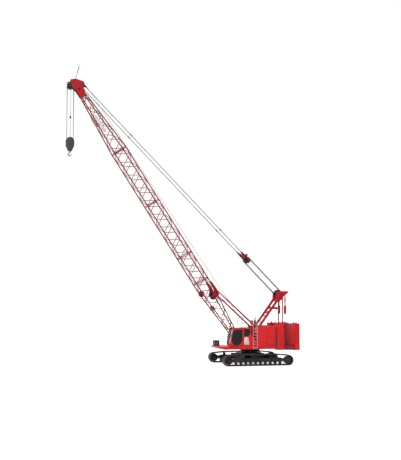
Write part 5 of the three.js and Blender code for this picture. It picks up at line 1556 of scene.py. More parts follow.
def cabTrim():
    c = cab
    piece = openPiece("cabGaskets")
    face = c["outer"]
    gasket(rearPane(-0.016), rearPane(0.014), face - 0.026, face + 0.005)
    gasket(rightPane(-0.016), rightPane(0.014), c["inner"] - 0.005, c["inner"] + 0.026)
    start = len(wholeMesh().verts)
    y0, y1 = c["inner"] + 0.072, c["outer"] - 0.072
    gasket(frontFace(y0, y1, -0.018), frontFace(y0, y1, 0.014), 0.0, 0.034, "X")
    for vert in list(wholeMesh().verts)[start:]:
        vert.co.x += screenX(vert.co.z) - 0.030
    showMesh()
    piece = closePiece(smooth=40)
    finishPiece(piece, "upper", "black_paint", "softRubber")

    piece = openPiece("cabFittings")
    wiper = [(screenX(2.20) + 0.020, 1.02, 2.20), (screenX(2.95) + 0.022, 1.20, 2.95)]
    rod(*wiper, 0.008, 8)
    rod((screenX(2.55) + 0.012, 1.07, 2.55), (screenX(3.28) + 0.012, 1.24, 3.28), 0.010, 8)
    ball((screenX(2.20) + 0.012, 1.02, 2.20), 0.028, (0.6, 1, 1), 12)
    for z, y in ((2.60, 0.655), (2.60, 1.565)):
        for a, b in (((2.47, y, 2.42), (2.53, y, 2.46)), ((2.53, y, 2.46), (2.44, y, 3.04)), ((2.44, y, 3.04), (2.38, y, 3.06))):
            rod(a, b, 0.010, 8)
    arm = bent([(2.30, 1.59, 3.40), (2.46, 1.66, 3.40), (2.50, 1.68, 3.16)], 0.05, 4)
    for a, b in zip(arm, arm[1:]):
        rod(a, b, 0.010, 8)
    mirror = rounded([(1.60, 2.84), (1.78, 2.84), (1.78, 3.18), (1.60, 3.18)], 0.045, 4)
    plate(mirror, 2.488, 2.512, "X", 0.006)
    hatch = rounded([(0.72, 0.80), (1.42, 0.80), (1.42, 1.42), (0.72, 1.42)], 0.08, 4)
    plate(hatch, c["roof"] - 0.002, c["roof"] + 0.028, "Z", 0.008)
    box((1.04, 0.76, c["roof"] + 0.01), (1.10, 0.81, c["roof"] + 0.04), 0.005)
    for y in (0.78, 1.44):
        box((2.12, y - 0.03, c["roof"] - 0.004), (2.18, y + 0.03, c["roof"] + 0.035), 0.006)
        turned([(0.01, 0.0), (0.045, 0.0), (0.075, 0.03), (0.080, 0.075), (0.068, 0.080), (0.01, 0.05)], (2.13, y, c["roof"] + 0.10), "X", 24)
    visor = [(2.20, 3.615), (2.44, 3.600), (2.445, 3.612), (2.20, 3.635)]
    plate(visor, c["inner"] + 0.06, c["outer"] - 0.06, "Y")
    piece = closePiece(smooth=34)
    finishPiece(piece, "upper", "black_paint", "chassisBlack")

    piece = openPiece("workLampLenses")
    for y in (0.78, 1.44):
        turned([(0.004, 0.062), (0.066, 0.062), (0.062, 0.074), (0.004, 0.080)], (2.13, y, c["roof"] + 0.10), "X", 24)
    piece = closePiece(smooth=34)
    finishPiece(piece, "upper", "pale_paint", "lampLens")

    # the slanted front pillar's pale strip, a painted reflection of the bright surroundings along the windscreen's
    # edge, and the low sheet below the rear window, in the paler paint
    piece = openPiece("cabPillarGlareAndSheet")
    face = c["outer"]
    strip = [(screenX(2.14) - 0.085, 2.14), (screenX(2.14) - 0.020, 2.14), (screenX(3.46) - 0.020, 3.46), (screenX(3.46) - 0.085, 3.46)]
    plate(rounded(strip, 0.02, 3), face + 0.0005, face + 0.006, "Y", 0.0015)
    sheetOutline = [(0.52, 1.98), (1.02, 1.98), (1.08, 2.30), (1.02, 2.72), (0.66, 2.72)]
    plate(rounded(sheetOutline, 0.06, 4), face + 0.0005, face + 0.006, "Y", 0.0015)
    piece = closePiece(smooth=34)
    finishPiece(piece, "upper", "pale_paint", "boardWhite")


def cabDoor():
    c = cab
    face = c["outer"]
    outline = rounded(doorOutline(0.005), [0.10, 0.16, 0.2, 0.12, 0.12, 0.06], 5)
    door = solidPlate("cabDoorPanel", outline, face - c["wall"], face)
    cutAway(door, solidPlate("pane", doorPane(), face - c["wall"] - 0.02, face + 0.02))
    holdOnly(door)
    softenEdges(door, 0.006, 2, 40)
    bpy.ops.object.shade_smooth_by_angle(angle=math.radians(34))
    knuckles = openPiece("knuckles")
    x, y = c["doorRear"] - 0.005, face + 0.0123
    for z in (c["floor"] + 0.30, c["floor"] + 1.40):
        rod((x, y, z - 0.06), (x, y, z + 0.06), 0.012, 16)
        box((x, face + 0.0005, z - 0.05), (x + 0.09, y, z + 0.05), 0.003)
    knuckles = closePiece(smooth=34)
    door = joined([door, knuckles], "cabDoorPanel")
    finishPiece(door, "cab_door", "red_paint", "craneRed", "cab_door")

    glass = openPiece("cabDoorGlass")
    middle = face - c["wall"] / 2
    plate(doorPane(0.001), middle - 0.004, middle + 0.004, "Y")
    glass = closePiece(smooth=34)
    finishPiece(glass, "cab_door", "tinted_glass", "cabGlass", "cab_door_window")

    trim = openPiece("cabDoorTrim")
    gasket(doorPane(-0.016), doorPane(0.014), face - 0.026, face + 0.005)
    grip = bent([(2.18, face, 2.02), (2.18, face + 0.045, 2.04), (2.02, face + 0.045, 2.02), (2.02, face, 2.00)], 0.02, 4)
    for a, b in zip(grip, grip[1:]):
        rod(a, b, 0.009, 8)
    trim = closePiece(smooth=40)
    finishPiece(trim, "cab_door", "black_paint", "softRubber")


def cabSeat():
    # a sprung seat: crowned cushion and back, sewn in channels, on a steel stand
    c = cab
    floor = c["floor"] + c["wall"]
    middle = c["seatMiddle"]
    rear = c["rear"] + 0.61
    top = floor + 0.52
    piece = openPiece("seatCushion")
    bpy.ops.mesh.primitive_cube_add(size=1, location=(rear + 0.26, middle, top - 0.065), scale=(0.52, 0.52, 0.11))
    bpy.ops.mesh.subdivide(number_cuts=9)
    for vert in picked():
        u = (vert.co.x - rear - 0.26) / 0.26
        v = (vert.co.y - middle) / 0.26
        crown = max(0.0, (1 - u ** 4) * (1 - v ** 4))
        if vert.co.z > top - 0.03:
            seam = 0.010 * math.exp(-((abs(v) - 0.55) / 0.06) ** 2)
            seam += 0.007 * sum(math.exp(-((u - place) / 0.06) ** 2) for place in (-0.45, 0.0, 0.45)) * (abs(v) < 0.5)
            vert.co.z += 0.030 * crown - 0.018 - seam
        pull = 0.012 * (1 - abs(u) ** 3 * abs(v) ** 3)
        vert.co.x += pull * (1 if u > 0.9 else -1 if u < -0.9 else 0) * (1 - abs(v) ** 2)
        vert.co.y += pull * (1 if v > 0.9 else -1 if v < -0.9 else 0) * (1 - abs(u) ** 2)
    showMesh()
    cushion = closePiece(0.014, 3, 60)
    subdivide(cushion, 1)
    finishPiece(cushion, "upper", "seat_fabric", "seatCloth", "operator_seat")

    piece = openPiece("seatBack")
    bpy.ops.mesh.primitive_cube_add(size=1, location=(0, middle, top + 0.34), scale=(0.12, 0.48, 0.68))
    bpy.ops.mesh.subdivide(number_cuts=10)
    for vert in picked():
        u = (vert.co.z - top - 0.34) / 0.34
        v = (vert.co.y - middle) / 0.24
        crown = max(0.0, (1 - u ** 4) * (1 - v ** 4))
        if vert.co.x > 0.055:
            seam = 0.009 * sum(math.exp(-((u - place) / 0.05) ** 2) for place in (-0.6, -0.2, 0.2, 0.6)) * (abs(v) < 0.6)
            vert.co.x += 0.026 * crown + 0.020 * abs(v) ** 3 - 0.012 - seam
        vert.co.y = middle + (vert.co.y - middle) * (1 - 0.10 * max(0.0, u) ** 3)
        vert.co.x += rear + 0.075 - 0.115 * (vert.co.z - top)
    showMesh()
    back = closePiece(0.014, 3, 60)
    subdivide(back, 1)
    finishPiece(back, "upper", "seat_fabric", "seatCloth")

    piece = openPiece("seatStand")
    box((rear + 0.09, middle - 0.18, floor), (rear + 0.44, middle + 0.18, floor + 0.05), 0.01)
    for k in range(5):
        z = floor + 0.05 + k * 0.06
        inset = 0.012 if k % 2 else 0.0
        box((rear + 0.11 + inset, middle - 0.16 + inset, z), (rear + 0.42 - inset, middle + 0.16 - inset, z + 0.058), 0.010)
    box((rear + 0.02, middle - 0.22, top - 0.15), (rear + 0.48, middle + 0.22, top - 0.118), 0.008)
    for side in (-1, 1):
        low, high = sorted((middle + side * 0.275, middle + side * 0.395))
        box((rear + 0.06, low, floor + 0.57), (rear + 0.58, high, floor + 0.66), 0.02, 3)
        box((rear + 0.10, low + 0.02, floor + 0.30), (rear + 0.34, high - 0.02, floor + 0.58), 0.015)
        box((rear + 0.12, min(middle, middle + side * 0.30), floor + 0.32), (rear + 0.30, max(middle, middle + side * 0.30), floor + 0.36), 0.006)
        lever = (rear + 0.46, middle + side * 0.335, floor + 0.66)
        rod(lever, (lever[0] + 0.02, lever[1], lever[2] + 0.13), 0.011, 10)
        ball((lever[0] + 0.024, lever[1], lever[2] + 0.16), 0.030, (0.9, 0.9, 1.4), 14)
    box((rear + 1.02, middle - 0.02, floor), (rear + 1.08, middle + 0.26, floor + 0.75), 0.01)
    box((rear + 0.98, middle - 0.04, floor + 0.75), (rear + 1.06, middle + 0.28, floor + 0.98), 0.012)
    for y in (middle - 0.22, middle - 0.08):
        foot = [(rear + 1.00, floor + 0.02), (rear + 1.16, floor + 0.12), (rear + 1.155, floor + 0.135), (rear + 0.99, floor + 0.04)]
        plate(foot, y - 0.045, y + 0.045, "Y", 0.002)
    piece = closePiece(smooth=36)
    finishPiece(piece, "upper", "black_paint", "softRubber")


def subdivide(piece, levels):
    holdOnly(piece)
    finer = piece.modifiers.new("finer", "SUBSURF")
    finer.levels = levels
    finer.render_levels = levels
    bpy.ops.object.modifier_apply(modifier=finer.name)
    bpy.ops.object.shade_smooth()


cabShell()
cabTrim()
cabDoor()
cabSeat()
print("cab built")


# ---- ladder and rails

rails = {
    "radius": 0.023,
    "ladderX": (-0.28, 0.14),
    "ladderY": 1.655,
    "ladderZ": (1.80, 3.74),
    "hoopTop": 4.88,
    "rungs": 7,
    "grabX": (1.90, 2.40),
    "grabY": -1.50,
    "grabTop": 3.50,
}


def runRod(points, radius, sides=10):
    for a, b in zip(points, points[1:]):
        rod(a, b, radius, sides)
    for point in points[1:-1]:
        ball(point, radius * 1.001, (1, 1, 1), 8)


def accessLadder():
    r = rails
    piece = openPiece("ladderRails")
    rear, front = r["ladderX"]
    low, high = r["ladderZ"]
    y = r["ladderY"]
    for x in (rear, front):
        inboard = [(x, y, low - 0.26), (x, y, high), (x, y - 0.03, high + 0.12)]
        runRod([(x, 1.585, low - 0.24), (x, y - 0.02, low - 0.24)], r["radius"])
        runRod(bent(inboard, 0.05), r["radius"], 12)
        arch = bent([(x, y - 0.03, high + 0.10), (x, y - 0.06, r["hoopTop"] - 0.10), (x, 1.42, r["hoopTop"]), (x, 1.26, r["hoopTop"] - 0.12), (x, 1.25, 3.775)], 0.14)
        runRod(arch, 0.017, 10)
    for k in range(r["rungs"]):
        z = low - 0.08 + k * (high - low) / (r["rungs"] - 0.5)
        rod((rear, y, z), (front, y, z), 0.015, 12)
        rod((rear + 0.03, y, z), (front - 0.03, y, z), 0.019, 12)
    rod((rear, 1.60, 3.60), (rear, y, 3.60), 0.016, 10)
    rod((front, y - 0.09, 3.56), (front, y, 3.56), 0.016, 10)
    box((rear - 0.02, 1.583, 1.555), (front + 0.02, y, 1.585), 0.005)
    piece = closePiece(smooth=40)
    finishPiece(piece, "upper", "pale_paint", "palePrimer", "access_ladder")


def grabHoop():
    r = rails
    piece = openPiece("frontGrabHoop")
    x0, x1 = r["grabX"]
    top = r["grabTop"]
    middle, bend = (x0 + x1) / 2, (x1 - x0) / 2
    arch = [(middle - bend * math.cos(math.pi * k / 16), r["grabY"], top - bend + bend * math.sin(math.pi * k / 16)) for k in range(17)]
    path = [(x0, r["grabY"], 1.803)] + arch + [(x1, r["grabY"], 1.803)]
    runRod(path, r["radius"], 12)
    rod((x0, r["grabY"], 2.62), (x1, r["grabY"], 2.62), 0.016, 10)
    for x in (x0, x1):
        rod((x, r["grabY"], 1.8005), (x, r["grabY"], 1.82), 0.05, 16)
    piece = closePiece(smooth=40)
    finishPiece(piece, "upper", "pale_paint", "palePrimer", "front_grab_rail")


def roofRail(name, node, x0, x1, y, z):
    piece = openPiece(name)
    top = z + 1.0
    frameTop = bent([(x0, y, z + 0.001), (x0, y, top), (x1, y, top), (x1, y, z + 0.001)], 0.12)
    runRod(frameTop, 0.022, 10)
    rod((x0, y, z + 0.5), (x1, y, z + 0.5), 0.016, 10)
    middle = (x0 + x1) / 2
    rod((middle, y, z), (middle, y, top), 0.016, 10)
    for x in (x0, middle, x1):
        rod((x, y, z + 0.0005), (x, y, z + 0.014), 0.045, 16)
        ringOfBolts((x, y, z + 0.012), 0.032, 4, 0.007, "Z", 0.008)
    piece = closePiece(smooth=40)
    finishPiece(piece, "upper", "pale_paint", "railGrey", node)


accessLadder()
grabHoop()
roofRail("cabRoofGuard", "cab_roof_rail", 0.82, 1.70, 1.45, 3.64)
roofRail("houseRoofGuard", "house_roof_rail", -2.20, -0.65, 1.50, 3.77)
print("ladder and rails built")

# ---- gantry

gantry = {
    "legBase": (-0.86, 3.83),
    "legTop": (-2.95, 6.65),
    "legY": (0.60, 0.76),
    "footZ": 2.40,
    "hanger": (-3.46, 0.92),
    "hangerBoxes": (4.97, 5.02, 5.69, 5.76),
    "hangerTop": 6.70,
    "linkX": -3.30,
    "linkTop": 6.80,
    "sheaves": 5,
    "span": 0.53,
    "sheaveRadius": 0.33,
}


def gantryFrame():
    g = gantry
    for side, word in ((1, "left"), (-1, "right")):
        leg = softened(f"gantry_leg_{word}", f"gantryLeg{word.title()}", 0.012)
        finishPiece(leg, "upper", "red_paint", "frameRed", f"gantry_leg_{word}")
    head = softened("gantry_head", "gantryHead", 0.010)
    finishPiece(head, "upper", "red_paint", "frameRed", "gantry_head")
    links = softened("gantry_rear_links", "gantryRearLinks", 0.008)
    finishPiece(links, "upper", "red_paint", "frameRed", "gantry_rear_links")
    cross = softened("gantry_cross_member", "gantryCrossMember", 0.014)
    finishPiece(cross, "upper", "red_paint", "frameRed", "gantry_cross_member")

    piece = openPiece("gantryFittings")
    base, top = Vector(g["legBase"]), Vector(g["legTop"])
    slope = (top - base).normalized()
    square = Vector((-slope.y, slope.x))
    for side in (-1, 1):
        outer = side * g["legY"][1]
        low, high = sorted((outer, outer + side * 0.012))
        # stiffening strips down each leg, and bosses at its foot and top pins
        for lift in (-0.085, 0.085):
            a = base + square * (lift - 0.014) - slope * 0.2
            b = base + square * (lift + 0.014) - slope * 0.2
            c = top + square * (lift + 0.014) - slope * 0.35
            d = top + square * (lift - 0.014) - slope * 0.35
            plate([tuple(a), tuple(b), tuple(c), tuple(d)], low, high, "Y")
        foot = base + slope * ((g["footZ"] + 0.35 - base.y) / slope.y)
        for spot, size in ((foot, 0.13), (top - slope * 0.12, 0.11)):
            boss = [(0.004, 0.0), (size, 0.0), (size + 0.012, 0.010), (size + 0.012, 0.035), (size - 0.02, 0.05), (0.004, 0.052)]
            turned([(r, side * y) for r, y in boss], (spot.x, outer, spot.y), "Y", 28)
            ringOfBolts((spot.x, outer + side * 0.04, spot.y), size - 0.035, 6, 0.011, "Y", side * 0.012)
        axle = [(0.004, 0.0), (0.10, 0.0), (0.11, 0.01), (0.11, 0.035), (0.09, 0.05), (0.004, 0.052)]
        face = side * 0.600
        turned([(r, side * y) for r, y in axle], (gantryAxle.x, face, gantryAxle.z), "Y", 28)
        ringOfBolts((gantryAxle.x, face + side * 0.040, gantryAxle.z), 0.075, 6, 0.010, "Y", side * 0.010)
        boss = [(0.004, 0.0), (0.075, 0.0), (0.085, 0.01), (0.085, 0.03), (0.06, 0.04), (0.004, 0.042)]
        turned([(r, side * y) for r, y in boss], (g["linkX"], side * 0.661, g["linkTop"]), "Y", 24)
        hangX, hangY = g["hanger"]
        for low, high in zip(g["hangerBoxes"][::2], g["hangerBoxes"][1::2]):
            box((hangX - 0.115, side * hangY - 0.094, low), (hangX + 0.115, side * hangY + 0.094, high), 0.01)
        rod((hangX, side * hangY, g["hangerBoxes"][1]), (hangX, side * hangY, g["hangerTop"]), 0.062, 14)
    # a cross brace between the legs
    for share in (0.34, 0.60):
        spot = base.lerp(top, share)
        rod((spot.x, -0.61, spot.y), (spot.x, 0.61, spot.y), 0.055, 16)
    a, b = base.lerp(top, 0.35), base.lerp(top, 0.59)
    rod((a.x, -0.60, a.y), (b.x, 0.60, b.y), 0.034, 12)
    rod((a.x, 0.60, a.y), (b.x, -0.60, b.y), 0.034, 12)
    piece = closePiece(smooth=34)
    finishPiece(piece, "upper", "red_paint", "frameRed")


def sheaveProfile(radius, half, bore=0.05):
    rim = [(bore, -half), (bore + 0.055, -half), (bore + 0.062, -half * 0.45), (radius - 0.080, -half * 0.34)]
    rim += [(radius - 0.052, -half * 0.92), (radius, -half), (radius, -half * 0.72), (radius - 0.026, -0.010)]
    return rim + [(r, -y) for r, y in reversed(rim)]


def sheaveRow(centre, radius, count, span, share=0.7, steps=32, pitch=None):
    # grooved sheaves on one axle, between two faces, with collars out to the faces
    pitch = pitch or 2 * (span - 0.03) / count
    outer = pitch * count / 2
    if outer < span - 0.05:
        for side in (-1, 1):
            ring = [(0.05, outer), (0.13, outer), (0.13, span - 0.005), (0.05, span - 0.005)]
            turned([(r, centre[1] + side * y) for r, y in ring], centre, "Y", 24)
    for k in range(count):
        y = centre[1] + (k - (count - 1) / 2) * pitch
        turned(sheaveProfile(radius, pitch * share / 2), (centre[0], y, centre[2]), "Y", steps)
        for hole in range(6):
            turn = math.tau * hole / 6
            reach = radius * 0.52
            spot = (centre[0] + reach * math.cos(turn), 0, centre[2] + reach * math.sin(turn))
            rod((spot[0], y - pitch * share * 0.20, spot[2]), (spot[0], y + pitch * share * 0.20, spot[2]), radius * 0.075, 10)
    rod((centre[0], centre[1] - span, centre[2]), (centre[0], centre[1] + span, centre[2]), 0.052, 24)
    return pitch


line = {
    "fall": 4.68,
    "pin": 5.53,
    "end": 28.364,
    "plateY": (0.53, 0.60),
    "sheaveRadius": 0.33,
    "ropeRadius": 0.014,
    "fallRadius": 0.0115,
    "bed": 0.012,  # how far a rope lies below a sheave's rim
    "pendantY": 0.665,
    "pendantRadius": 0.030,
    "fallPitch": 0.105,
    "joints": (8.85, 21.75),
}

gantryFrame()

piece = openPiece("gantrySheaveRow")
gantryPitch = line["fallPitch"]
sheaveRow(tuple(gantryAxle), gantry["sheaveRadius"], gantry["sheaves"], gantry["span"] - 0.001, pitch=gantryPitch)
piece = closePiece(smooth=30)
finishPiece(piece, "gantry_sheaves", "black_paint", "sheaveSteel", "gantry_sheaves")
print("gantry built")


# ---- boom hoist line: bridle, falls and pendants

lineWay = bridlePin - gantryAxle
lineAngle = math.atan2(lineWay.z, lineWay.x)
lineWay.normalize()


def onLine(along, y=0.0, lift=0.0):
    square = Vector((-lineWay.z, 0, lineWay.x))
    return gantryAxle + lineWay * along + square * lift + Vector((0, y, 0))


def bridleFrame():
    n = line
    piece = openPiece("bridlePlates")
    fall, pin = n["fall"], n["pin"]
    outline = [(fall - 0.10, -0.10), (fall + 0.15, -0.12), (pin + 0.06, -0.11), (pin + 0.11, 0.0), (pin + 0.06, 0.11)]
    outline += [(fall + 0.64, 0.12), (fall + 0.55, 0.34), (fall + 0.42, 0.35), (fall + 0.34, 0.12), (fall - 0.10, 0.10)]
    for side in (-1, 1):
        low, high = sorted((side * n["plateY"][0], side * n["plateY"][1]))
        plate(rounded(outline, [0.08, 0.05, 0.06, 0.06, 0.06, 0.05, 0.05, 0.05, 0.04, 0.08], 3), low, high, "Y", 0.005)
        for x, size in ((fall, 0.085), (pin, 0.065)):
            boss = [(0.004, 0.0), (size, 0.0), (size + 0.01, 0.008), (size + 0.01, 0.020), (size - 0.02, 0.028), (0.004, 0.028)]
            turned([(r, side * y) for r, y in boss], (x, side * n["plateY"][1], 0), "Y", 24)
        low, high = sorted((side * 0.20, side * 0.23))
        brace = [(fall + 0.40, 0.02), (fall + 0.58, 0.02), (fall + 0.53, 0.31), (fall + 0.43, 0.31)]
        plate(brace, low, high, "Y", 0.004)
    rod((pin, -0.63, 0), (pin, 0.63, 0), 0.045, 20)
    rod((fall + 0.48, -0.60, 0.28), (fall + 0.48, 0.60, 0.28), 0.035, 16)
    rod((fall + 0.44, -0.56, 0.02), (fall + 0.44, 0.56, 0.02), 0.045, 16)
    rod((fall + 0.40, -0.55, -0.02), (pin - 0.05, 0.55, 0.03), 0.026, 12)
    rod((fall + 0.40, 0.55, -0.02), (pin - 0.05, -0.55, 0.03), 0.026, 12)
    piece = closePiece(smooth=34)
    placeAt(piece, gantryAxle, lineAngle)
    finishPiece(piece, "bridle", "red_paint", "boomRed", "boom_hoist_bridle")
    piece = openPiece("bridleSheaves")
    pitch = sheaveRow((fall, 0, 0), n["sheaveRadius"], 5, n["plateY"][0] + 0.01, pitch=n["fallPitch"])
    piece = closePiece(smooth=30)
    placeAt(piece, gantryAxle, lineAngle)
    finishPiece(piece, "bridle", "black_paint", "sheaveSteel")
    return pitch


def wrap(a, b, radius, yA, yB, turn, steps=14):
    # round two sheaves of one size, which lie apart along a direction
    ahead = Vector((math.cos(turn), 0, math.sin(turn)))
    square = Vector((-math.sin(turn), 0, math.cos(turn)))
    points = []
    for centre, y, way in ((a, yA, -1), (b, yB, 1)):
        for k in range(steps + 1):
            swing = -math.pi / 2 + math.pi * k / steps
            out = ahead * (way * math.cos(swing)) + square * (way * math.sin(swing))
            points.append(tuple(centre + out * radius + Vector((0, y, 0))))
    return points


def hoistFalls(pitch):
    n = line
    runs = []
    for k in range(5):
        order = k - 2
        loop = wrap(gantryAxle, onLine(n["fall"]), n["sheaveRadius"] - n["bed"], order * gantryPitch, order * pitch, lineAngle)
        runs.append(tube(loop, n["fallRadius"], f"fall{k}", closed=True, sides=8))
    falls = joined(runs, "boomHoistFalls")
    falls.data.materials.clear()
    falls.data.materials.append(finishes["darkRope"])
    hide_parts("boom_hoist_fall")
    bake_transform(falls)


def pendants():
    n = line
    piece = openPiece("pendantFittings")
    y = n["pendantY"]
    for x in (n["pin"], n["end"]):
        way = 1 if x == n["pin"] else -1
        ear = [(x - way * 0.095, -0.07), (x + way * 0.10, -0.085), (x + way * 0.34, -0.036), (x + way * 0.34, 0.036), (x + way * 0.10, 0.085), (x - way * 0.095, 0.07)]
        plate(rounded(ear, [0.07, 0.05, 0.01, 0.01, 0.05, 0.07], 4), y - 0.034, y + 0.034, "Y", 0.004)
        rod((x + way * 0.30, y, 0), (x + way * 0.52, y, 0), 0.038, 16, 0.024)
        rod((x, y + 0.034, 0), (x, y + 0.052, 0), 0.052, 6)
    for x in n["joints"]:
        for way in (-1, 1):
            rod((x + way * 0.10, y, 0), (x + way * 0.30, y, 0), 0.044, 16, 0.024)
            cheek = [(x - 0.02 * way, -0.052), (x + way * 0.16, -0.040), (x + way * 0.16, 0.040), (x - 0.02 * way, 0.052)]
            plate(cheek, y - 0.030, y + 0.030, "Y", 0.004)
        rod((x, y - 0.055, 0), (x, y + 0.055, 0), 0.030, 16)
        rod((x, y + 0.048, 0), (x, y + 0.060, 0), 0.046, 6)
        rod((x, y - 0.060, 0), (x, y - 0.048, 0), 0.046, 6)
    left = closePiece(smooth=34)
    placeAt(left, gantryAxle, lineAngle)
    right = copyOf(left, "pendantFittingsRight", acrossMiddle)
    left.name = "pendantFittingsLeft"
    finishPiece(left, "pendants", "dark_steel", "sheaveSteel")
    finishPiece(right, "pendants", "dark_steel", "sheaveSteel")
    for side, word in ((1, "left"), (-1, "right")):
        stops = [n["pin"] + 0.34, n["joints"][0] - 0.20, n["joints"][0] + 0.20, n["joints"][1] - 0.20, n["joints"][1] + 0.20, n["end"] - 0.34]
        runs = []
        for i in range(0, 6, 2):
            a, b = stops[i], stops[i + 1]
            spots = [tuple(onLine(a + (b - a) * k / 6, side * y)) for k in range(7)]
            runs.append(tube(spots, n["pendantRadius"], "stay", sides=12))
        stay = joined(runs, f"pendant{word.title()}")
        finishPiece(stay, "pendants", "grey_steel", "darkRope", f"boom_pendant_{word}")


hoistFalls(bridleFrame())
pendants()
print("boom hoist line built")


# ---- backstops

backstop = {
    "angle": math.radians(42.342),
    "reach": 5.680,
    "y": 0.95,
    "tube": 0.085,
    "tubeLength": 4.2,
    "rod": 0.054,
    "rodLength": 2.8,
}


def backstops():
    b = backstop
    y = b["y"]
    piece = openPiece("tube")
    wallRun = [(0.062, 1.80), (0.062, b["tubeLength"] - 0.02), (b["tube"] + 0.010, b["tubeLength"] - 0.02), (b["tube"] + 0.010, b["tubeLength"] - 0.14)]
    wallRun += [(b["tube"], b["tubeLength"] - 0.15), (b["tube"], 0.30), (b["tube"] - 0.012, 0.20), (b["tube"] - 0.02, 0.08), (0.004, 0.08), (0.004, 1.80)]
    turned([(r, along) for r, along in wallRun], (0, y, 0), "X", 24)
    eye = [(0.0506, -0.085), (0.110, -0.085), (0.120, -0.075), (0.120, 0.075), (0.110, 0.085), (0.0506, 0.085)]
    turned(eye, (0, y, 0), "Y", 28)
    for x in (1.2, 2.6):
        turned([(b["tube"] - 0.002, x - 0.03), (b["tube"] + 0.012, x - 0.03), (b["tube"] + 0.012, x + 0.03), (b["tube"] - 0.002, x + 0.03)], (0, y, 0), "X", 24)
    left = closePiece(smooth=32)
    placeAt(left, backstopFoot, b["angle"])
    right = copyOf(left, "backstopTubeRight", acrossMiddle)
    left.name = "backstopTubeLeft"
    finishPiece(left, "backstop_tubes", "red_paint", "frameRed", "backstop_tube_left")
    finishPiece(right, "backstop_tubes", "red_paint", "frameRed", "backstop_tube_right")
    piece = openPiece("rod")
    reach = b["reach"]
    rod((reach - b["rodLength"], y, 0), (reach - 0.05, y, 0), b["rod"], 20)
    turned([(0.02, reach - b["rodLength"] - 0.002), (0.0595, reach - b["rodLength"] - 0.002), (0.0595, reach - b["rodLength"] + 0.10), (0.02, reach - b["rodLength"] + 0.10)], (0, y, 0), "X", 20)
    eye = [(0.03, -0.054), (0.082, -0.054), (0.090, -0.046), (0.090, 0.046), (0.082, 0.054), (0.03, 0.054)]
    turned(eye, (reach, y, 0), "Y", 24)
    rod((reach, 0.861, 0), (reach, 1.02, 0), 0.038, 20)
    rod((reach, 1.004, 0), (reach, 1.018, 0), 0.055, 6)
    left = closePiece(smooth=32)
    placeAt(left, backstopFoot, b["angle"])
    right = copyOf(left, "backstopRodRight", acrossMiddle)
    left.name = "backstopRodLeft"
    finishPiece(left, "backstop_rods", "red_paint", "frameRed", "backstop_rod_left")
    finishPiece(right, "backstop_rods", "red_paint", "frameRed", "backstop_rod_right")


backstops()
print("backstops built")


# ---- winch drums

drum = {"radius": 0.26, "flange": 0.40, "end": 0.48, "z": 2.24, "rope": 0.014, "wraps": 32, "points": 22}


def winchDrum(name, body, x, wraps):
    d = drum
    piece = openPiece(name)
    barrel = [(0.06, -d["end"]), (d["flange"] - 0.012, -d["end"]), (d["flange"], -d["end"] + 0.008), (d["flange"], -d["end"] + 0.024)]
    barrel += [(d["flange"] - 0.012, -d["end"] + 0.032), (d["radius"] - 0.012, -d["end"] + 0.034)]
    barrel += [(r, -y) for r, y in reversed(barrel)]
    turned(barrel, (x, 0, d["z"]), "Y", 40)
    rod((x, -0.499, d["z"]), (x, 0.499, d["z"]), 0.065, 20)
    for side in (-1, 1):
        ringOfBolts((x, side * d["end"], d["z"]), 0.20, 12, 0.013, "Y", side * 0.010)
        for k in range(6):
            turn = math.tau * k / 6
            rod((x + 0.30 * math.cos(turn), side * (d["end"] - 0.028), d["z"] + 0.30 * math.sin(turn)), (x + 0.30 * math.cos(turn), side * (d["end"] + 0.004), d["z"] + 0.30 * math.sin(turn)), 0.035, 12)
    piece = closePiece(smooth=32)
    finishPiece(piece, body, "dark_steel", "sheaveSteel", body)
    reach = d["radius"] - 0.012 + d["rope"]
    width = 0.445
    points = []
    for k in range(wraps * d["points"] + 1):
        turn = math.tau * k / d["points"]
        y = -width + 2 * width * k / (wraps * d["points"])
        points.append((x + reach * math.cos(turn), y, d["z"] + reach * math.sin(turn)))
    wound = tube(points, d["rope"] * 0.98, name + "Rope", sides=6)
    finishPiece(wound, body, "grey_steel", "darkRope")


winchDrum("mainDrum", "main_drum", -0.26, drum["wraps"])
winchDrum("auxiliaryDrum", "auxiliary_drum", -1.24, drum["wraps"])
winchDrum("boomHoistDrum", "boom_hoist_drum", -2.05, drum["wraps"])


def straightRope(name, points, body, finish="darkRope"):
    rope = tube([tuple(p) for p in points], line["ropeRadius"], name, sides=8)
    return finishPiece(rope, body, "grey_steel", finish)


rearTangent = Vector((gantryAxle.x - line["sheaveRadius"] + line["bed"], 0.2, gantryAxle.z))
drumRear = Vector((-2.05 - drum["radius"] - 0.002, 0.2, drum["z"]))
straightRope("boomHoistLead", [drumRear.lerp(rearTangent, k / 8) for k in range(9)], "upper")
print("drums built")

# ---- lattice boom

boom = {
    "halfWidth": 0.768,  # between the chords' centre lines
    "halfDepth": 0.643,
    "chord": 0.057,
    "lace": 0.031,
    "taperStart": 0.55,
    "taperEnd": 6.4,
    "foot": (0.383, 0.17),
    "tip": (0.393, 0.253),
    "tipDrop": 0.10,
    "ends": (0.55, 7.62, 10.668, 16.764, 22.86, 29.2),
    "bays": (5, 2, 4, 4, 4),
    "pieces": ("boom_butt", "boom_insert_short", "boom_insert_lower", "boom_insert_upper", "boom_tip"),
    "chordSides": 18,
    "laceSides": 10,
    "footEye": 0.122,
    "footPin": 0.080,
    "lugY": (0.79, 0.86),
    "lugPin": (6.2, 0.69),
}
toPoint = pointAxle - boomFoot
boomAngle = math.atan2(toPoint.z, toPoint.x) + math.atan2(0.64, 30.7)


def onBoom(along, square, y=0.0):
    a, s = math.cos(boomAngle), math.sin(boomAngle)
    return boomFoot + Vector((along * a - square * s, y, along * s + square * a))


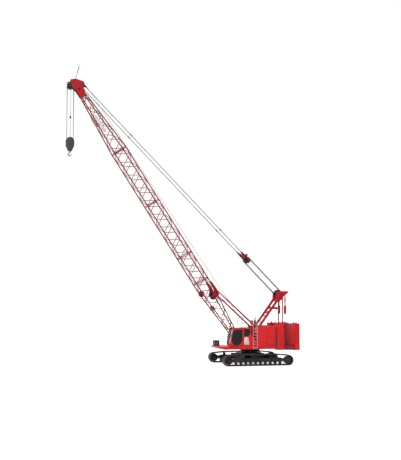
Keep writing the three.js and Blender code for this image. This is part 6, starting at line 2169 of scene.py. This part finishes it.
def chordHalves(x):
    b = boom

    def between(x0, x1, first, last):
        share = min(1.0, max(0.0, (x - x0) / (x1 - x0)))
        return [p + (q - p) * share for p, q in zip(first, last)]

    full = (b["halfWidth"], b["halfDepth"])
    if x <= b["ends"][1]:
        return between(b["taperStart"], b["taperEnd"], b["foot"], full)
    return between(b["ends"][4], b["ends"][5], full, b["tip"])


def axisDrop(x):
    # the top section tapers mostly on its upper side
    b = boom
    return b["tipDrop"] * max(0.0, (x - b["ends"][4]) / (b["ends"][5] - b["ends"][4]))


def chordPoint(x, side, face):
    wide, deep = chordHalves(x)
    return Vector((x, side * wide, face * deep - axisDrop(x)))


def latticeMembers(start, end, bays, breaks):
    # four chords, zigzag lacing on each face and a square frame at each end
    b = boom
    corners = [(1, 1), (1, -1), (-1, -1), (-1, 1)]
    stations = [start + 0.002, *breaks, end - 0.002]
    for side, face in corners:
        for x0, x1 in zip(stations, stations[1:]):
            rod(chordPoint(x0, side, face), chordPoint(x1, side, face), b["chord"], b["chordSides"])
        for x in breaks:
            ball(chordPoint(x, side, face), b["chord"] * 1.002, (1, 1, 1), 18)
    first, last = start + b["chord"], end - b["chord"]
    step = (last - first) / (2 * bays)
    for i, corner in enumerate(corners):
        following = corners[(i + 1) % 4]
        for x in (first, last):
            rod(chordPoint(x, *corner), chordPoint(x, *following), b["lace"], b["laceSides"])
        for k in range(2 * bays):
            x = first + k * step
            near, far = (corner, following) if (k + i) % 2 else (following, corner)
            rod(chordPoint(x, *near), chordPoint(x + step, *far), b["lace"], b["laceSides"])


def placeOnBoom(piece):
    return placeAt(piece, boomFoot, boomAngle)


def boomSections():
    b = boom
    for i, node in enumerate(b["pieces"]):
        start, end = b["ends"][i], b["ends"][i + 1]
        words = node.split("_")
        piece = openPiece(words[0] + "".join(word.title() for word in words[1:]))
        latticeMembers(start, end, b["bays"][i], [b["taperEnd"]] if i == 0 else [])
        for x in (start, end):
            if x == b["ends"][0] or x == b["ends"][-1]:
                continue
            way = 1 if x == start else -1
            for side in (-1, 1):
                for face in (-1, 1):
                    spot = chordPoint(x, side, face)
                    rod(spot + Vector((way * 0.16, 0, 0)), spot + Vector((way * 0.05, 0, 0)), 0.068, 18, 0.060)
        if i == 0:
            buttEnd()
        piece = closePiece(smooth=40)
        placeOnBoom(piece)
        finishPiece(piece, "boom", "red_paint", "boomRed", node)


def buttEnd():
    # foot plates round the foot pin, and the lugs that the backstops push on
    b = boom
    eye = b["footEye"]
    outline = [(eye * math.cos(t), eye * math.sin(t)) for t in [math.pi / 2 + math.pi * k / 16 for k in range(17)]]
    outline += [(0.95, -0.257), (0.95, 0.257)]
    for side in (-1, 1):
        low, high = sorted((side * 0.352, side * 0.440))
        plate(outline, low, high, "Y", 0.008)
        low, high = sorted((side * 0.345, side * 0.4435))
        ring = [(b["footPin"] + 0.003, low), (eye + 0.012, low), (eye + 0.012, high), (b["footPin"] + 0.003, high)]
        turned(ring, (0, 0, 0), "Y", 32)
        gusset = [(0.55, 0.20), (0.95, 0.20), (1.30, 0.24), (1.30, 0.26), (0.55, 0.26)]
        low, high = sorted((side * b["lugY"][0], side * b["lugY"][1]))
        x, z = b["lugPin"]
        lug = [(x - 0.78, z - 0.53), (x - 0.34, z - 0.57), (x + 0.05, z - 0.21), (x + 0.05, z + 0.12), (x - 0.60, z + 0.05)]
        plate(rounded(lug, [0.05, 0.08, 0.01, 0.01, 0.10], 4), low, high, "Y", 0.006)
        arm = [(x + 0.03, z - 0.205), (x + 0.95, z - 0.13), (x + 0.95, z + 0.07), (x + 0.03, z + 0.115)]
        plate(rounded(arm, [0.01, 0.05, 0.05, 0.01], 4), low + 0.003, high - 0.003, "Y", 0.006)
        for dx, dz in ((-0.55, -0.22), (0.35, -0.03), (0.75, -0.03)):
            boss = [(0.03, -0.006), (0.062, -0.006), (0.062, 0.010), (0.03, 0.010)]
            turned([(r, side * y) for r, y in boss], (x + dx, side * b["lugY"][1], z + dz), "Y", 20)
    rod((0.90, -0.36, 0.0), (0.90, 0.36, 0.0), 0.06, 18)


def boomJoints():
    # pinned forks where the sections meet
    b = boom
    piece = openPiece("boomJointPins")
    for x in b["ends"][1:5]:
        for side in (-1, 1):
            for face in (-1, 1):
                spot = chordPoint(x, side, face)
                for y in (-0.052, 0.036):
                    cheek = [(x - 0.13, spot.z - 0.050), (x + 0.13, spot.z - 0.050), (x + 0.13, spot.z + 0.050), (x - 0.13, spot.z + 0.050)]
                    plate(rounded(cheek, 0.045, 4), spot.y + y, spot.y + y + 0.016, "Y")
                rod(spot - Vector((0, 0.075, 0)), spot + Vector((0, 0.075, 0)), 0.027, 16)
                rod(spot + Vector((0, 0.066, 0)), spot + Vector((0, 0.078, 0)), 0.038, 6)
    piece = closePiece(smooth=36)
    placeOnBoom(piece)
    finishPiece(piece, "boom", "dark_steel", "boomRed")


def guideSheaves():
    for name, finish, slot, rows in (
        ("lowerGuideSheave", "fadedRed", "red_paint", ((4.7, 0.270, 0.045),)),
        ("middleGuideSheave", "boomRed", "red_paint", ((6.5, 0.300, 0.045),)),
        ("lugGuideSheave", "sheaveSteel", "dark_steel", ((5.66, 0.330, 0.060),)),
    ):
        piece = openPiece(name)
        for x, radius, half in rows:
            wide, deep = chordHalves(x)
            z = 0.28 if finish == "sheaveSteel" else 0.03 - deep
            reach = boom["lugY"][0] + 0.008 if finish == "sheaveSteel" else wide
            turned(sheaveProfile(radius, half), (x, 0, z), "Y", 36)
            rod((x, -reach, z), (x, reach, z), 0.040, 16)
            for side in (-1, 1):
                rod((x, side * (half + 0.002), z), (x, side * (half + 0.06), z), 0.075, 20)
        piece = closePiece(smooth=30)
        placeOnBoom(piece)
        finishPiece(piece, "boom", slot, finish)


def boomFittings():
    # sign board left bare, a sheet on the under side, lamp bracket and boom-foot cables' box
    piece = openPiece("boomBoard")
    board = rounded([(25.05, -0.40), (27.00, -0.40), (27.00, -0.13), (25.05, -0.13)], 0.04, 4)
    plate(board, 0.0, 0.012, "Y", 0.003)
    for vert in wholeMesh().verts:
        vert.co.y += chordHalves(vert.co.x)[0] + 0.060
    showMesh()
    piece = closePiece(smooth=34)
    placeOnBoom(piece)
    finishPiece(piece, "boom", "pale_paint", "boardWhite")
    piece = openPiece("boomBrackets")
    for x in (25.3, 26.0, 26.75):
        wide, deep = chordHalves(x)
        drop = axisDrop(x)
        rod((x, wide + 0.055, -deep + 0.02 - drop), (x, wide + 0.055, deep - 0.02 - drop), 0.016, 10)
    sheetX = (25.95, 26.95)
    for x in sheetX:
        wide, deep = chordHalves(x)
        low = -deep - axisDrop(x)
        rod((x, -wide, low), (x, wide, low), 0.022, 10)
    wide, deep = chordHalves(sheetX[0])
    low = -deep - axisDrop(sheetX[0]) - 0.065
    box((sheetX[0], -wide + 0.02, low), (sheetX[1], wide - 0.02, low + 0.015), 0.004)
    piece = closePiece(smooth=34)
    placeOnBoom(piece)
    finishPiece(piece, "boom", "red_paint", "boomRed")
    piece = openPiece("boomLamp")
    x = 3.28
    wide, deep = chordHalves(x)
    box((x - 0.05, wide - 0.02, -deep - 0.16), (x + 0.05, wide + 0.05, -deep + 0.02), 0.006)
    turned([(0.01, 0.0), (0.05, 0.0), (0.10, 0.05), (0.105, 0.10), (0.092, 0.105), (0.01, 0.07)], (x - 0.18, wide + 0.015, -deep - 0.18), "X", 24)
    rod((x - 0.14, wide + 0.015, -deep - 0.18), (x, wide + 0.015, -deep - 0.10), 0.02, 10)
    piece = closePiece(smooth=34)
    placeOnBoom(piece)
    finishPiece(piece, "boom", "pale_paint", "boardWhite")


boomSections()
boomJoints()
guideSheaves()
boomFittings()
print("boom sections built")


# ---- boom head

head = {
    "plateY": (0.34, 0.40),
    "start": 29.2003,
    "length": 1.80,
    "sheave": (30.70, -0.64, 0.33),
    "guide": (30.35, 0.47, 0.23),
    "pendant": (30.0, 0.40),
    "window": (29.95, -0.14),
    "windowRadius": 0.12,
    "base": (-0.44, 0.20),
    "mastLength": 1.46,
    "mastLean": math.atan2(1120, 980),
}


def headFrame():
    h = head
    start = h["start"]
    sheaveX, sheaveZ, _ = h["sheave"]
    guideX, guideZ, guideR = h["guide"]
    pendantX, pendantZ = h["pendant"]
    end = start + h["length"]
    baseLow, baseHigh = h["base"]
    outline = [(start, baseLow), (start + 0.80, baseLow - 0.02), (sheaveX - 0.26, sheaveZ + 0.03), (sheaveX + 0.06, sheaveZ + 0.10)]
    outline += [(sheaveX + 0.34, sheaveZ + 0.16), (sheaveX + 0.50, sheaveZ + 0.28), (end, 0.12), (guideX + 0.20, guideZ + 0.03)]
    outline += [(guideX + 0.04, guideZ + 0.16), (guideX - 0.14, guideZ + 0.06), (pendantX + 0.02, pendantZ + 0.10)]
    outline += [(pendantX - 0.12, pendantZ + 0.06), (pendantX - 0.16, pendantZ - 0.24), (start, baseHigh)]
    eased = rounded(outline, [0.03, 0.2, 0.04, 0.05, 0.05, 0.03, 0.03, 0.04, 0.04, 0.03, 0.05, 0.05, 0.15, 0.03], 4)
    windowX, windowZ = h["window"]
    window = [(windowX + h["windowRadius"] * math.cos(t), windowZ + h["windowRadius"] * math.sin(t)) for t in [math.tau * k / 32 for k in range(32)]]
    plates = []
    for side in (-1, 1):
        low, high = sorted((side * h["plateY"][0], side * h["plateY"][1]))
        cheek = solidPlate("cheek", eased, low, high)
        cutAway(cheek, solidPlate("window", window, low - 0.05, high + 0.05))
        holdOnly(cheek)
        softenEdges(cheek, 0.007, 2, 40)
        bpy.ops.object.shade_smooth_by_angle(angle=math.radians(34))
        plates.append(cheek)
    piece = openPiece("headCrossMembers")
    box((start, -0.345, baseLow + 0.07), (start + 0.06, 0.345, baseHigh), 0.008)
    rod((windowX, -0.30, windowZ), (windowX, 0.30, windowZ), h["windowRadius"] + 0.04, 24)
    rod((pendantX, -0.63, pendantZ), (pendantX, 0.63, pendantZ), 0.050, 20)
    rod((guideX, -0.345, guideZ), (guideX, 0.345, guideZ), 0.040, 16)
    rod((end - 0.12, -0.345, -0.15), (end - 0.12, 0.345, -0.15), 0.050, 18)
    for x, z in ((start + 0.45, -0.26), (start + 0.45, 0.08)):
        rod((x, -0.345, z), (x, 0.345, z), 0.035, 14)
    for side in (-1, 1):
        face = side * h["plateY"][1]
        for x, z, size in ((guideX, guideZ, 0.080), (pendantX, pendantZ, 0.070)):
            boss = [(0.004, 0.0), (size, 0.0), (size + 0.01, 0.008), (size + 0.01, 0.024), (size - 0.02, 0.034), (0.004, 0.034)]
            turned([(r, side * y) for r, y in boss], (x, face, z), "Y", 24)
            ringOfBolts((x, face + side * 0.026, z), size - 0.022, 6, 0.009, "Y", side * 0.008)
        rim = [(h["windowRadius"] + 0.001, -0.004), (h["windowRadius"] + 0.03, -0.004), (h["windowRadius"] + 0.03, 0.010), (h["windowRadius"] + 0.001, 0.010)]
        turned([(r, side * y) for r, y in rim], (windowX, face, windowZ), "Y", 32)
        inner, outer = sorted((face, face + side * 0.012))
        for x in (start + 0.14, start + 0.36):
            box((x - 0.03, inner, baseLow + 0.05), (x + 0.03, outer, baseHigh - 0.05), 0.004)
    piece = closePiece(smooth=34)
    whole = joined([*plates, piece], "boomHeadFrame")
    placeOnBoom(whole)
    finishPiece(whole, "boom", "red_paint", "frameRed", "boom_head")

    piece = openPiece("headGuideSheave")
    turned(sheaveProfile(guideR, 0.055), (guideX, 0, guideZ), "Y", 32)
    piece = closePiece(smooth=30)
    placeOnBoom(piece)
    finishPiece(piece, "boom", "dark_steel", "sheaveSteel")

    # the wind gauge's mast: a thin lower half, a stouter upper one and three cups
    piece = openPiece("windGaugeMast")
    foot = Vector((end - 0.06, 0.37, 0.0))
    way = Vector((math.cos(h["mastLean"]), 0, math.sin(h["mastLean"])))
    square = Vector((-way.z, 0, way.x))
    tip = foot + way * h["mastLength"]
    rod(foot - way * 0.05, foot + way * 0.75, 0.020, 10)
    rod(foot + way * 0.70, tip - way * 0.10, 0.032, 12)
    rod(tip - way * 0.12, tip, 0.010, 8)
    for k in range(3):
        turn = math.tau * k / 3
        arm = square * (0.085 * math.cos(turn)) + Vector((0, 0.085 * math.sin(turn), 0))
        rod(tip - way * 0.02, tip - way * 0.02 + arm, 0.004, 6)
        ball(tip - way * 0.02 + arm, 0.020, (1, 1, 1), 10)
    box((foot.x - 0.06, foot.y - 0.02, -0.06), (foot.x + 0.05, foot.y + 0.035, 0.06), 0.006)
    piece = closePiece(smooth=40)
    placeOnBoom(piece)
    finishPiece(piece, "boom", "dark_steel", "sheaveSteel")

    # rope keepers in front of the point sheaves, and the load sensor's bracket behind
    piece = openPiece("sheaveForks")
    fork = [(-0.36, 0.30), (-0.30, -0.04), (-0.10, -0.17), (0.06, -0.34), (0.14, -0.345), (0.13, -0.24), (0.06, -0.14)]
    fork += [(0.20, -0.08), (0.40, -0.20), (0.46, -0.17), (0.34, 0.02), (0.36, 0.22), (0.20, 0.32)]
    for side in (-1, 1):
        inner, outer = sorted((side * 0.343, side * 0.372))
        plate(rounded([(sheaveX + x, sheaveZ + z) for x, z in fork], 0.03, 3), inner, outer, "Y", 0.004)
        hub = [(0.004, 0.0), (0.095, 0.0), (0.105, 0.008), (0.105, 0.024), (0.085, 0.034), (0.004, 0.034)]
        turned([(r, side * y) for r, y in hub], (sheaveX, side * 0.372, sheaveZ), "Y", 24)
        ringOfBolts((sheaveX, side * 0.398, sheaveZ), 0.083, 6, 0.009, "Y", side * 0.008)
    rod((sheaveX, -0.35, sheaveZ), (sheaveX, 0.35, sheaveZ), 0.045, 18)
    for z in (sheaveZ + 0.27, sheaveZ + 0.02):
        rod((sheaveX + 0.31, -0.30, z), (sheaveX + 0.31, 0.30, z), 0.022, 12)
    for side in (-1, 1):
        low, high = sorted((side * 0.30, side * 0.335))
        fork = [(sheaveX + 0.10, sheaveZ + 0.34), (sheaveX + 0.34, sheaveZ + 0.31), (sheaveX + 0.36, sheaveZ + 0.24), (sheaveX + 0.30, sheaveZ + 0.20), (sheaveX + 0.10, sheaveZ + 0.22)]
        plate(rounded(fork, 0.02, 2), low, high, "Y")
        fork = [(sheaveX + 0.24, sheaveZ - 0.04), (sheaveX + 0.35, sheaveZ - 0.02), (sheaveX + 0.35, sheaveZ + 0.06), (sheaveX + 0.24, sheaveZ + 0.06)]
        plate(rounded(fork, 0.02, 2), low, high, "Y")
    piece = closePiece(smooth=34)
    placeOnBoom(piece)
    finishPiece(piece, "boom", "dark_steel", "sheaveSteel")


headFrame()

piece = openPiece("pointSheaveRow")
pointPitch = sheaveRow(tuple(pointAxle), 0.33, 3, 0.339)
piece = closePiece(smooth=30)
finishPiece(piece, "point_sheaves", "black_paint", "sheaveSteel", "point_sheaves")
print("boom head built")


# ---- hook block and load falls

block = {
    "top": pointAxle.z - 5.05,
    "height": 1.38,
    "half": 0.40,
    "cheekY": (0.12, 0.19),
    "sheaveDrop": 0.39,
    "sheaveRadius": 0.33,
    "sheavePitch": 0.072,
    "blendTop": 27.2,
    "blendBottom": 22.25,
    "weightZ": 24.17,
    "weightShare": 0.567,
}


def hookBlock():
    b = block
    x, top = pointAxle.x, b["top"]
    bottom = top - b["height"]
    half = b["half"]
    axleZ = top - b["sheaveDrop"]
    arc = [(x + half * math.cos(t), top - half + half * math.sin(t)) for t in [math.pi * k / 20 for k in range(21)]]
    outline = arc + [(x - half, top - b["height"] * 0.62), (x - half * 0.42, bottom), (x + half * 0.42, bottom), (x + half, top - b["height"] * 0.62)]
    piece = openPiece("hookBlockBody")
    for side in (-1, 1):
        low, high = sorted((side * b["cheekY"][0], side * b["cheekY"][1]))
        plate(outline, low, high, "Y", 0.010)
        inner = insetBy(list(outline), 0.07)
        low, high = sorted((side * b["cheekY"][1], side * (b["cheekY"][1] + 0.010)))
        plate(inner, low, high, "Y", 0.004)
        boss = [(0.004, 0.0), (0.085, 0.0), (0.095, 0.010), (0.095, 0.024), (0.07, 0.034), (0.004, 0.034)]
        turned([(r, side * y) for r, y in boss], (x, side * (b["cheekY"][1] + 0.006), axleZ), "Y", 28)
        ringOfBolts((x, side * (b["cheekY"][1] + 0.030), axleZ), 0.062, 6, 0.009, "Y", side * 0.008)
        for dx, dz in ((-0.28, -0.72), (0.28, -0.72), (-0.13, -1.27), (0.13, -1.27), (-0.30, -0.20), (0.30, -0.20)):
            spot = (x + dx * 0.92, side * (b["cheekY"][1] + 0.008), top + dz)
            rod(spot, (spot[0], spot[1] + side * 0.018, spot[2]), 0.020, 6)
    shoulder = top - b["height"] * 0.66
    weight = [(x - half * 0.9, shoulder), (x - half * 0.40, bottom + 0.01), (x + half * 0.40, bottom + 0.01), (x + half * 0.9, shoulder)]
    plate(weight, -0.135, 0.135, "Y", 0.01)
    rod((x, -0.21, axleZ), (x, 0.21, axleZ), 0.055, 20)
    for dx in (-0.30, 0.30):
        rod((x + dx, -0.13, top - 0.16), (x + dx, 0.13, top - 0.16), 0.020, 12)
    piece = closePiece(smooth=34)
    finishPiece(piece, "hook_block", "black_paint", "blockSteel", "hook_block")
    piece = openPiece("blockSheaves")
    for k in (-1, 0, 1):
        turned(sheaveProfile(b["sheaveRadius"], 0.032), (x, k * b["sheavePitch"], axleZ), "Y", 36)
    piece = closePiece(smooth=30)
    finishPiece(piece, "hook_block", "dark_steel", "sheaveSteel")


def sweptHook():
    # a forged hook: one tapering bar from the shank round the throat to its tip, with a safety latch
    x, bottom = pointAxle.x, block["top"] - block["height"]
    z = bottom - 0.30
    spine = [(x, z + 0.27, 0.052), (x + 0.004, z + 0.21, 0.050), (x + 0.030, z + 0.165, 0.052)]
    for k in range(19):
        turn = math.radians(58 - 256 * k / 18)
        thick = 0.052 + 0.020 * math.sin(math.pi * min(1, k / 12)) - 0.026 * max(0, (k - 11) / 7)
        spine.append((x + 0.150 * math.cos(turn), z + 0.150 * math.sin(turn), thick))
    piece = openPiece("hookBody")
    bpy.ops.mesh.primitive_circle_add(vertices=14, radius=1)
    ring = sorted(picked(), key=lambda vert: vert.index)
    mesh = wholeMesh()
    loops = []
    for i, (px, pz, thick) in enumerate(spine):
        before = spine[max(0, i - 1)]
        after = spine[min(len(spine) - 1, i + 1)]
        along = Vector((after[0] - before[0], 0, after[1] - before[1])).normalized()
        out = Vector((along.z, 0, -along.x))
        loop = ring if i == 0 else [mesh.verts.new((0, 0, 0)) for _ in ring]
        for k, vert in enumerate(loop):
            turn = math.tau * k / len(loop)
            vert.co = Vector((px, 0, pz)) + out * thick * math.cos(turn) + Vector((0, thick * 0.78 * math.sin(turn), 0))
        loops.append(loop)
    for a, b in zip(loops, loops[1:]):
        for k in range(len(a)):
            j = (k + 1) % len(a)
            mesh.faces.new((a[k], a[j], b[j], b[k]))
    mesh.faces.new(loops[0])
    mesh.faces.new(list(reversed(loops[-1])))
    showMesh()
    collar = [(0.02, 0.20), (0.050, 0.20), (0.062, 0.215), (0.062, 0.245), (0.085, 0.252), (0.085, 0.2985), (0.02, 0.2985)]
    turned(collar, (x, 0, z), "Z", 28)
    latch = [(x - 0.010, z + 0.185), (x - 0.120, z + 0.070), (x - 0.132, z + 0.078), (x - 0.020, z + 0.200)]
    plate(latch, -0.022, 0.022, "Y")
    rod((x - 0.012, -0.034, z + 0.190), (x - 0.012, 0.034, z + 0.190), 0.012, 10)
    piece = closePiece(smooth=50)
    finishPiece(piece, "hook", "grey_steel", "brightSteel", "hook")


def loadFalls():
    b = block
    bottomAxle = Vector((pointAxle.x, 0, b["top"] - b["sheaveDrop"]))
    runs = []
    down = -math.pi / 2
    for k in (-1, 0, 1):
        loop = wrap(pointAxle, bottomAxle, b["sheaveRadius"] - line["bed"], k * pointPitch, k * b["sheavePitch"], down)
        runs.append(tube(loop, line["ropeRadius"], "run", closed=True, sides=8))
    # the dead end, which the weight hangs round
    high = pointAxle + Vector((-0.02, pointPitch / 2, -0.05))
    low = Vector((pointAxle.x - 0.02, 0, b["top"] - 0.02))
    runs.append(tube([tuple(high.lerp(low, k / 24)) for k in range(25)], line["ropeRadius"], "run", sides=8))
    falls = joined(runs, "loadFalls")
    falls.data.materials.clear()
    falls.data.materials.append(finishes["hoistRope"])
    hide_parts("load_fall")
    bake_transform(falls)


def blockWeight():
    # the anti-two-block weight, hung round the rear rope
    b = block
    x = pointAxle.x - 0.02
    piece = openPiece("limitWeight")
    shape = [(0.020, -0.13), (0.055, -0.13), (0.070, -0.11), (0.070, 0.09), (0.045, 0.13), (0.020, 0.13)]
    turned(shape, (x, 0, b["weightZ"]), "Z", 24)
    for side in (-1, 1):
        rod((x, side * 0.045, b["weightZ"] + 0.11), (x, side * 0.012, b["weightZ"] + 0.24), 0.007, 8)
    ball((x, 0, b["weightZ"] + 0.25), 0.018, (1, 1, 1), 12)
    piece = closePiece(smooth=34)
    piece.data.materials.clear()
    piece.data.materials.append(finishes["chassisBlack"])
    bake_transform(piece)


def tangentRun(fromCircle, toCircle):
    # a straight rope over two circles, on their upper sides
    (ax, az, ar), (bx, bz, br) = fromCircle, toCircle
    along = Vector((bx - ax, bz - az))
    reach = along.length
    along.normalize()
    square = Vector((-along.y, along.x))
    tilt = (ar - br) / reach
    out = along * tilt + square * math.sqrt(1 - tilt * tilt)
    return Vector((ax, az)) + out * ar, Vector((bx, bz)) + out * br, out


def hoistRope():
    # from the main drum over the head's guide sheave and down on to a point sheave
    h = head
    centre = Vector((-0.26, 0, drum["z"]))
    toDrum = centre - boomFoot
    turn = Matrix.Rotation(boomAngle, 3, "Y") @ toDrum
    winch = (turn.x, turn.z, drum["radius"] + 0.002)
    guide = (h["guide"][0], h["guide"][1], h["guide"][2] - line["bed"])
    point = (h["sheave"][0], h["sheave"][1], h["sheave"][2] - line["bed"])
    a, b, out = tangentRun(winch, guide)
    c, d, _ = tangentRun(guide, point)
    near = [a.lerp(b, 0.12 * k / 12) for k in range(13)]
    far = [a.lerp(b, 0.12 + 0.88 * k / 8) for k in range(9)]
    start, end = math.atan2(b.y - guide[1], b.x - guide[0]), math.atan2(c.y - guide[1], c.x - guide[0])
    bend = [(guide[0] + guide[2] * math.cos(start + (end - start) * k / 8), guide[1] + guide[2] * math.sin(start + (end - start) * k / 8)) for k in range(1, 8)]
    over = [tuple(p) for p in far] + bend + [tuple(c), tuple(d)]
    rope = tube([tuple(onBoom(p[0], p[1])) for p in over], line["ropeRadius"], "hoistRopeBoom", sides=8)
    finishPiece(rope, "boom", "grey_steel", "hoistRope")
    lead = tube([tuple(onBoom(p.x, p.y)) for p in near], line["ropeRadius"], "hoistRopeLead", sides=8)
    lead.data.materials.clear()
    lead.data.materials.append(finishes["hoistRope"])
    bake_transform(lead)


hookBlock()
sweptHook()
loadFalls()
blockWeight()
hoistRope()
print("hook block and ropes built")


# ---- finishes of the nodes that show as they are

def nodeFinish(node):
    # the paint or metal of a node by what it is
    kinds = {
        "counterweight": "ballastRed",
        "boom_": "boomRed",
        "carbody": "chassisBlack",
        "slew_ring": "chassisBlack",
        "track": "trackSteel",
        "drive_sprocket": "trackSteel",
        "crawler_frame": "chassisBlack",
        "fuel_tank": "chassisBlack",
        "toolbox": "chassisBlack",
        "engine": "engineSteel",
        "drum": "sheaveSteel",
        "sheaves": "sheaveSteel",
        "hook_block": "blockSteel",
        "hook": "brightSteel",
        "fall": "hoistRope",
        "pendant": "hoistRope",
        "rod_": "brightSteel",
        "window": "cabGlass",
        "windscreen": "cabGlass",
        "seat": "seatCloth",
        "ladder": "palePrimer",
        "grab_rail": "palePrimer",
    }
    for part, finish in kinds.items():
        if part in node:
            return finish
    return "craneRed"


for node in frame["nodes"]:
    paintNode(node, nodeFinish(node))

clearSelection()
